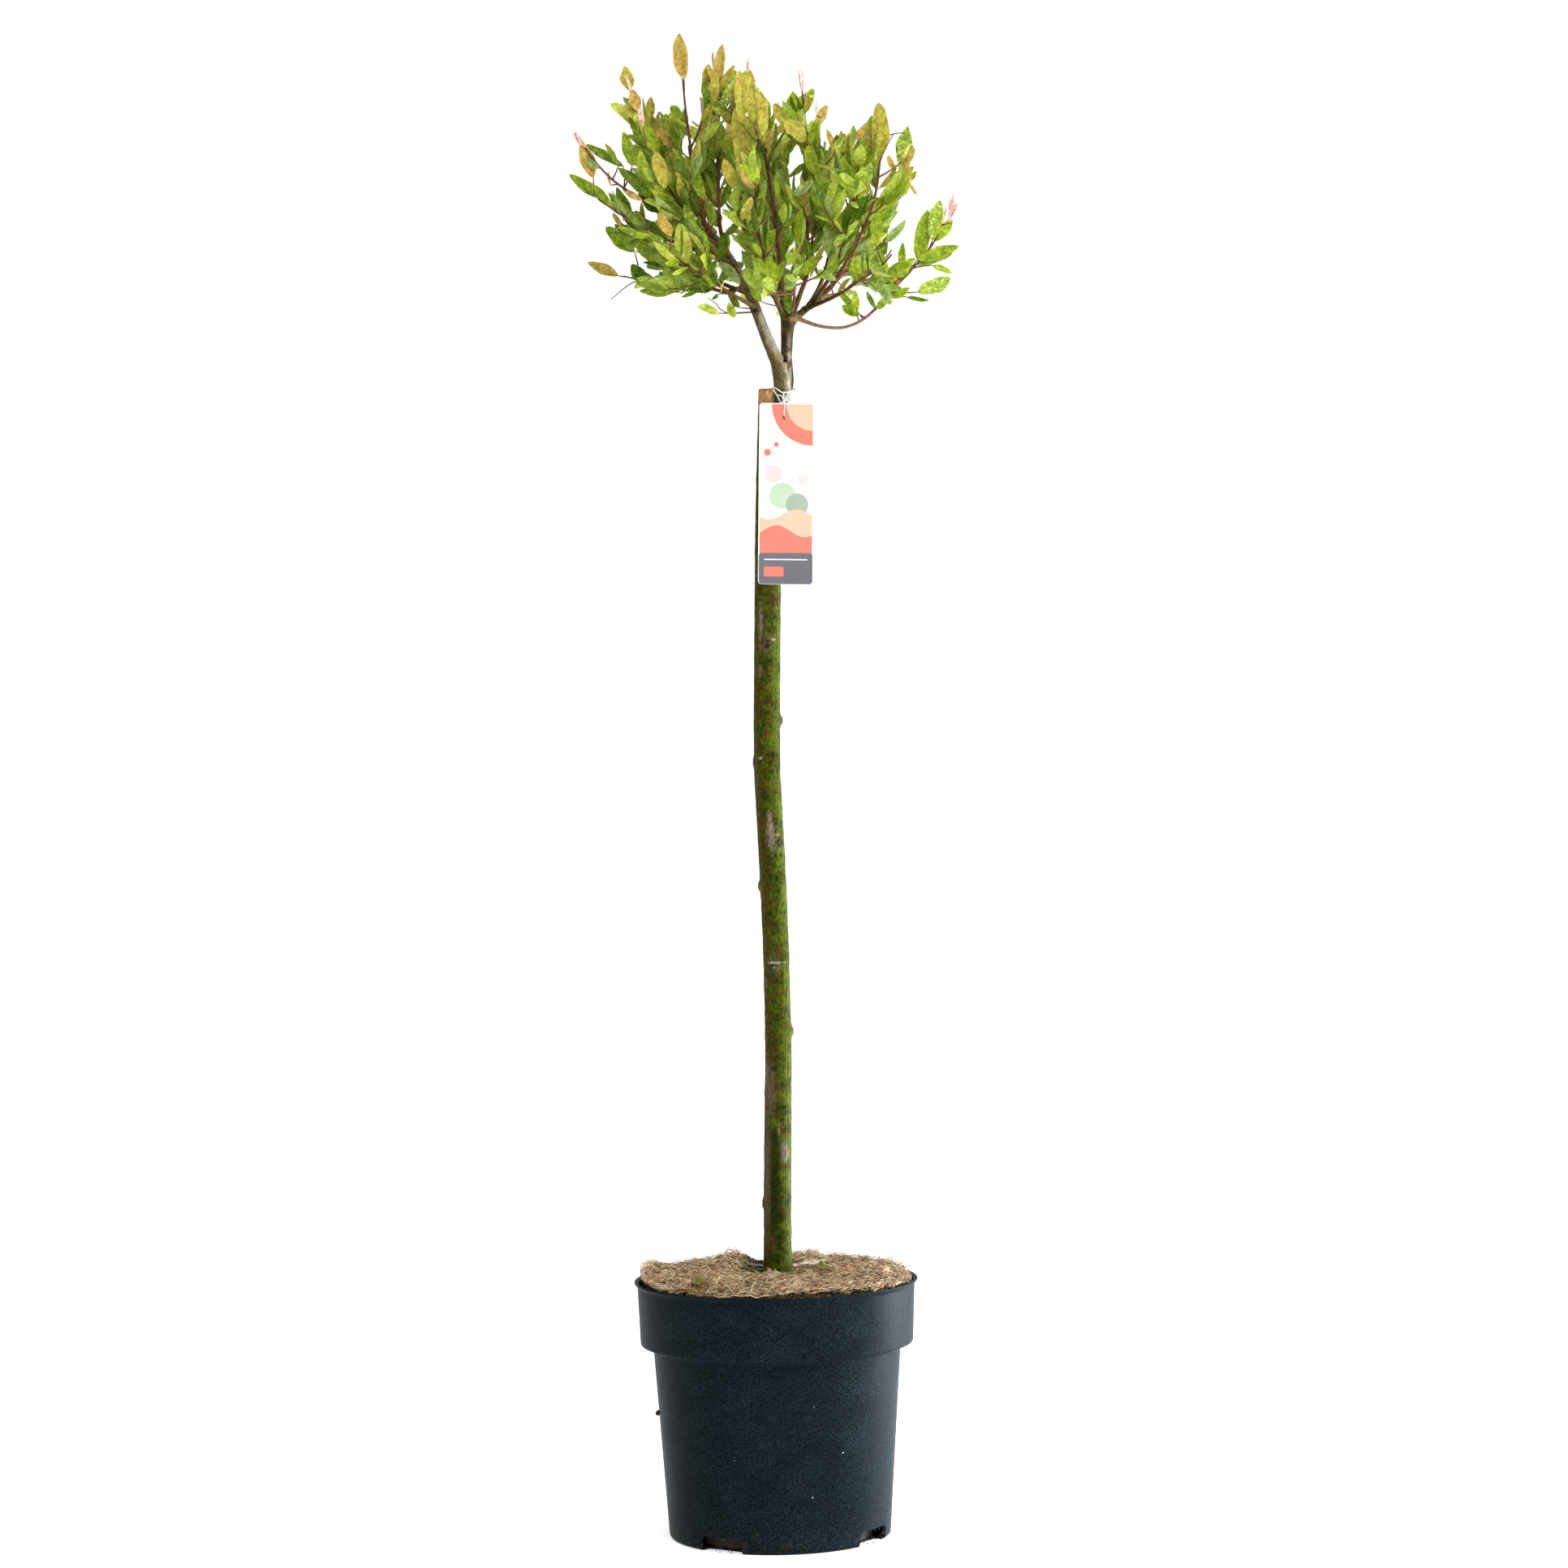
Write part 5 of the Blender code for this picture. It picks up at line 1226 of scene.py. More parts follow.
GREEN = (0.038, 0.072, 0.0020)
DEEP_GREEN = (0.017, 0.030, 0.002)
OLIVE = (0.096, 0.128, 0.011)
GREY_GREEN = (0.165, 0.160, 0.032)
RUSSET = (0.076, 0.036, 0.005)
BROWN = (0.095, 0.066, 0.036)
DARK = (0.022, 0.014, 0.009)
SCAR = (0.210, 0.160, 0.120)
CREAM = (0.420, 0.360, 0.220)
RED = (0.170, 0.060, 0.040)
BUD = (0.060, 0.050, 0.055)
CUT_WOOD = (0.560, 0.292, 0.122)
CUT_SHADE = (0.062, 0.038, 0.024)
GREY = (0.145, 0.104, 0.044)
PALE_GREY = (0.480, 0.440, 0.340)
GREY_BROWN = (0.078, 0.048, 0.019)
LIMB_DARK = (0.040, 0.026, 0.010)
RED_BROWN = (0.120, 0.040, 0.010)
TAN = (0.230, 0.165, 0.090)
BRANCH_OLIVE = (0.110, 0.078, 0.026)
ARCH_PINK = (0.290, 0.120, 0.070)

# Scars, buds and streaks of the trunk: bearing in degrees, height, half sizes, colour and strength
Mark = namedtuple("Mark", "bearing height wide tall colour strength")
STREAK = (0.145, 0.095, 0.062)
MARKS = [
    Mark(-58, 0.951, 0.0055, 0.0045, (0.070, 0.022, 0.012), 0.9),
    Mark(-122, 0.9285, 0.0022, 0.0170, SCAR, 0.8), Mark(-95, 0.9095, 0.0055, 0.0012, DARK, 0.7),
    Mark(-91, 0.905, 0.0026, 0.0038, DARK, 1.0), Mark(-62, 0.911, 0.0026, 0.0010, CREAM, 0.9),
    Mark(-120, 0.881, 0.0022, 0.0030, SCAR, 0.5), Mark(-122, 0.875, 0.0018, 0.0018, SCAR, 0.5),
    Mark(0, 0.828, 0.0060, 0.0050, BUD, 0.9), Mark(-165, 0.800, 0.0040, 0.0220, BROWN, 0.8),
    Mark(-160, 0.770, 0.0050, 0.0140, BROWN, 0.8), Mark(-121, 0.7905, 0.0022, 0.0009, CREAM, 0.9),
    Mark(-125, 0.787, 0.0030, 0.0016, DARK, 0.9), Mark(-88, 0.712, 0.0038, 0.0140, SCAR, 0.9),
    Mark(-90, 0.728, 0.0018, 0.0080, SCAR, 0.7), Mark(-52, 0.7045, 0.0034, 0.0036, DARK, 1.0),
    Mark(-52, 0.7045, 0.0010, 0.0010, SCAR, 1.0), Mark(-55, 0.7125, 0.0018, 0.0008, CREAM, 0.9),
    Mark(180, 0.660, 0.0060, 0.0050, GREY_GREEN, 0.8), Mark(-95, 0.5826, 0.0095, 0.0009, CREAM, 0.8),
    Mark(-104, 0.5785, 0.0045, 0.0022, DARK, 0.9), Mark(-101, 0.5777, 0.0014, 0.0011, CREAM, 0.7),
    Mark(-140, 0.5615, 0.0010, 0.0050, SCAR, 0.6), Mark(0, 0.5144, 0.0050, 0.0035, RED, 0.8),
    Mark(-125, 0.452, 0.0050, 0.0220, STREAK, 0.8), Mark(-150, 0.470, 0.0030, 0.0100, SCAR, 0.6),
    Mark(-85, 0.4135, 0.0008, 0.0070, CREAM, 0.6), Mark(-60, 0.390, 0.0036, 0.0090, SCAR, 0.9),
    Mark(-140, 0.357, 0.0045, 0.0520, STREAK, 0.8),
    Mark(-100, 0.355, 0.0052, 0.0550, (0.012, 0.020, 0.002), 0.85),
    Mark(-110, 0.294, 0.0020, 0.0040, RED, 0.6), Mark(-118, 0.302, 0.0040, 0.0018, RED, 0.5),
    Mark(-95, 0.2665, 0.0110, 0.0035, DARK, 0.9),
]


def trunk_tint(angle, height, marks):
    """Green bark mottled with russet, with its marks and a dry top; its sides and cut top carry painted
    light and shade.
    """
    place = polar(1, angle) * TRUNK_RADIUS + UP * height
    broad = noise.fractal(place * 75, 1.0, 2.0, 3)
    fine = noise.fractal(Vector((place.x * 420, place.y * 420, place.z * 170)), 1.0, 2.0, 3)
    blotch = noise.fractal(place * 260 + Vector((7, 3, 1)), 1.0, 2.0, 2)
    # Painted light: olive towards the front-right where the key light falls, deeper green towards the left
    # as painted shade over random mottling, and grey-green on the left edge as a painted highlight
    colour = blend(GREEN, OLIVE, 0.30 + 0.60 * math.cos(angle - math.radians(-15)) + 0.45 * fine)
    colour = blend(colour, DEEP_GREEN, 0.42 + 0.9 * broad + 1.1 * blotch - 0.35 * math.cos(angle))
    colour = blend(colour, GREY_GREEN, 0.75 * bump_shape(turn_from(angle, 180), 0, 0.75) * (0.8 + fine))
    colour = blend(colour, RUSSET, 2.2 * (0.04 - blotch) + 0.5 * (broad - 0.1) - 0.3 * math.cos(angle))
    for knot in KNOTS:
        turn = turn_from(angle, knot.bearing) * TRUNK_RADIUS
        rise = height - knot.height
        halo = math.exp(-((turn / 0.0062) ** 2) - (rise / (0.012 if rise > 0 else 0.0065)) ** 2)
        colour = blend(colour, SCAR, 0.35 * halo * (0.8 + 0.7 * fine))
    for mark in marks:
        turn = turn_from(angle, mark.bearing) * TRUNK_RADIUS
        reach = (turn / mark.wide) ** 2 + ((height - mark.height) / mark.tall) ** 2
        reach *= max(0.5, 1 + 1.1 * fine + 0.7 * blotch)
        colour = blend(colour, mark.colour, mark.strength * math.exp(-0.7 * reach**2))
    if height > TRUNK_TOP - 0.030:
        dry = (height - (TRUNK_TOP - 0.022) + 0.004 * broad) / 0.006
        # Painted shade on the right of the cut top, where the scion stands beside it
        shade = 1.1 * bump_shape(turn_from(angle, -55), 0, 0.40)
        wood = blend(CUT_WOOD, CUT_SHADE, shade + 0.5 * fine)
        colour = blend(colour, wood, 0.95 * min(1.0, dry))
    if height > TRUNK_TOP - 0.0019:
        colour = blend(colour, BROWN, 0.7)
    return colour


def trunk_relief(angle, height, lenticels):
    """How far the bark stands out at a bearing and height."""
    place = Vector((math.cos(angle) * 5, math.sin(angle) * 5, height * 60))
    relief = 0.00045 * noise.noise(place) + 0.00012 * noise.noise(place * 6)
    relief += 0.00010 * noise.noise(Vector((math.cos(angle) * 40, math.sin(angle) * 40, height * 90)))
    for knot in KNOTS:
        if abs(height - knot.height) < 0.03:
            turn = turn_from(angle, knot.bearing)
            out = bump_shape(height, knot.height, KNOT_SPREAD * 0.8) * bump_shape(turn, 0, 0.42)
            pit = bump_shape(height, knot.height, 0.0020) * bump_shape(turn, 0, 0.15)
            relief += knot.swell * out - min(knot.swell * 0.45, 0.0012) * pit
    for ring in (0.582, 0.908, 0.790):
        front = bump_shape(turn_from(angle, -95), 0, 0.8)
        relief += 0.0004 * front * bump_shape(height, ring + 0.0012 * math.sin(2.2 * angle), 0.0009)
    for spot_height, spot_angle, wide in lenticels:
        if abs(height - spot_height) < 0.002:
            turn = math.remainder(angle - spot_angle, FULL_TURN) * TRUNK_RADIUS
            relief += 0.00022 * bump_shape(height, spot_height, 0.0005) * bump_shape(turn, 0, wide)
    return relief


def make_trunk():
    """The green stock as one tube of bark with relief, marks and lenticels, and its cut top."""
    draw = random.Random(31)
    lenticels = []
    for _ in range(420):
        spot = (draw.uniform(0.27, 1.15), draw.uniform(-math.pi, math.pi), draw.uniform(0.0006, 0.0018))
        lenticels.append(spot)
    lenticels.sort()
    sides = 76
    foot = TRUNK_LINE[0][2]
    rings = 860
    points = []
    colours = []
    for ring in range(rings + 1):
        height = foot + (TRUNK_TOP - foot) * ring / rings
        near = [spot for spot in lenticels if abs(spot[0] - height) < 0.002]
        marks = [mark for mark in MARKS if abs(mark.height - height) < 2.2 * mark.tall]
        for step in range(sides):
            angle = FULL_TURN * step / sides
            radius = trunk_radius(height) + trunk_relief(angle, height, near)
            points.append(trunk_centre(height) + polar(1, angle) * radius)
            colours.append(trunk_tint(angle, height, marks))
    faces = ring_faces(rings + 1, sides)[:-1]
    top = len(points) - sides
    centre = trunk_centre(TRUNK_TOP)
    for share in (0.82, 0.45):
        for step in range(sides):
            point = points[top + step].lerp(centre, 1 - share)
            point.z += 0.0004 * noise.noise(point * 700)
            points.append(point)
            colours.append(blend(CUT_WOOD, BROWN, 0.35 + 0.5 * noise.noise(point * 500)))
    last = len(points) - sides
    for low in (top, top + sides):
        faces += strip_faces(low, low + sides, sides)
    faces.append(tuple(range(last, last + sides)))
    bark = painted_bark("trunk_bark", 0.56, 0.0003, 0.42, 1.38)
    made = add_piece("trunk_bark", (points, faces), [bark], ["trunk"])
    paint(made.data, colours)


def limb_lines():
    """(name, points, radii) of each bare limb, from inside its bough to just past its knee."""
    lines = []
    for shoot in SHOOTS:
        bare, leafy = shoot_line(shoot)
        lengths = distances_along(bare)
        radii = [shoot.limb * (1 - length / lengths[-1] / 3) for length in lengths]
        collar = [1 + 0.55 * math.exp(-length / 0.006) for length in lengths]
        foot = bare[0] - (bare[1] - bare[0]).normalized() * 0.003
        points = [foot, *bare, leafy[1].lerp(leafy[0], 0.5)]
        swollen = [radius * wide for radius, wide in zip(radii, collar)]
        lines.append((shoot.name, points, [swollen[0], *swollen, radii[-1]]))
    return lines


def shoot_line(shoot, step=0.007):
    """The bare limb's points and the leafy stem's points, on one smooth curve."""
    whole = smooth_line([*shoot.bare, *shoot.leafy], step)
    knee = Vector(shoot.bare[-1])
    split = min(range(len(whole)), key=lambda index: (whole[index] - knee).length)
    return whole[: split + 1], whole[split:]


# Patches on the head as the photograph shows them, a few of them painted highlight and painted shade:
# pixel, half sizes in pixels, colour and strength
Patch = namedtuple("Patch", "pixel size colour strength")
PATCHES = [
    # The three pale grey patches on the left bough are a painted highlight
    Patch((940, 392), (5.0, 10), PALE_GREY, 0.75), Patch((948, 410), (5.0, 12), PALE_GREY, 0.75),
    Patch((955, 428), (3.6, 9), PALE_GREY, 0.65), Patch((930, 383), (5.0, 2.2), DARK, 0.9),
    Patch((958.5, 439.5), (3.6, 7.5), (0.30, 0.21, 0.12), 0.85), Patch((953, 440), (2.0, 3.0), OLIVE, 0.7),
    Patch((968, 451.5), (3.2, 4.5), (0.30, 0.20, 0.11), 0.85),
    Patch((957.5, 458.5), (2.6, 4.8), (0.075, 0.055, 0.060), 0.85),
    Patch((966, 461), (2.6, 2.6), OLIVE, 0.8), Patch((963, 404), (2.0, 6.0), (0.24, 0.11, 0.035), 0.75),
    Patch((966.5, 418), (1.6, 14), DARK, 0.7), Patch((972, 422), (2.0, 8.0), (0.25, 0.20, 0.19), 0.75),
    # The pale patch at (972, 438) is a painted highlight on the right bough's edge
    Patch((976.5, 420), (1.8, 14), DARK, 0.6), Patch((972, 438), (2.2, 6.0), (0.46, 0.40, 0.29), 0.75),
    # Painted shade in the crotch between the boughs
    Patch((967, 444), (2.8, 4.2), (0.040, 0.010, 0.006), 0.95),
    Patch((973, 466), (2.0, 15), (0.44, 0.38, 0.27), 0.8), Patch((976.8, 466), (1.3, 15), DARK, 0.85),
    Patch((974, 394), (12, 12), (0.030, 0.024, 0.010), 0.75),
    Patch((972, 380.5), (4.2, 1.9), (0.20, 0.23, 0.03), 0.85),
    Patch((975, 393), (4.8, 2.6), (0.22, 0.11, 0.030), 0.85),
    Patch((985, 390), (5.0, 5.5), (0.13, 0.075, 0.032), 0.75), Patch((992.5, 383), (2.6, 2.2), DARK, 0.9),
]


def head_tint(place, normal, pixel, kind, share):
    """The head's bark: olive-brown, dark on the right, red-brown limbs, patches, with painted highlight
    towards the key light and painted shade away from it.
    """
    broad = noise.fractal(place * 110, 1.0, 2.0, 3)
    fine = noise.fractal(Vector((place.x * 700, place.y * 700, place.z * 160)), 1.0, 2.0, 2)
    # How far a face turns to the key light; below it paints highlight and shade into the bark's colour
    lit = normal.dot(Vector((0.80, -0.10, 0.50)))
    if kind in ("scion", "left"):
        # Scion and left bough: grey-brown and olive on the side away from the key light as painted shade,
        # pale grey towards it as painted highlight
        colour = blend(GREY, GREY_BROWN, 0.30 + 0.9 * broad - 0.3 * lit)
        far = 2.2 * (share - 0.62) if kind == "left" else 0.0
        colour = blend(colour, BRANCH_OLIVE, max(-0.9 * lit, far))
        colour = blend(colour, PALE_GREY, (lit - 0.22) * (0.8 + 0.9 * broad + 0.4 * fine))
    elif kind == "right":
        # Right bough: lighter on the side towards the key light, as painted light
        colour = blend(GREY_BROWN, GREY, 0.30 + 0.9 * broad + 0.3 * lit)
        colour = blend(colour, DARK, 0.30 + 0.9 * fine)
    elif kind == "arch":
        colour = blend(TAN, ARCH_PINK, 1.4 * share - 0.2 + 0.8 * broad)
    else:
        # Limbs: darker away from the key light as painted shade, tan towards it as painted highlight
        colour = blend(BRANCH_OLIVE, LIMB_DARK, 0.30 + 0.9 * broad - 0.8 * lit)
        colour = blend(colour, RED_BROWN, 1.4 * share - 0.35 + 0.5 * broad)
        colour = blend(colour, TAN, (lit - 0.30) * (1.4 - share + fine))
    colour = blend(colour, PALE_GREY, 0.4 * (fine - 0.62))
    if normal.y < 0.35 and kind in ("scion", "left", "right", "limb"):
        for patch in PATCHES:
            away = [(pixel[axis] - patch.pixel[axis]) / patch.size[axis] for axis in (0, 1)]
            reach = away[0] ** 2 + away[1] ** 2
            if reach < 4:
                reach *= max(0.5, 1 + 0.9 * fine + 0.5 * broad)
                colour = blend(colour, patch.colour, patch.strength * math.exp(-0.7 * reach**2))
    return colour


def make_head(limbs):
    """Scion, boughs and bare limbs as one skin that swells where they meet, with bark relief."""
    woods = [("scion", SCION), ("left", BOUGH_LEFT), ("right", BOUGH_RIGHT), ("arch", ARCH)]
    shells = []
    marks = []
    for kind, wood in woods:
        points, radii = wood_line(wood, 0.003)
        shells.append(tube(points, radii, 20))
        marks += [(point, kind, index / len(points)) for index, point in enumerate(points)]
    for _, points, radii in limbs:
        shells.append(tube(points, radii, 14))
        lengths = distances_along(points)
        marks += [(point, "limb", length / lengths[-1]) for point, length in zip(points, lengths)]
    shape = new_object("head_shape", new_mesh("head_shape", *joined(shells)))
    remesh = shape.modifiers.new("skin", "REMESH")
    remesh.mode = "VOXEL"
    remesh.voxel_size = 0.00072
    relax = shape.modifiers.new("relax", "SMOOTH")
    relax.factor = 0.5
    relax.iterations = 4
    skin = applied(shape)
    bpy.data.objects.remove(shape)
    tree = KDTree(len(marks))
    for index, (point, _, _) in enumerate(marks):
        tree.insert(point, index)
    tree.balance()
    count = len(skin.vertices)
    places = np.zeros(count * 3, np.float32)
    normals = np.zeros(count * 3, np.float32)
    skin.vertices.foreach_get("co", places)
    skin.vertex_normals.foreach_get("vector", normals)
    colours = []
    moved = []
    pixels, _ = pixels_of(places.reshape(-1, 3))
    for place, normal, pixel in zip(places.reshape(-1, 3), normals.reshape(-1, 3), pixels):
        place = Vector(place)
        _, index, _ = tree.find(place)
        _, kind, share = marks[index]
        colours.append(head_tint(place, Vector(normal), pixel, kind, share))
        size = 0.00035 if kind in ("scion", "left", "right") else 0.00012
        rough = noise.noise(Vector((place.x * 260, place.y * 260, place.z * 95)))
        ridges = noise.noise(place * 900)
        moved.append(place + Vector(normal) * (0.00025 + size * rough + size * 0.35 * ridges))
    skin.vertices.foreach_set("co", np.array(moved, np.float32).ravel())
    skin.update()
    skin.materials.append(painted_bark("head_bark", 0.60, 0.00035, 0.66, 1.30))
    replaced = ["scion", "bough_left", "bough_right", "limb_arch_inner", "limb_arch_outer"]
    replaced += ["limb_" + shoot.name for shoot in SHOOTS]
    made = finish_piece("head_bark", skin, replaced, 80)
    paint(made.data, colours)


# The foliage


Leaf = namedtuple("Leaf", "root heading side length width bend fold kind")


class Spaces:
    """Each mass keeps to the space that lies nearer to its own stem than to any other's."""

    def __init__(self, stems):
        self.names = list(stems)
        self.stems = {name: np.array(stem) for name, stem in stems.items()}

    def room(self, name, point):
        """How much nearer a point is to this mass's stem than to the nearest other one."""
        here = np.array(point)
        gaps = {known: np.min(np.sum((stem - here) ** 2, axis=1)) for known, stem in self.stems.items()}
        own = math.sqrt(gaps.pop(name))
        return math.sqrt(min(gaps.values())) - own


class Crowd:
    """All that has grown so far, so that a new leaf or twig can be kept out of it. It has room for MOST."""

    MOST = 9000

    def __init__(self):
        self.centres = np.zeros((self.MOST, 3))
        self.reaches = np.zeros(self.MOST)
        self.pieces = []

    def add(self, shell, tag):
        count = len(self.pieces)
        self.centres[count], self.reaches[count] = ball_round(shell)
        self.pieces.append((tree_of(shell), tag))

    def clear(self, shell, allowed):
        """Whether a shell cuts none of the others, apart from those with an allowed tag."""
        centre, reach = ball_round(shell)
        count = len(self.pieces)
        gaps = np.sqrt(np.sum((self.centres[:count] - centre) ** 2, axis=1))
        near = np.nonzero(gaps < self.reaches[:count] + reach)[0]
        tree = tree_of(shell)
        for index in near:
            other, tag = self.pieces[index]
            if tag not in allowed and tree.overlap(other):
                return False
        return True


def ball_round(shell):
    """(centre, radius) of a ball that holds a shell."""
    points = np.array(shell[0])
    centre = (points.min(axis=0) + points.max(axis=0)) / 2
    return centre, np.sqrt(np.max(np.sum((points - centre) ** 2, axis=1)))


def tree_of(shell):
    points, faces = shell
    return BVHTree.FromPolygons([tuple(point) for point in points], faces)


def leaf_proxy(root, heading, side, length, width, thickness=0.0014):
    """The six-cornered slab that stands for a leaf while room is sought for it."""
    face = side.cross(heading).normalized() * thickness / 2
    low = root + heading * length * 0.27
    high = root + heading * length * 0.68
    points = [
        root + face,
        low + side * width * 0.47 - face,
        high + side * width * 0.45 + face,
        root + heading * length - face,
        high - side * width * 0.45 + face,
        low - side * width * 0.47 - face,
    ]
    faces = [(0, 2, 4), (1, 5, 3)]
    for corner in (0, 2, 4):
        faces.append((corner, (corner + 1) % 6, (corner + 2) % 6))
        faces.append((corner, (corner + 5) % 6, (corner + 1) % 6))
    return points, faces


class View:
    """What a leaf may cover in the photograph: the crown, less the sky and the stems in plain view."""

    LEFT, TOP, WIDTH, HEIGHT = 640, 20, 600, 420
    STEM_HALF_WIDTH = 4.5

    def __init__(self, seen):
        rows, columns = np.mgrid[0 : self.HEIGHT, 0 : self.WIDTH]
        x = columns + self.LEFT + 0.5
        y = rows + self.TOP + 0.5
        self.open = np.zeros(x.shape, bool)
        for (x0, y0), (x1, y1) in zip(CROWN_OUTLINE, CROWN_OUTLINE[1:] + CROWN_OUTLINE[:1]):
            if y0 != y1:
                crossed = ((y0 > y) != (y1 > y)) & (x < x0 + (y - y0) * (x1 - x0) / (y1 - y0))
                self.open ^= crossed
        for (cx, cy), (half_x, half_y) in SKY:
            self.open &= ((x - cx) / half_x) ** 2 + ((y - cy) / half_y) ** 2 > 1
        self.nearest = np.full(x.shape, -9.0)
        for stem in seen:
            for (px, py), depth in zip(*pixels_of(stem)):
                near = (x - px) ** 2 + (y - py) ** 2 < self.STEM_HALF_WIDTH**2
                self.nearest = np.where(near, np.maximum(self.nearest, depth), self.nearest)

    def allows(self, points, sky=False):
        spots, depths = pixels_of(points)
        columns = np.clip((spots[:, 0] - self.LEFT).astype(int), 0, self.WIDTH - 1)
        rows = np.clip((spots[:, 1] - self.TOP).astype(int), 0, self.HEIGHT - 1)
        if not sky and np.any(self.nearest[rows, columns] > depths):
            return False
        return bool(np.all(self.open[rows, columns]))


def blade_samples(root, heading, side, length, width):
    """Points spread over a blade, to be looked up in the photograph's frame."""
    points = []
    for along, wide in ((0.10, 0.5), (0.35, 0.95), (0.60, 1.0), (0.82, 0.8), (1.0, 0.0)):
        for across in (-1, -0.4, 0.4, 1):
            points.append(root + heading * length * along + side * width / 2 * wide * across)
    return points


class Grove:
    """The whole crown as it grows: leaves, twigs and stalks."""

    def __init__(self, spaces, view):
        self.spaces = spaces
        self.view = view
        self.crowd = Crowd()
        self.leaves = []
        self.twigs = []
        self.stalks = []

    def takes(self, points):
        """Whether a blade with these points covers nothing in plain view and stays within reach."""
        return self.view.allows(points) and self.within(points)

    def within(self, points):
        """Whether the points stay inside the source's reach."""
        low, high = CAD_BOX
        places = np.array([tuple(point) for point in points])
        return bool(np.all(places > np.array(low) - 0.002) and np.all(places < np.array(high) + 0.002))


# A blade whose face looks this little towards the front is turned a little more
EDGE_ON = 0.30


def blade_side(root, way, heading, twist):
    """Across a blade that turns its face to the light outside the crown, as far as its stalk lets it."""
    outlook = (root - CROWN_HEART).normalized() + UP * 0.3
    across = outlook.cross(heading)
    natural = way.cross(heading).normalized()
    if across.dot(natural) < 0:
        natural = -natural
    side = (across + natural * 0.35).normalized()
    side = (side - heading * side.dot(heading)).normalized()
    side = Matrix.Rotation(twist, 3, heading) @ side
    if abs(side.cross(heading).dot(FORWARD)) < EDGE_ON:
        side = Matrix.Rotation(0.6, 3, heading) @ side
    return side


# How leaf colours are dealt out: each table holds for leaves less young than its limit, and gives each
# kind up to its own limit
LEAF_DEALS = [
    (0.10, [("deep", 0.22), ("mid", 0.56), ("fresh", 0.90), ("grey", 0.95), ("lime", 1.0)]),
    (0.45, [("deep", 0.26), ("mid", 0.68), ("fresh", 0.84), ("grey", 0.92), ("olive", 1.0)]),
    (0.72, [("deep", 0.10), ("mid", 0.44), ("fresh", 0.58), ("olive", 0.80), ("lime", 0.87), ("grey", 0.92),
            ("bronze", 0.96), ("dappled", 1.0)]),
    (math.inf, [("mid", 0.07), ("fresh", 0.17), ("olive", 0.52), ("lime", 0.64), ("dappled", 0.76),
                ("bronze", 0.97), ("cream", 1.0)]),
]


def leaf_kind(draw, tint, share, height):
    """Deals out a leaf's colour by its shoot's tint, its share of the shoot's length and its height."""
    young = 0.35 * share + 0.65 * (height - 1.27) / 0.21 + draw.uniform(-0.22, 0.22)
    if tint == "bronze":
        young += 0.06
    table = next(deal for limit, deal in LEAF_DEALS if young < limit)
    pick = draw.random()
    return next(kind for kind, limit in table if pick <= limit)


# How a leaf is turned, laid nearer to its twig and made smaller until it fits
LEAF_TRIES = [
    (0, 0, 1),
    (0.5, 0.15, 0.95),
    (-0.5, 0.15, 0.95),
    (0, 0.35, 0.8),
    (1.0, 0.1, 0.85),
    (-1.0, 0.1, 0.85),
    (0.2, 0.5, 0.62),
    (-0.8, 0.5, 0.55),
]


def try_leaf(grove, name, draw, at, bearing, spread, length, width, tags, kind):
    """Adds a leaf in the first of LEAF_TRIES that fits, or leaves it out. Says whether it was added."""
    node_point, way = at
    side_way = way.orthogonal().normalized()
    twist = draw.gauss(0, 0.55)
    bend = draw.uniform(-0.35, 0.80)
    fold = draw.uniform(0.08, 0.50)
    for turn, nearer, size in LEAF_TRIES:
        around = Matrix.Rotation(bearing + turn, 3, way) @ side_way
        angle = spread - nearer
        heading = (way * math.cos(angle) + around * math.sin(angle) + UP * 0.15).normalized()
        root = node_point + heading * STALK_LENGTH
        side = blade_side(root, way, heading, twist)
        samples = blade_samples(root, heading, side, length * size, width * size)
        if not grove.takes(samples):
            continue
        proxy = leaf_proxy(root, heading, side, length * size, width * size)
        if any(grove.spaces.room(name, point) < SPACE_MARGIN for point in proxy[0][1:]):
            continue
        if grove.crowd.clear(proxy, tags):
            grove.crowd.add(proxy, tags[-1])
            grove.leaves.append(Leaf(root, heading, side, length * size, width * size, bend, fold, kind))
            grove.stalks.append(([node_point, root, root + heading * 0.002], 0.00042))
            return True
    return False


def leafy_nodes(grove, name, draw, points, first, last, tag, bearing, kind_at, spacing, host=""):
    """Pairs of leaves along a twig, each turned a quarter from the last. Gives the last pair's place."""
    length = distances_along(points)[-1]
    place = first
    count = 0
    reached = 0.0
    while place < length - last:
        size = 0.84 + 0.22 * math.sin(math.pi * min(1.0, place / length + 0.1))
        turn = bearing + count * math.pi / 2 + draw.uniform(-0.25, 0.25)
        spread = draw.uniform(0.55, 0.95)
        at = place_on(points, place)
        for half in range(2):
            leaf_length = LEAF_LENGTH * size * draw.uniform(0.72, 1.18)
            width = LEAF_WIDTH * size * draw.uniform(0.62, 1.16)
            kind = kind_at(place / length, at[0].z)
            tags = (tag, host, f"{tag}_pair{count}")
            side = turn + half * math.pi
            if try_leaf(grove, name, draw, at, side, spread, leaf_length, width, tags, kind):
                reached = place
        place += spacing * draw.uniform(0.88, 1.12)
        count += 1
    return reached


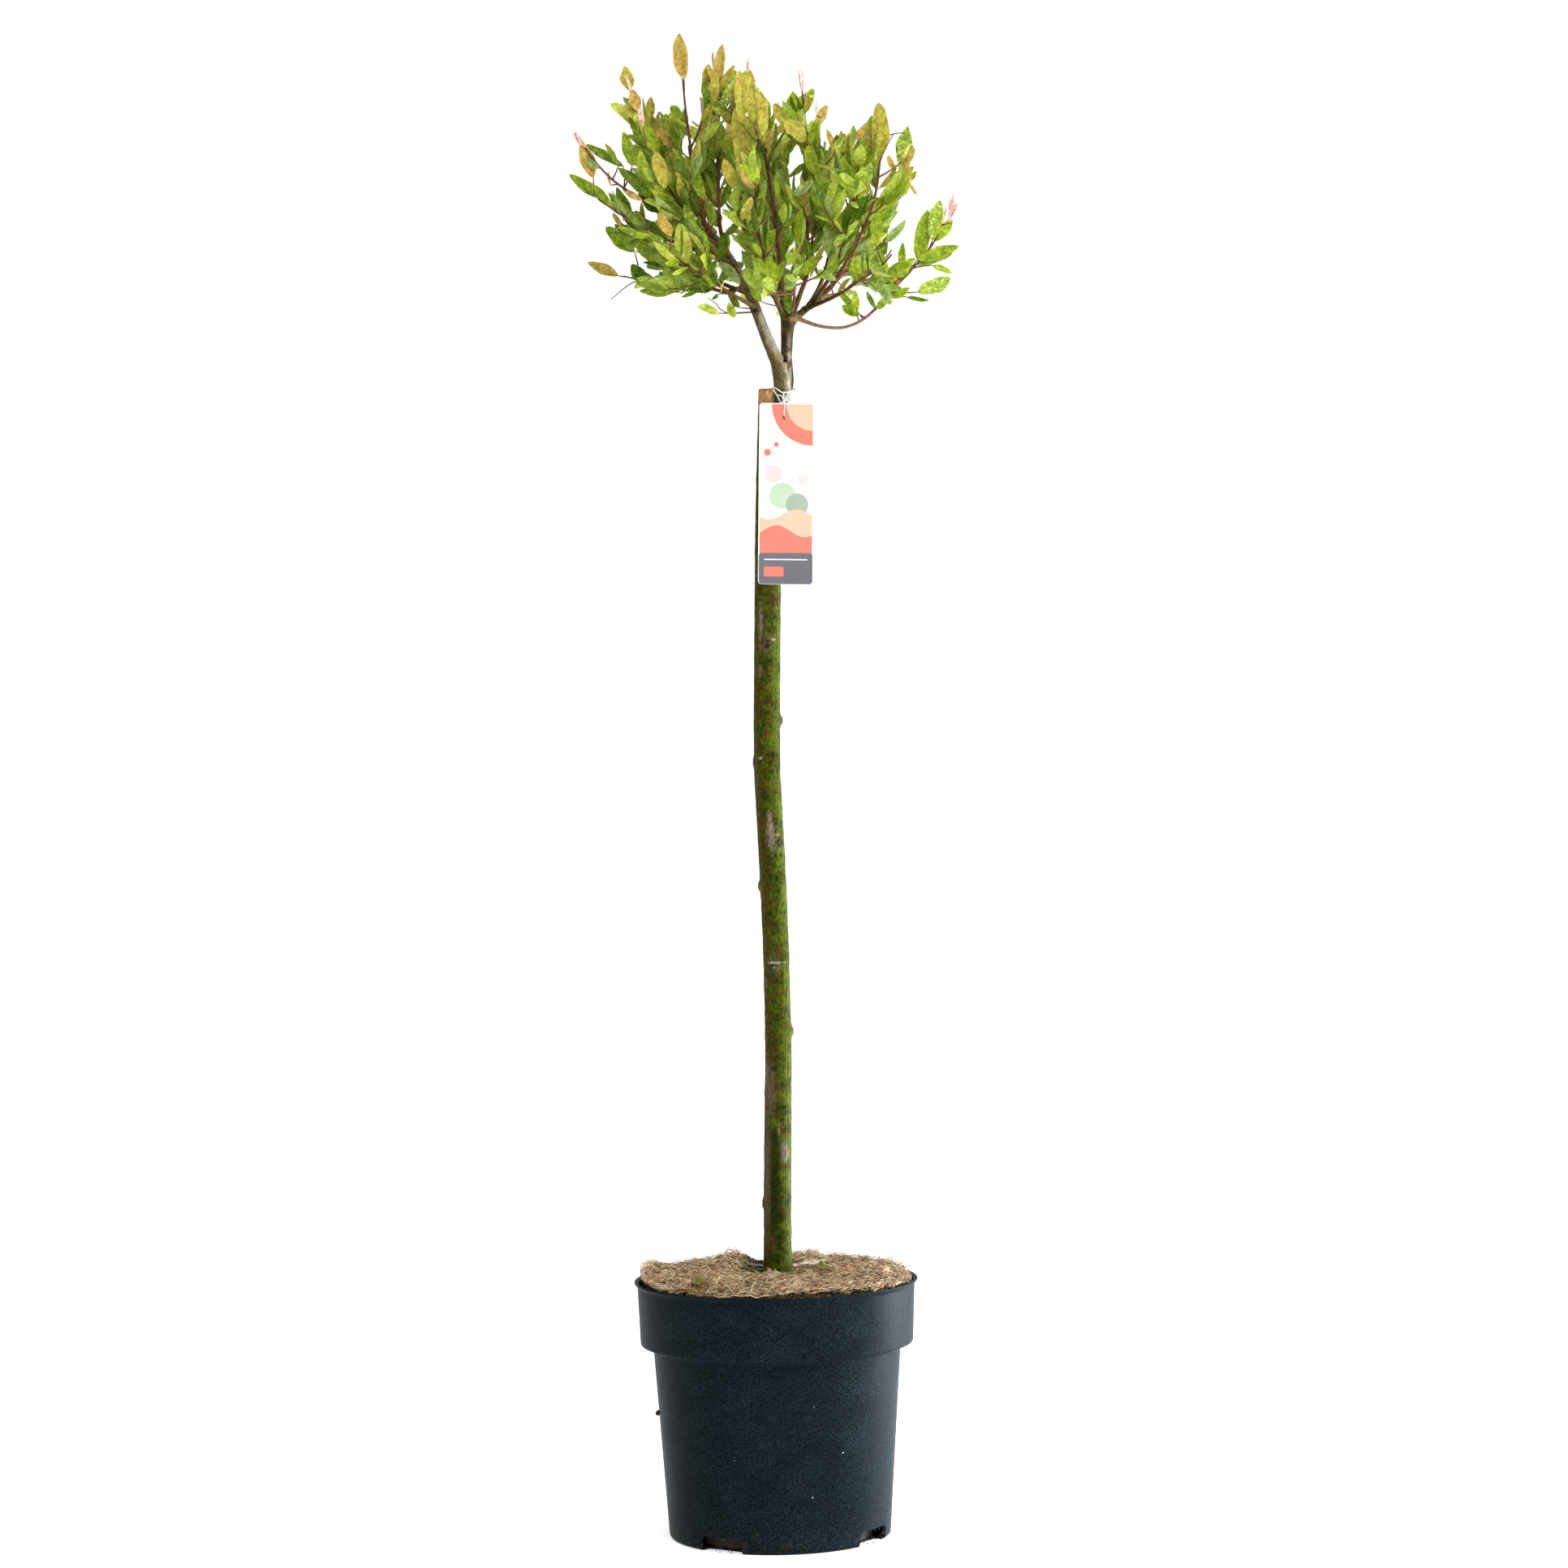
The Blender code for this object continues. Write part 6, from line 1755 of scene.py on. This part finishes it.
def end_leaf(grove, draw, tip, way, length, width, tag, kind):
    """The last leaf goes on from the twig's end, broad side to the front or the back."""
    side = (RIGHT - way * RIGHT.dot(way)).normalized()
    side = Matrix.Rotation(draw.uniform(-0.6, 0.6), 3, way) @ side
    if not grove.takes(blade_samples(tip, way, side, length, width)):
        return False
    proxy = leaf_proxy(tip, way, side, length, width)
    if grove.crowd.clear(proxy, {tag}):
        grove.crowd.add(proxy, tag + "_end")
        bend = draw.uniform(-0.1, 0.35)
        grove.leaves.append(Leaf(tip, way, side, length, width, bend, draw.uniform(0.15, 0.4), kind))
        return True
    return False


# The rolled young leaves at a pink shoot's tip: the longest one, and how much of the shoot they take up
CANDLE = (0.022, 0.027)
TALL_CANDLE = (0.031, 0.034)
CANDLE_LEAF_WIDTH = 0.0040


def candle(grove, draw, tip, way, tag, longest):
    """The rolled young leaves at a shoot's tip: a few slim blades held close together."""
    count = 3
    for blade in range(count):
        turn = Matrix.Rotation(blade * 2 * math.pi / count + draw.uniform(0, 0.5), 3, way)
        around = turn @ way.orthogonal().normalized()
        heading = (way + around * draw.uniform(0.02, 0.08)).normalized()
        side = heading.cross(around).normalized()
        length = longest * draw.uniform(0.75, 1)
        shade = "pink" if draw.random() < 0.8 else "cream"
        bend = draw.uniform(-0.2, 0.1)
        root = tip - way * 0.001
        grove.leaves.append(Leaf(root, heading, side, length, CANDLE_LEAF_WIDTH, bend, 0.9, shade))
    room = leaf_proxy(tip, way, way.orthogonal().normalized(), 0.027, 0.006, 0.005)
    grove.crowd.add(room, tag + "_candle")


def side_twig(grove, name, draw, at, bearing, reach, tag, radius, kind_at):
    """A side twig curves up as it grows and stops where it would leave its mass's space."""
    point, way = at
    angle = draw.uniform(0.70, 0.98)
    around = Matrix.Rotation(bearing, 3, way) @ way.orthogonal().normalized()
    heading = way * math.cos(angle) + around * math.sin(angle)
    points = [point]
    while (len(points) - 1) * TWIG_STEP < reach:
        ahead = points[-1] + heading * TWIG_STEP
        if grove.spaces.room(name, ahead) < TWIG_MARGIN or not grove.view.allows([ahead], sky=True):
            break
        if not grove.within([ahead]):
            break
        points.append(ahead)
        heading = (heading + UP * 0.08 + Vector([draw.uniform(-0.04, 0.04) for _ in range(3)])).normalized()
    if len(points) < 3:
        return
    radii = list(np.linspace(radius, 0.00055, len(points)))
    shell = tube(points, radii, 3)
    if not grove.crowd.clear(shell, {"stem_" + name}):
        return
    grove.crowd.add(shell, tag)
    way_out = (points[-1] - points[-2]).normalized()
    size = draw.uniform(0.7, 0.95)
    kind = kind_at(1.0, points[-1].z)
    ended = end_leaf(grove, draw, points[-1], way_out, LEAF_LENGTH * size, LEAF_WIDTH * 0.85, tag, kind)
    reached = leafy_nodes(grove, name, draw, points, 0.008, 0.003, tag, bearing, kind_at, NODE_SPACING)
    if not ended and reached:
        points = cut_short(points, reached + 0.001)
        radii = radii[: len(points)]
    if ended or reached:
        grove.twigs.append((points, radii))


def grow_mass(grove, shoot, line, seed):
    """The stem carries side twigs in a golden-angle spiral and pairs of leaves between them."""
    draw = random.Random(seed)
    name = shoot.name
    longest, crown_end = TALL_CANDLE if name == "top_right" else CANDLE
    if shoot.tint != "pink":
        crown_end = LEAF_LENGTH
    stem = cut_short(line, distances_along(line)[-1] - crown_end)
    radii = list(np.linspace(shoot.limb * 2 / 3, 0.0008, len(stem)))
    tag = "stem_" + name
    grove.crowd.add(tube(stem[::2] + stem[-1:], radii[::2] + radii[-1:], 4), tag)
    grove.twigs.append((stem, radii))
    way = (line[-1] - stem[-1]).normalized()
    if shoot.tint == "pink":
        candle(grove, draw, stem[-1], way, tag, longest)
    elif name != "leader":
        kind = "bronze" if shoot.tint == "bronze" else "fresh"
        end_leaf(grove, draw, stem[-1], way, LEAF_LENGTH, LEAF_WIDTH, tag, kind)
    length = distances_along(stem)[-1]
    bearing = draw.uniform(0, FULL_TURN)
    place = 0.010
    number = 0
    while place < 0.88 * length:
        reach = TWIG_REACH * (1.1 - 0.62 * place / length)
        share = place / length

        def kind_at(along, height, share=share):
            return leaf_kind(draw, shoot.tint, share + 0.25 * along, height)

        at = place_on(stem, place)
        side_twig(grove, name, draw, at, bearing, reach, f"{name}_{number}", 0.0010, kind_at)
        bearing += GOLDEN_ANGLE
        place += TWIG_SPACING
        number += 1

    def stem_kind(along, height):
        return leaf_kind(draw, shoot.tint, along * 1.05, height)

    leafy_nodes(grove, name, draw, stem, 0.006, 0.002, tag, bearing, stem_kind, NODE_SPACING * 0.8)
    limb = shoot_line(shoot)[0]
    bare = distances_along(limb)[-1] * 0.45
    spacing = NODE_SPACING * 1.2
    leafy_nodes(grove, name, draw, limb, bare, 0.002, tag, bearing + 1, stem_kind, spacing, "limb_" + name)


def grow_showy(grove, stems):
    """The leaves that stand out in the photograph, each on its own twig from the nearest stem."""
    draw = random.Random(77)
    lines = []
    for name, stem in stems.items():
        lines += [(point, name) for point in stem]
    for shoot in SHOOTS:
        lines += [(point, shoot.name) for point in shoot_line(shoot)[0][2:]]
    lines += [(point, "arch") for point in smooth_line(ARCH.line, 0.004)[4:]]
    for wood in (BOUGH_LEFT, BOUGH_RIGHT):
        lines += [(point, "bough") for point in smooth_line(wood.line, 0.004)[12:]]
    spots, depths = pixels_of([point for point, _ in lines])
    for showy in SHOWY:
        behind = [root + 0.30 * (root - tip) for root, tip in zip(showy.root, showy.tip)]
        gaps = np.hypot(spots[:, 0] - behind[0], spots[:, 1] - behind[1])
        gaps += 40 * (spots[:, 1] < showy.root[1] - 2)
        if showy.front:
            gaps += 60 * (depths > -0.03)
        nearest = int(np.argmin(gaps))
        foot = lines[nearest][0]
        for nudge in (0, -0.008, 0.008, -0.016, 0.016, -0.026, 0.026):
            depth = depths[nearest] + nudge - (0.012 if showy.front else 0)
            root = photo_point(showy.root, depth)
            tip = photo_point(showy.tip, depth + draw.uniform(-0.006, 0.006))
            heading = (tip - root).normalized()
            length = (tip - root).length
            flat = heading.cross(FORWARD).normalized()
            side = Matrix.Rotation(draw.uniform(-0.35, 0.35), 3, heading) @ flat
            width = showy.width * PHOTO_SCALE
            proxy = leaf_proxy(root, heading, side, length, width)
            if showy.kind == "bare" or grove.crowd.clear(proxy, ()):
                break
        else:
            continue
        gap = (root - foot).length
        line = smooth_line([foot, foot.lerp(root, 0.6) - heading * gap * 0.05, root], 0.007)
        if showy.kind == "bare":
            line = smooth_line([foot, root, root.lerp(tip, 0.5) + UP * 0.001, tip], 0.007)
            grove.twigs.append((line, list(np.linspace(0.0008, 0.0004, len(line)))))
            continue
        grove.twigs.append((line, list(np.linspace(0.0009, 0.0005, len(line)))))
        grove.crowd.add(tube(line, [0.0009] * len(line), 3), "showy_twig")
        grove.crowd.add(proxy, "showy")
        if showy.kind in ("pink", "cream"):
            for turn in (-0.08, 0.0, 0.09) if showy.width > 7 else (0.0, 0.03):
                way = Matrix.Rotation(turn, 3, FORWARD) @ heading
                around = Matrix.Rotation(draw.uniform(0, 6.28), 3, way) @ side
                short = length * (1 - abs(turn))
                grove.leaves.append(Leaf(root, way, around, short, width * 0.60, 0.08, 0.8, showy.kind))
        else:
            bend = draw.uniform(-0.12, 0.22)
            fold = draw.uniform(0.12, 0.4)
            grove.leaves.append(Leaf(root, heading, side, length, width, bend, fold, showy.kind))


def cut_short(points, length):
    """The part of a line from its start to this length."""
    lengths = distances_along(points)
    kept = [point for point, reached in zip(points, lengths) if reached < length - 0.002]
    after = points[len(kept)]
    share = (length - lengths[len(kept) - 1]) / (lengths[len(kept)] - lengths[len(kept) - 1])
    kept.append(kept[-1].lerp(after, share))
    return kept


# From here on a blade has its waist's and its tip's colour
WAIST_START = 0.35
TIP_START = 0.70

# A blade's net: where its rows are along it and its columns across it
ROWS = np.array([0.0, 0.07, 0.20, 0.36, 0.53, 0.70, 0.85, 0.95, 1.0])
COLUMNS = np.array([-1.0, -0.52, -0.06, 0.06, 0.52, 1.0])


def outline(t, blunt):
    """A blade's half width along it, as a share of its widest: from lance-shaped to broadly elliptic."""
    broad = np.clip(1 - np.abs(2 * t - 1) ** 2.3, 0, 1) ** 0.62
    lance = np.sin(np.pi * np.clip(t, 0, 1) ** 0.88) ** 0.9
    body = blunt * broad + (1 - blunt) * lance
    return np.maximum(body, np.interp(t, [0.0, 0.5, 1.0], [0.07, 0.0, 0.02]))


def blade_faces():
    """(faces, slots) of one blade. The slots: 0 foot, 1 midrib strip, 2 lower side, 3 tip, 4 waist."""
    rows, columns = len(ROWS), len(COLUMNS)

    def upper(row, column):
        return row * columns + column

    def lower(row, column):
        if row in (0, rows - 1) or column in (0, columns - 1):
            return upper(row, column)
        return rows * columns + (row - 1) * (columns - 2) + column - 1

    faces = []
    slots = []
    for row in range(rows - 1):
        for column in range(columns - 1):
            corners = [(row, column), (row, column + 1), (row + 1, column + 1), (row + 1, column)]
            faces.append([upper(*corner) for corner in corners])
            body = 3 if ROWS[row] >= TIP_START else 4 if ROWS[row] >= WAIST_START else 0
            slots.append(1 if column == (columns - 1) // 2 else body)
            faces.append([lower(*corner) for corner in reversed(corners)])
            slots.append(2)
    return np.array(faces), np.array(slots)


def blade_points(leaves, seed):
    """The net's points for many leaves at once, and each point's place on its blade."""
    rng = np.random.default_rng(seed)
    count = len(leaves)

    def all_of(part):
        return np.array([getattr(leaf, part) for leaf in leaves])

    root, heading, side = all_of("root"), all_of("heading"), all_of("side")
    face = np.cross(side, heading)
    sizes = (all_of(part)[:, None, None] for part in ("length", "width", "bend", "fold"))
    length, width, bend, fold = sizes
    bend = np.where(np.abs(bend) < 0.01, 0.01, bend)
    t = ROWS[None, :, None]
    u = COLUMNS[None, None, :]
    along = length * np.sin(bend * t) / bend
    drop = length * (1 - np.cos(bend * t)) / bend
    phase = rng.uniform(0, 2 * np.pi, (count, 1, 1))
    slim = np.array([leaf.kind in ("pink", "cream") for leaf in leaves])[:, None, None]
    half = outline(t, np.where(slim, 0.0, rng.uniform(0.1, 0.9, (count, 1, 1)))) * width / 2
    half = half * (1 + 0.10 * np.sin(9 * t + 2 * phase + 0.8 * np.sign(u)))
    half = half * (1 + rng.uniform(-0.16, 0.16, (count, 1, 1)) * np.sign(u))
    across = u * half
    ripple = 0.0007 * np.sin(2 * np.pi * 2.2 * t + phase + 1.5 * np.sign(u)) * np.abs(u) ** 3
    lift = fold * np.abs(across) - 0.35 * fold * across**2 / (width / 2) + ripple * np.minimum(1, 40 * half)
    sway = 0.12 * width * np.sin(np.pi * t + phase) * t
    heading, side, face = (part[:, None, None, :] for part in (heading, side, face))
    sine, cosine = np.sin(bend * t)[..., None], np.cos(bend * t)[..., None]
    normal = face * cosine + heading * sine
    upper = root[:, None, None, :] + heading * along[..., None] - face * drop[..., None]
    upper = upper + side * (across + sway)[..., None] + normal * lift[..., None]
    lower = (upper - normal * LEAF_THICKNESS)[:, 1:-1, 1:-1]
    points = np.concatenate([upper.reshape(count, -1, 3), lower.reshape(count, -1, 3)], axis=1)
    spots = np.stack(np.broadcast_arrays(u, t), axis=-1)[0]
    spots = np.concatenate([spots.reshape(-1, 2), spots[1:-1, 1:-1].reshape(-1, 2)])
    return points, spots


def make_leaves(name, leaves, materials, seed):
    """One joined mesh of blades."""
    faces, slots = blade_faces()
    points, spots = blade_points(leaves, seed)
    count, size = points.shape[:2]
    all_faces = (faces[None] + np.arange(count)[:, None, None] * size).reshape(-1, 4)
    mesh = new_mesh(name, points.reshape(-1, 3).tolist(), all_faces.tolist())
    for material in materials:
        mesh.materials.append(material)
    mesh.polygons.foreach_set("material_index", np.tile(slots, count).astype(np.int32))
    layer = mesh.uv_layers.new(name="blade")
    corners = np.zeros(len(mesh.loops), np.int32)
    mesh.loops.foreach_get("vertex_index", corners)
    layer.data.foreach_set("uv", np.tile(spots, (count, 1))[corners].astype(np.float32).ravel())
    return finish_piece(name, mesh, smooth=60)


# Each kind's two tints, its tip's tint and how strongly pale flecks show on it
Tint = namedtuple("Tint", "dark light tip flecks")
LEAF_TINTS = {
    "deep": Tint((0.056, 0.106, 0.0010), (0.130, 0.188, 0.003), (0.070, 0.124, 0.002), 0.16),
    "mid": Tint((0.122, 0.198, 0.0015), (0.275, 0.325, 0.008), (0.150, 0.226, 0.004), 0.26),
    "fresh": Tint((0.225, 0.320, 0.004), (0.400, 0.465, 0.022), (0.265, 0.365, 0.010), 0.32),
    "lime": Tint((0.430, 0.500, 0.030), (0.600, 0.630, 0.110), (0.450, 0.520, 0.050), 0.42),
    "olive": Tint((0.270, 0.255, 0.016), (0.450, 0.385, 0.055), (0.400, 0.265, 0.035), 0.26),
    "bronze": Tint((0.400, 0.220, 0.036), (0.540, 0.345, 0.090), (0.440, 0.300, 0.060), 0.24),
    "dappled": Tint((0.165, 0.270, 0.010), (0.340, 0.430, 0.050), (0.240, 0.320, 0.025), 1.0),
    "grey": Tint((0.200, 0.280, 0.070), (0.330, 0.400, 0.125), (0.230, 0.310, 0.085), 0.34),
    "pink": Tint((0.860, 0.400, 0.320), (0.910, 0.560, 0.520), (0.920, 0.640, 0.620), 0.10),
    "cream": Tint((0.860, 0.600, 0.400), (0.900, 0.720, 0.560), (0.900, 0.620, 0.500), 0.10),
}


def towards(colour, target, share):
    return tuple(a + (b - a) * share for a, b in zip(colour, target))


def make_foliage(grove):
    """A piece for each kind of leaf, one for all twigs and one for all stalks."""
    for seed, (kind, tint) in enumerate(LEAF_TINTS.items()):
        leaves = [leaf for leaf in grove.leaves if leaf.kind == kind]
        young = kind in ("pink", "cream")
        pale = tint.light if young else (0.58, 0.62, 0.18)
        under = tint.tip if young else (0.31, 0.38, 0.07)
        dark, light, tip, flecks = tint
        waist = (towards(dark, tip, 0.5), towards(light, tip, 0.3))
        looks = {
            "": (dark, light, 0.46, 0.35, flecks),
            "_rib": (towards(dark, pale, 0.2), towards(light, pale, 0.2), 0.5, 0.0, 0.1),
            "_under": (towards(dark, under, 0.4), towards(light, under, 0.4), 0.6, 0.5, 0.1),
            "_tip": (tip, towards(tip, light, 0.8), 0.46, 0.35, flecks),
            "_waist": (*waist, 0.46, 0.35, flecks),
        }
        materials = [leaf_material(f"leaf_{kind}{part}", *look) for part, look in looks.items()]
        make_leaves("leaves_" + kind, leaves, materials, 40 + seed)
    shells = [tube(points, radii, 7) for points, radii in grove.twigs]
    stops = [(0.3, (0.048, 0.022, 0.006)), (0.5, (0.118, 0.036, 0.010)), (0.75, (0.190, 0.085, 0.028))]
    bark = mottled("twig_bark", stops, 240, 0.42, 0.0002, (1, 1, 0.4), 0.25)
    add_piece("twigs", joined(shells), [bark], ["foliage_" + shoot.name for shoot in SHOOTS])
    stops = [(0.3, (0.22, 0.18, 0.03)), (0.7, (0.36, 0.28, 0.06))]
    stalk = mottled("stalk", stops, 300, 0.5, 0.0001, specular=0.25)
    shells = [tube(line, [wide] * 3, 4) for line, wide in grove.stalks]
    add_piece("stalks", joined(shells), [stalk])


def grow_crown(limbs):
    """Grows the showy leaves first and then each mass into the space that is left."""
    stems = {shoot.name: shoot_line(shoot)[1] for shoot in SHOOTS}
    seen = []
    for shoot in SHOOTS:
        if shoot.name in SEEN_STEMS:
            line = smooth_line(shoot_line(shoot)[0] + stems[shoot.name], 0.002)
            seen.append(line[: int(len(line) * SEEN_STEMS[shoot.name])])
    spaces = Spaces({name: [tuple(point) for point in stem] for name, stem in stems.items()})
    grove = Grove(spaces, View(seen))
    for name, points, radii in limbs:
        grove.crowd.add(tube(points[:-1], [radius + 0.0005 for radius in radii[:-1]], 5), "limb_" + name)
    for kind, wood in (("left", BOUGH_LEFT), ("right", BOUGH_RIGHT), ("arch", ARCH)):
        points, radii = wood_line(wood, 0.006)
        grove.crowd.add(tube(points, [radius + 0.0005 for radius in radii], 6), "bough_" + kind)
    grow_showy(grove, stems)
    for seed, shoot in enumerate(SHOOTS):
        grow_mass(grove, shoot, stems[shoot.name], 200 + seed)
    return grove


# The label and its tie


def label_place():
    return Matrix.Translation(Vector(LABEL_CENTRE)) @ Matrix.Rotation(LABEL_LEAN, 4, "Y")


def slab(outline_points, low, high):
    """A flat closed slab from an outline in the label's own plane, between two depths."""
    place = label_place()
    points = [place @ Vector((across, low, up)) for across, up in outline_points]
    points += [place @ Vector((across, high, up)) for across, up in outline_points]
    return points, prism_faces(len(outline_points))


def round_rectangle(left, right, low, high, corner):
    points = []
    corners = ((right, high, 0), (left, high, 90), (left, low, 180), (right, low, 270))
    for across, up, start in corners:
        for step in range(5):
            angle = math.radians(start + 22.5 * step)
            inward = across - corner if across == right else across + corner
            level = up - corner if up == high else up + corner
            points.append((inward + corner * math.cos(angle), level + corner * math.sin(angle)))
    return points


def disc(centre, radius, start=0, end=360, steps=28):
    """The outline of a disc or, with its centre, of a slice of one. Millimetres on the label."""
    points = []
    for step in range(steps + (end - start < 360)):
        angle = math.radians(start + (end - start) * step / steps)
        points.append((centre[0] + radius * math.cos(angle), centre[1] + radius * math.sin(angle)))
    if end - start < 360:
        points.append(centre)
    return points


def hill(left, right, foot, level, swell, phase):
    """A wavy hill from the foot line up, as an outline."""
    top = []
    for step in range(25):
        across = right + (left - right) * step / 24
        top.append((across, level + swell * math.sin(across * 0.11 + phase)))
    return [(left, foot), (right, foot), *top]


# Each area of ink stands out by this much from the one under it
INK_THICKNESS = 0.00003


def make_label():
    """A white card with a plain generic print: a low sun, round bushes and waves over a grey foot."""
    half = LABEL_THICKNESS / 2
    wide, tall = LABEL_WIDTH / 2, LABEL_HEIGHT / 2
    stops = [(0.3, (0.86, 0.855, 0.85)), (0.7, (0.92, 0.915, 0.91))]
    white = mottled("label_white", stops, 30, 0.38, 0.00005, specular=0.3)
    sheet = slab(round_rectangle(-wide, wide, -tall, tall, 0.0035), -half, half)
    add_piece("label_sheet", sheet, [white], ["label_card"], smooth=30)
    inks = {
        "coral": (0.90, 0.205, 0.150),
        "peach": (0.93, 0.52, 0.36),
        "blush": (0.90, 0.62, 0.60),
        "leafy": (0.52, 0.66, 0.46),
        "sage": (0.36, 0.45, 0.34),
        "slate": (0.150, 0.142, 0.160),
        "paper": (0.86, 0.85, 0.85),
    }
    prints = [
        ("coral", disc((26.6, 91.0), 42.0, 180, 270)),
        ("peach", disc((26.6, 91.0), 27.0, 180, 270)),
        ("blush", disc((-13.5, 20.0), 9.5)),
        ("leafy", disc((-4.0, -2.0), 13.5)),
        ("sage", disc((11.0, -11.0), 11.5)),
        ("blush", disc((17.0, 14.0), 5.5)),
        ("coral", disc((-19.5, 42.0), 3.6)),
        ("coral", disc((-10.5, 50.0), 2.6)),
        ("peach", hill(-26.6, 26.6, -62.0, -21.0, 5.0, 0.4)),
        ("coral", hill(-26.6, 26.6, -62.0, -38.0, 6.0, 2.6)),
        ("slate", round_rectangle(-27.2, 27.2, -91.6, -60.0, 3.0)),
        ("coral", round_rectangle(-22.0, -2.0, -84.0, -74.0, 2.0)),
        ("paper", round_rectangle(-22.0, 22.0, -67.4, -66.2, 0.5)),
    ]
    names = list(inks)
    shells = []
    slots = []
    for layer, (ink, outline_points) in enumerate(prints):
        low = -half - INK_THICKNESS * (layer + 1)
        shell = slab([(across / 1000, up / 1000) for across, up in outline_points], low, -half + 0.0001)
        shells.append(shell)
        slots += [names.index(ink)] * len(shell[1])
    paints = []
    for ink, colour in inks.items():
        stops = [(0.3, [part * 0.93 for part in colour]), (0.7, colour)]
        paints.append(mottled(f"label_{ink}", stops, 40, 0.40, 0.00005, specular=0.3))
    add_piece("label_print", joined(shells), paints, slots=slots, smooth=20)
    low, high = (photo_point(pixel, LABEL_CENTRE[1] - half - 0.0005) for pixel in LABEL_SLIT)
    along = (high - low) / 2
    slit = []
    for turn in np.linspace(0, 6.05, 16):
        slit.append((low + high) / 2 + RIGHT * SLIT_HALF_WIDTH * math.cos(turn) + along * math.sin(turn))
    back = [point - FORWARD * 0.0004 for point in slit]
    stops = [(0.3, (0.05, 0.04, 0.03)), (0.7, (0.10, 0.07, 0.05))]
    dark = mottled("label_hole_shade", stops, 300, 0.7, 0.0001)
    shell = (slit + back, prism_faces(len(slit)))
    add_piece("label_hole_shade", shell, [dark], smooth=30)


def make_tie():
    """The soft white hoop round both stems, its strands gathered over the graft and the label's strap."""
    white = mottled("tie_white", [(0.3, (0.62, 0.61, 0.60)), (0.7, (0.86, 0.85, 0.84))], 260, 0.42, 0.0001)
    bearings, lifts = zip(*TIE_COURSE)
    hoop = []
    for step in range(48):
        angle = FULL_TURN * step / 48
        spoke = Vector((math.cos(angle), math.sin(angle)))
        stem, radius = max(TIE_STEMS, key=lambda known: known[0].dot(spoke) + known[1])
        reach = stem + spoke * (radius + TIE_RADIUS + TIE_SLACK)
        lift = float(np.interp(math.degrees(angle), bearings, lifts))
        hoop.append(Vector((reach.x, reach.y, TIE_LEVEL + lift)))
    shells = [cord_ring(hoop)]
    for number, strand in enumerate(TIE_STRANDS):
        line = smooth_line([photo_point(pixel, TIE_FRONT - 0.0004 * number) for pixel in strand], 0.001)
        shells.append(tube(line, [TIE_RADIUS * 0.75] * len(line), 8))
    front = LABEL_CENTRE[1] - LABEL_THICKNESS / 2 - TIE_RADIUS * 0.8
    line = smooth_line([photo_point(pixel, front) for pixel in TIE_STRAP], 0.001)
    shells.append(tube(line, [TIE_RADIUS * 0.8] * len(line), 8))
    add_piece("tie", joined(shells), [white], ["label_tie"])


def cord_ring(points, sides=10):
    """A closed ring of round cord through the points of a nearly level convex loop."""
    middle = sum(points, Vector()) / len(points)
    shell = []
    for index, point in enumerate(points):
        way = (points[(index + 1) % len(points)] - points[index - 1]).normalized()
        out = way.cross(UP).normalized()
        if out.dot(point - middle) < 0:
            out = -out
        over = way.cross(out)
        for side in range(sides):
            turn = FULL_TURN * side / sides
            shell.append(point + (out * math.cos(turn) + over * math.sin(turn)) * TIE_RADIUS)
    faces = []
    for step in range(len(points)):
        faces += strip_faces(step * sides, (step + 1) % len(points) * sides, sides)
    return shell, faces


def main():
    make_camera()
    make_light()
    make_pot()
    make_coir_mat()
    make_mat_details()
    make_soil()
    make_pot_marks()
    make_trunk()
    limbs = limb_lines()
    make_head(limbs)
    make_foliage(grow_crown(limbs))
    make_label()
    make_tie()


main()
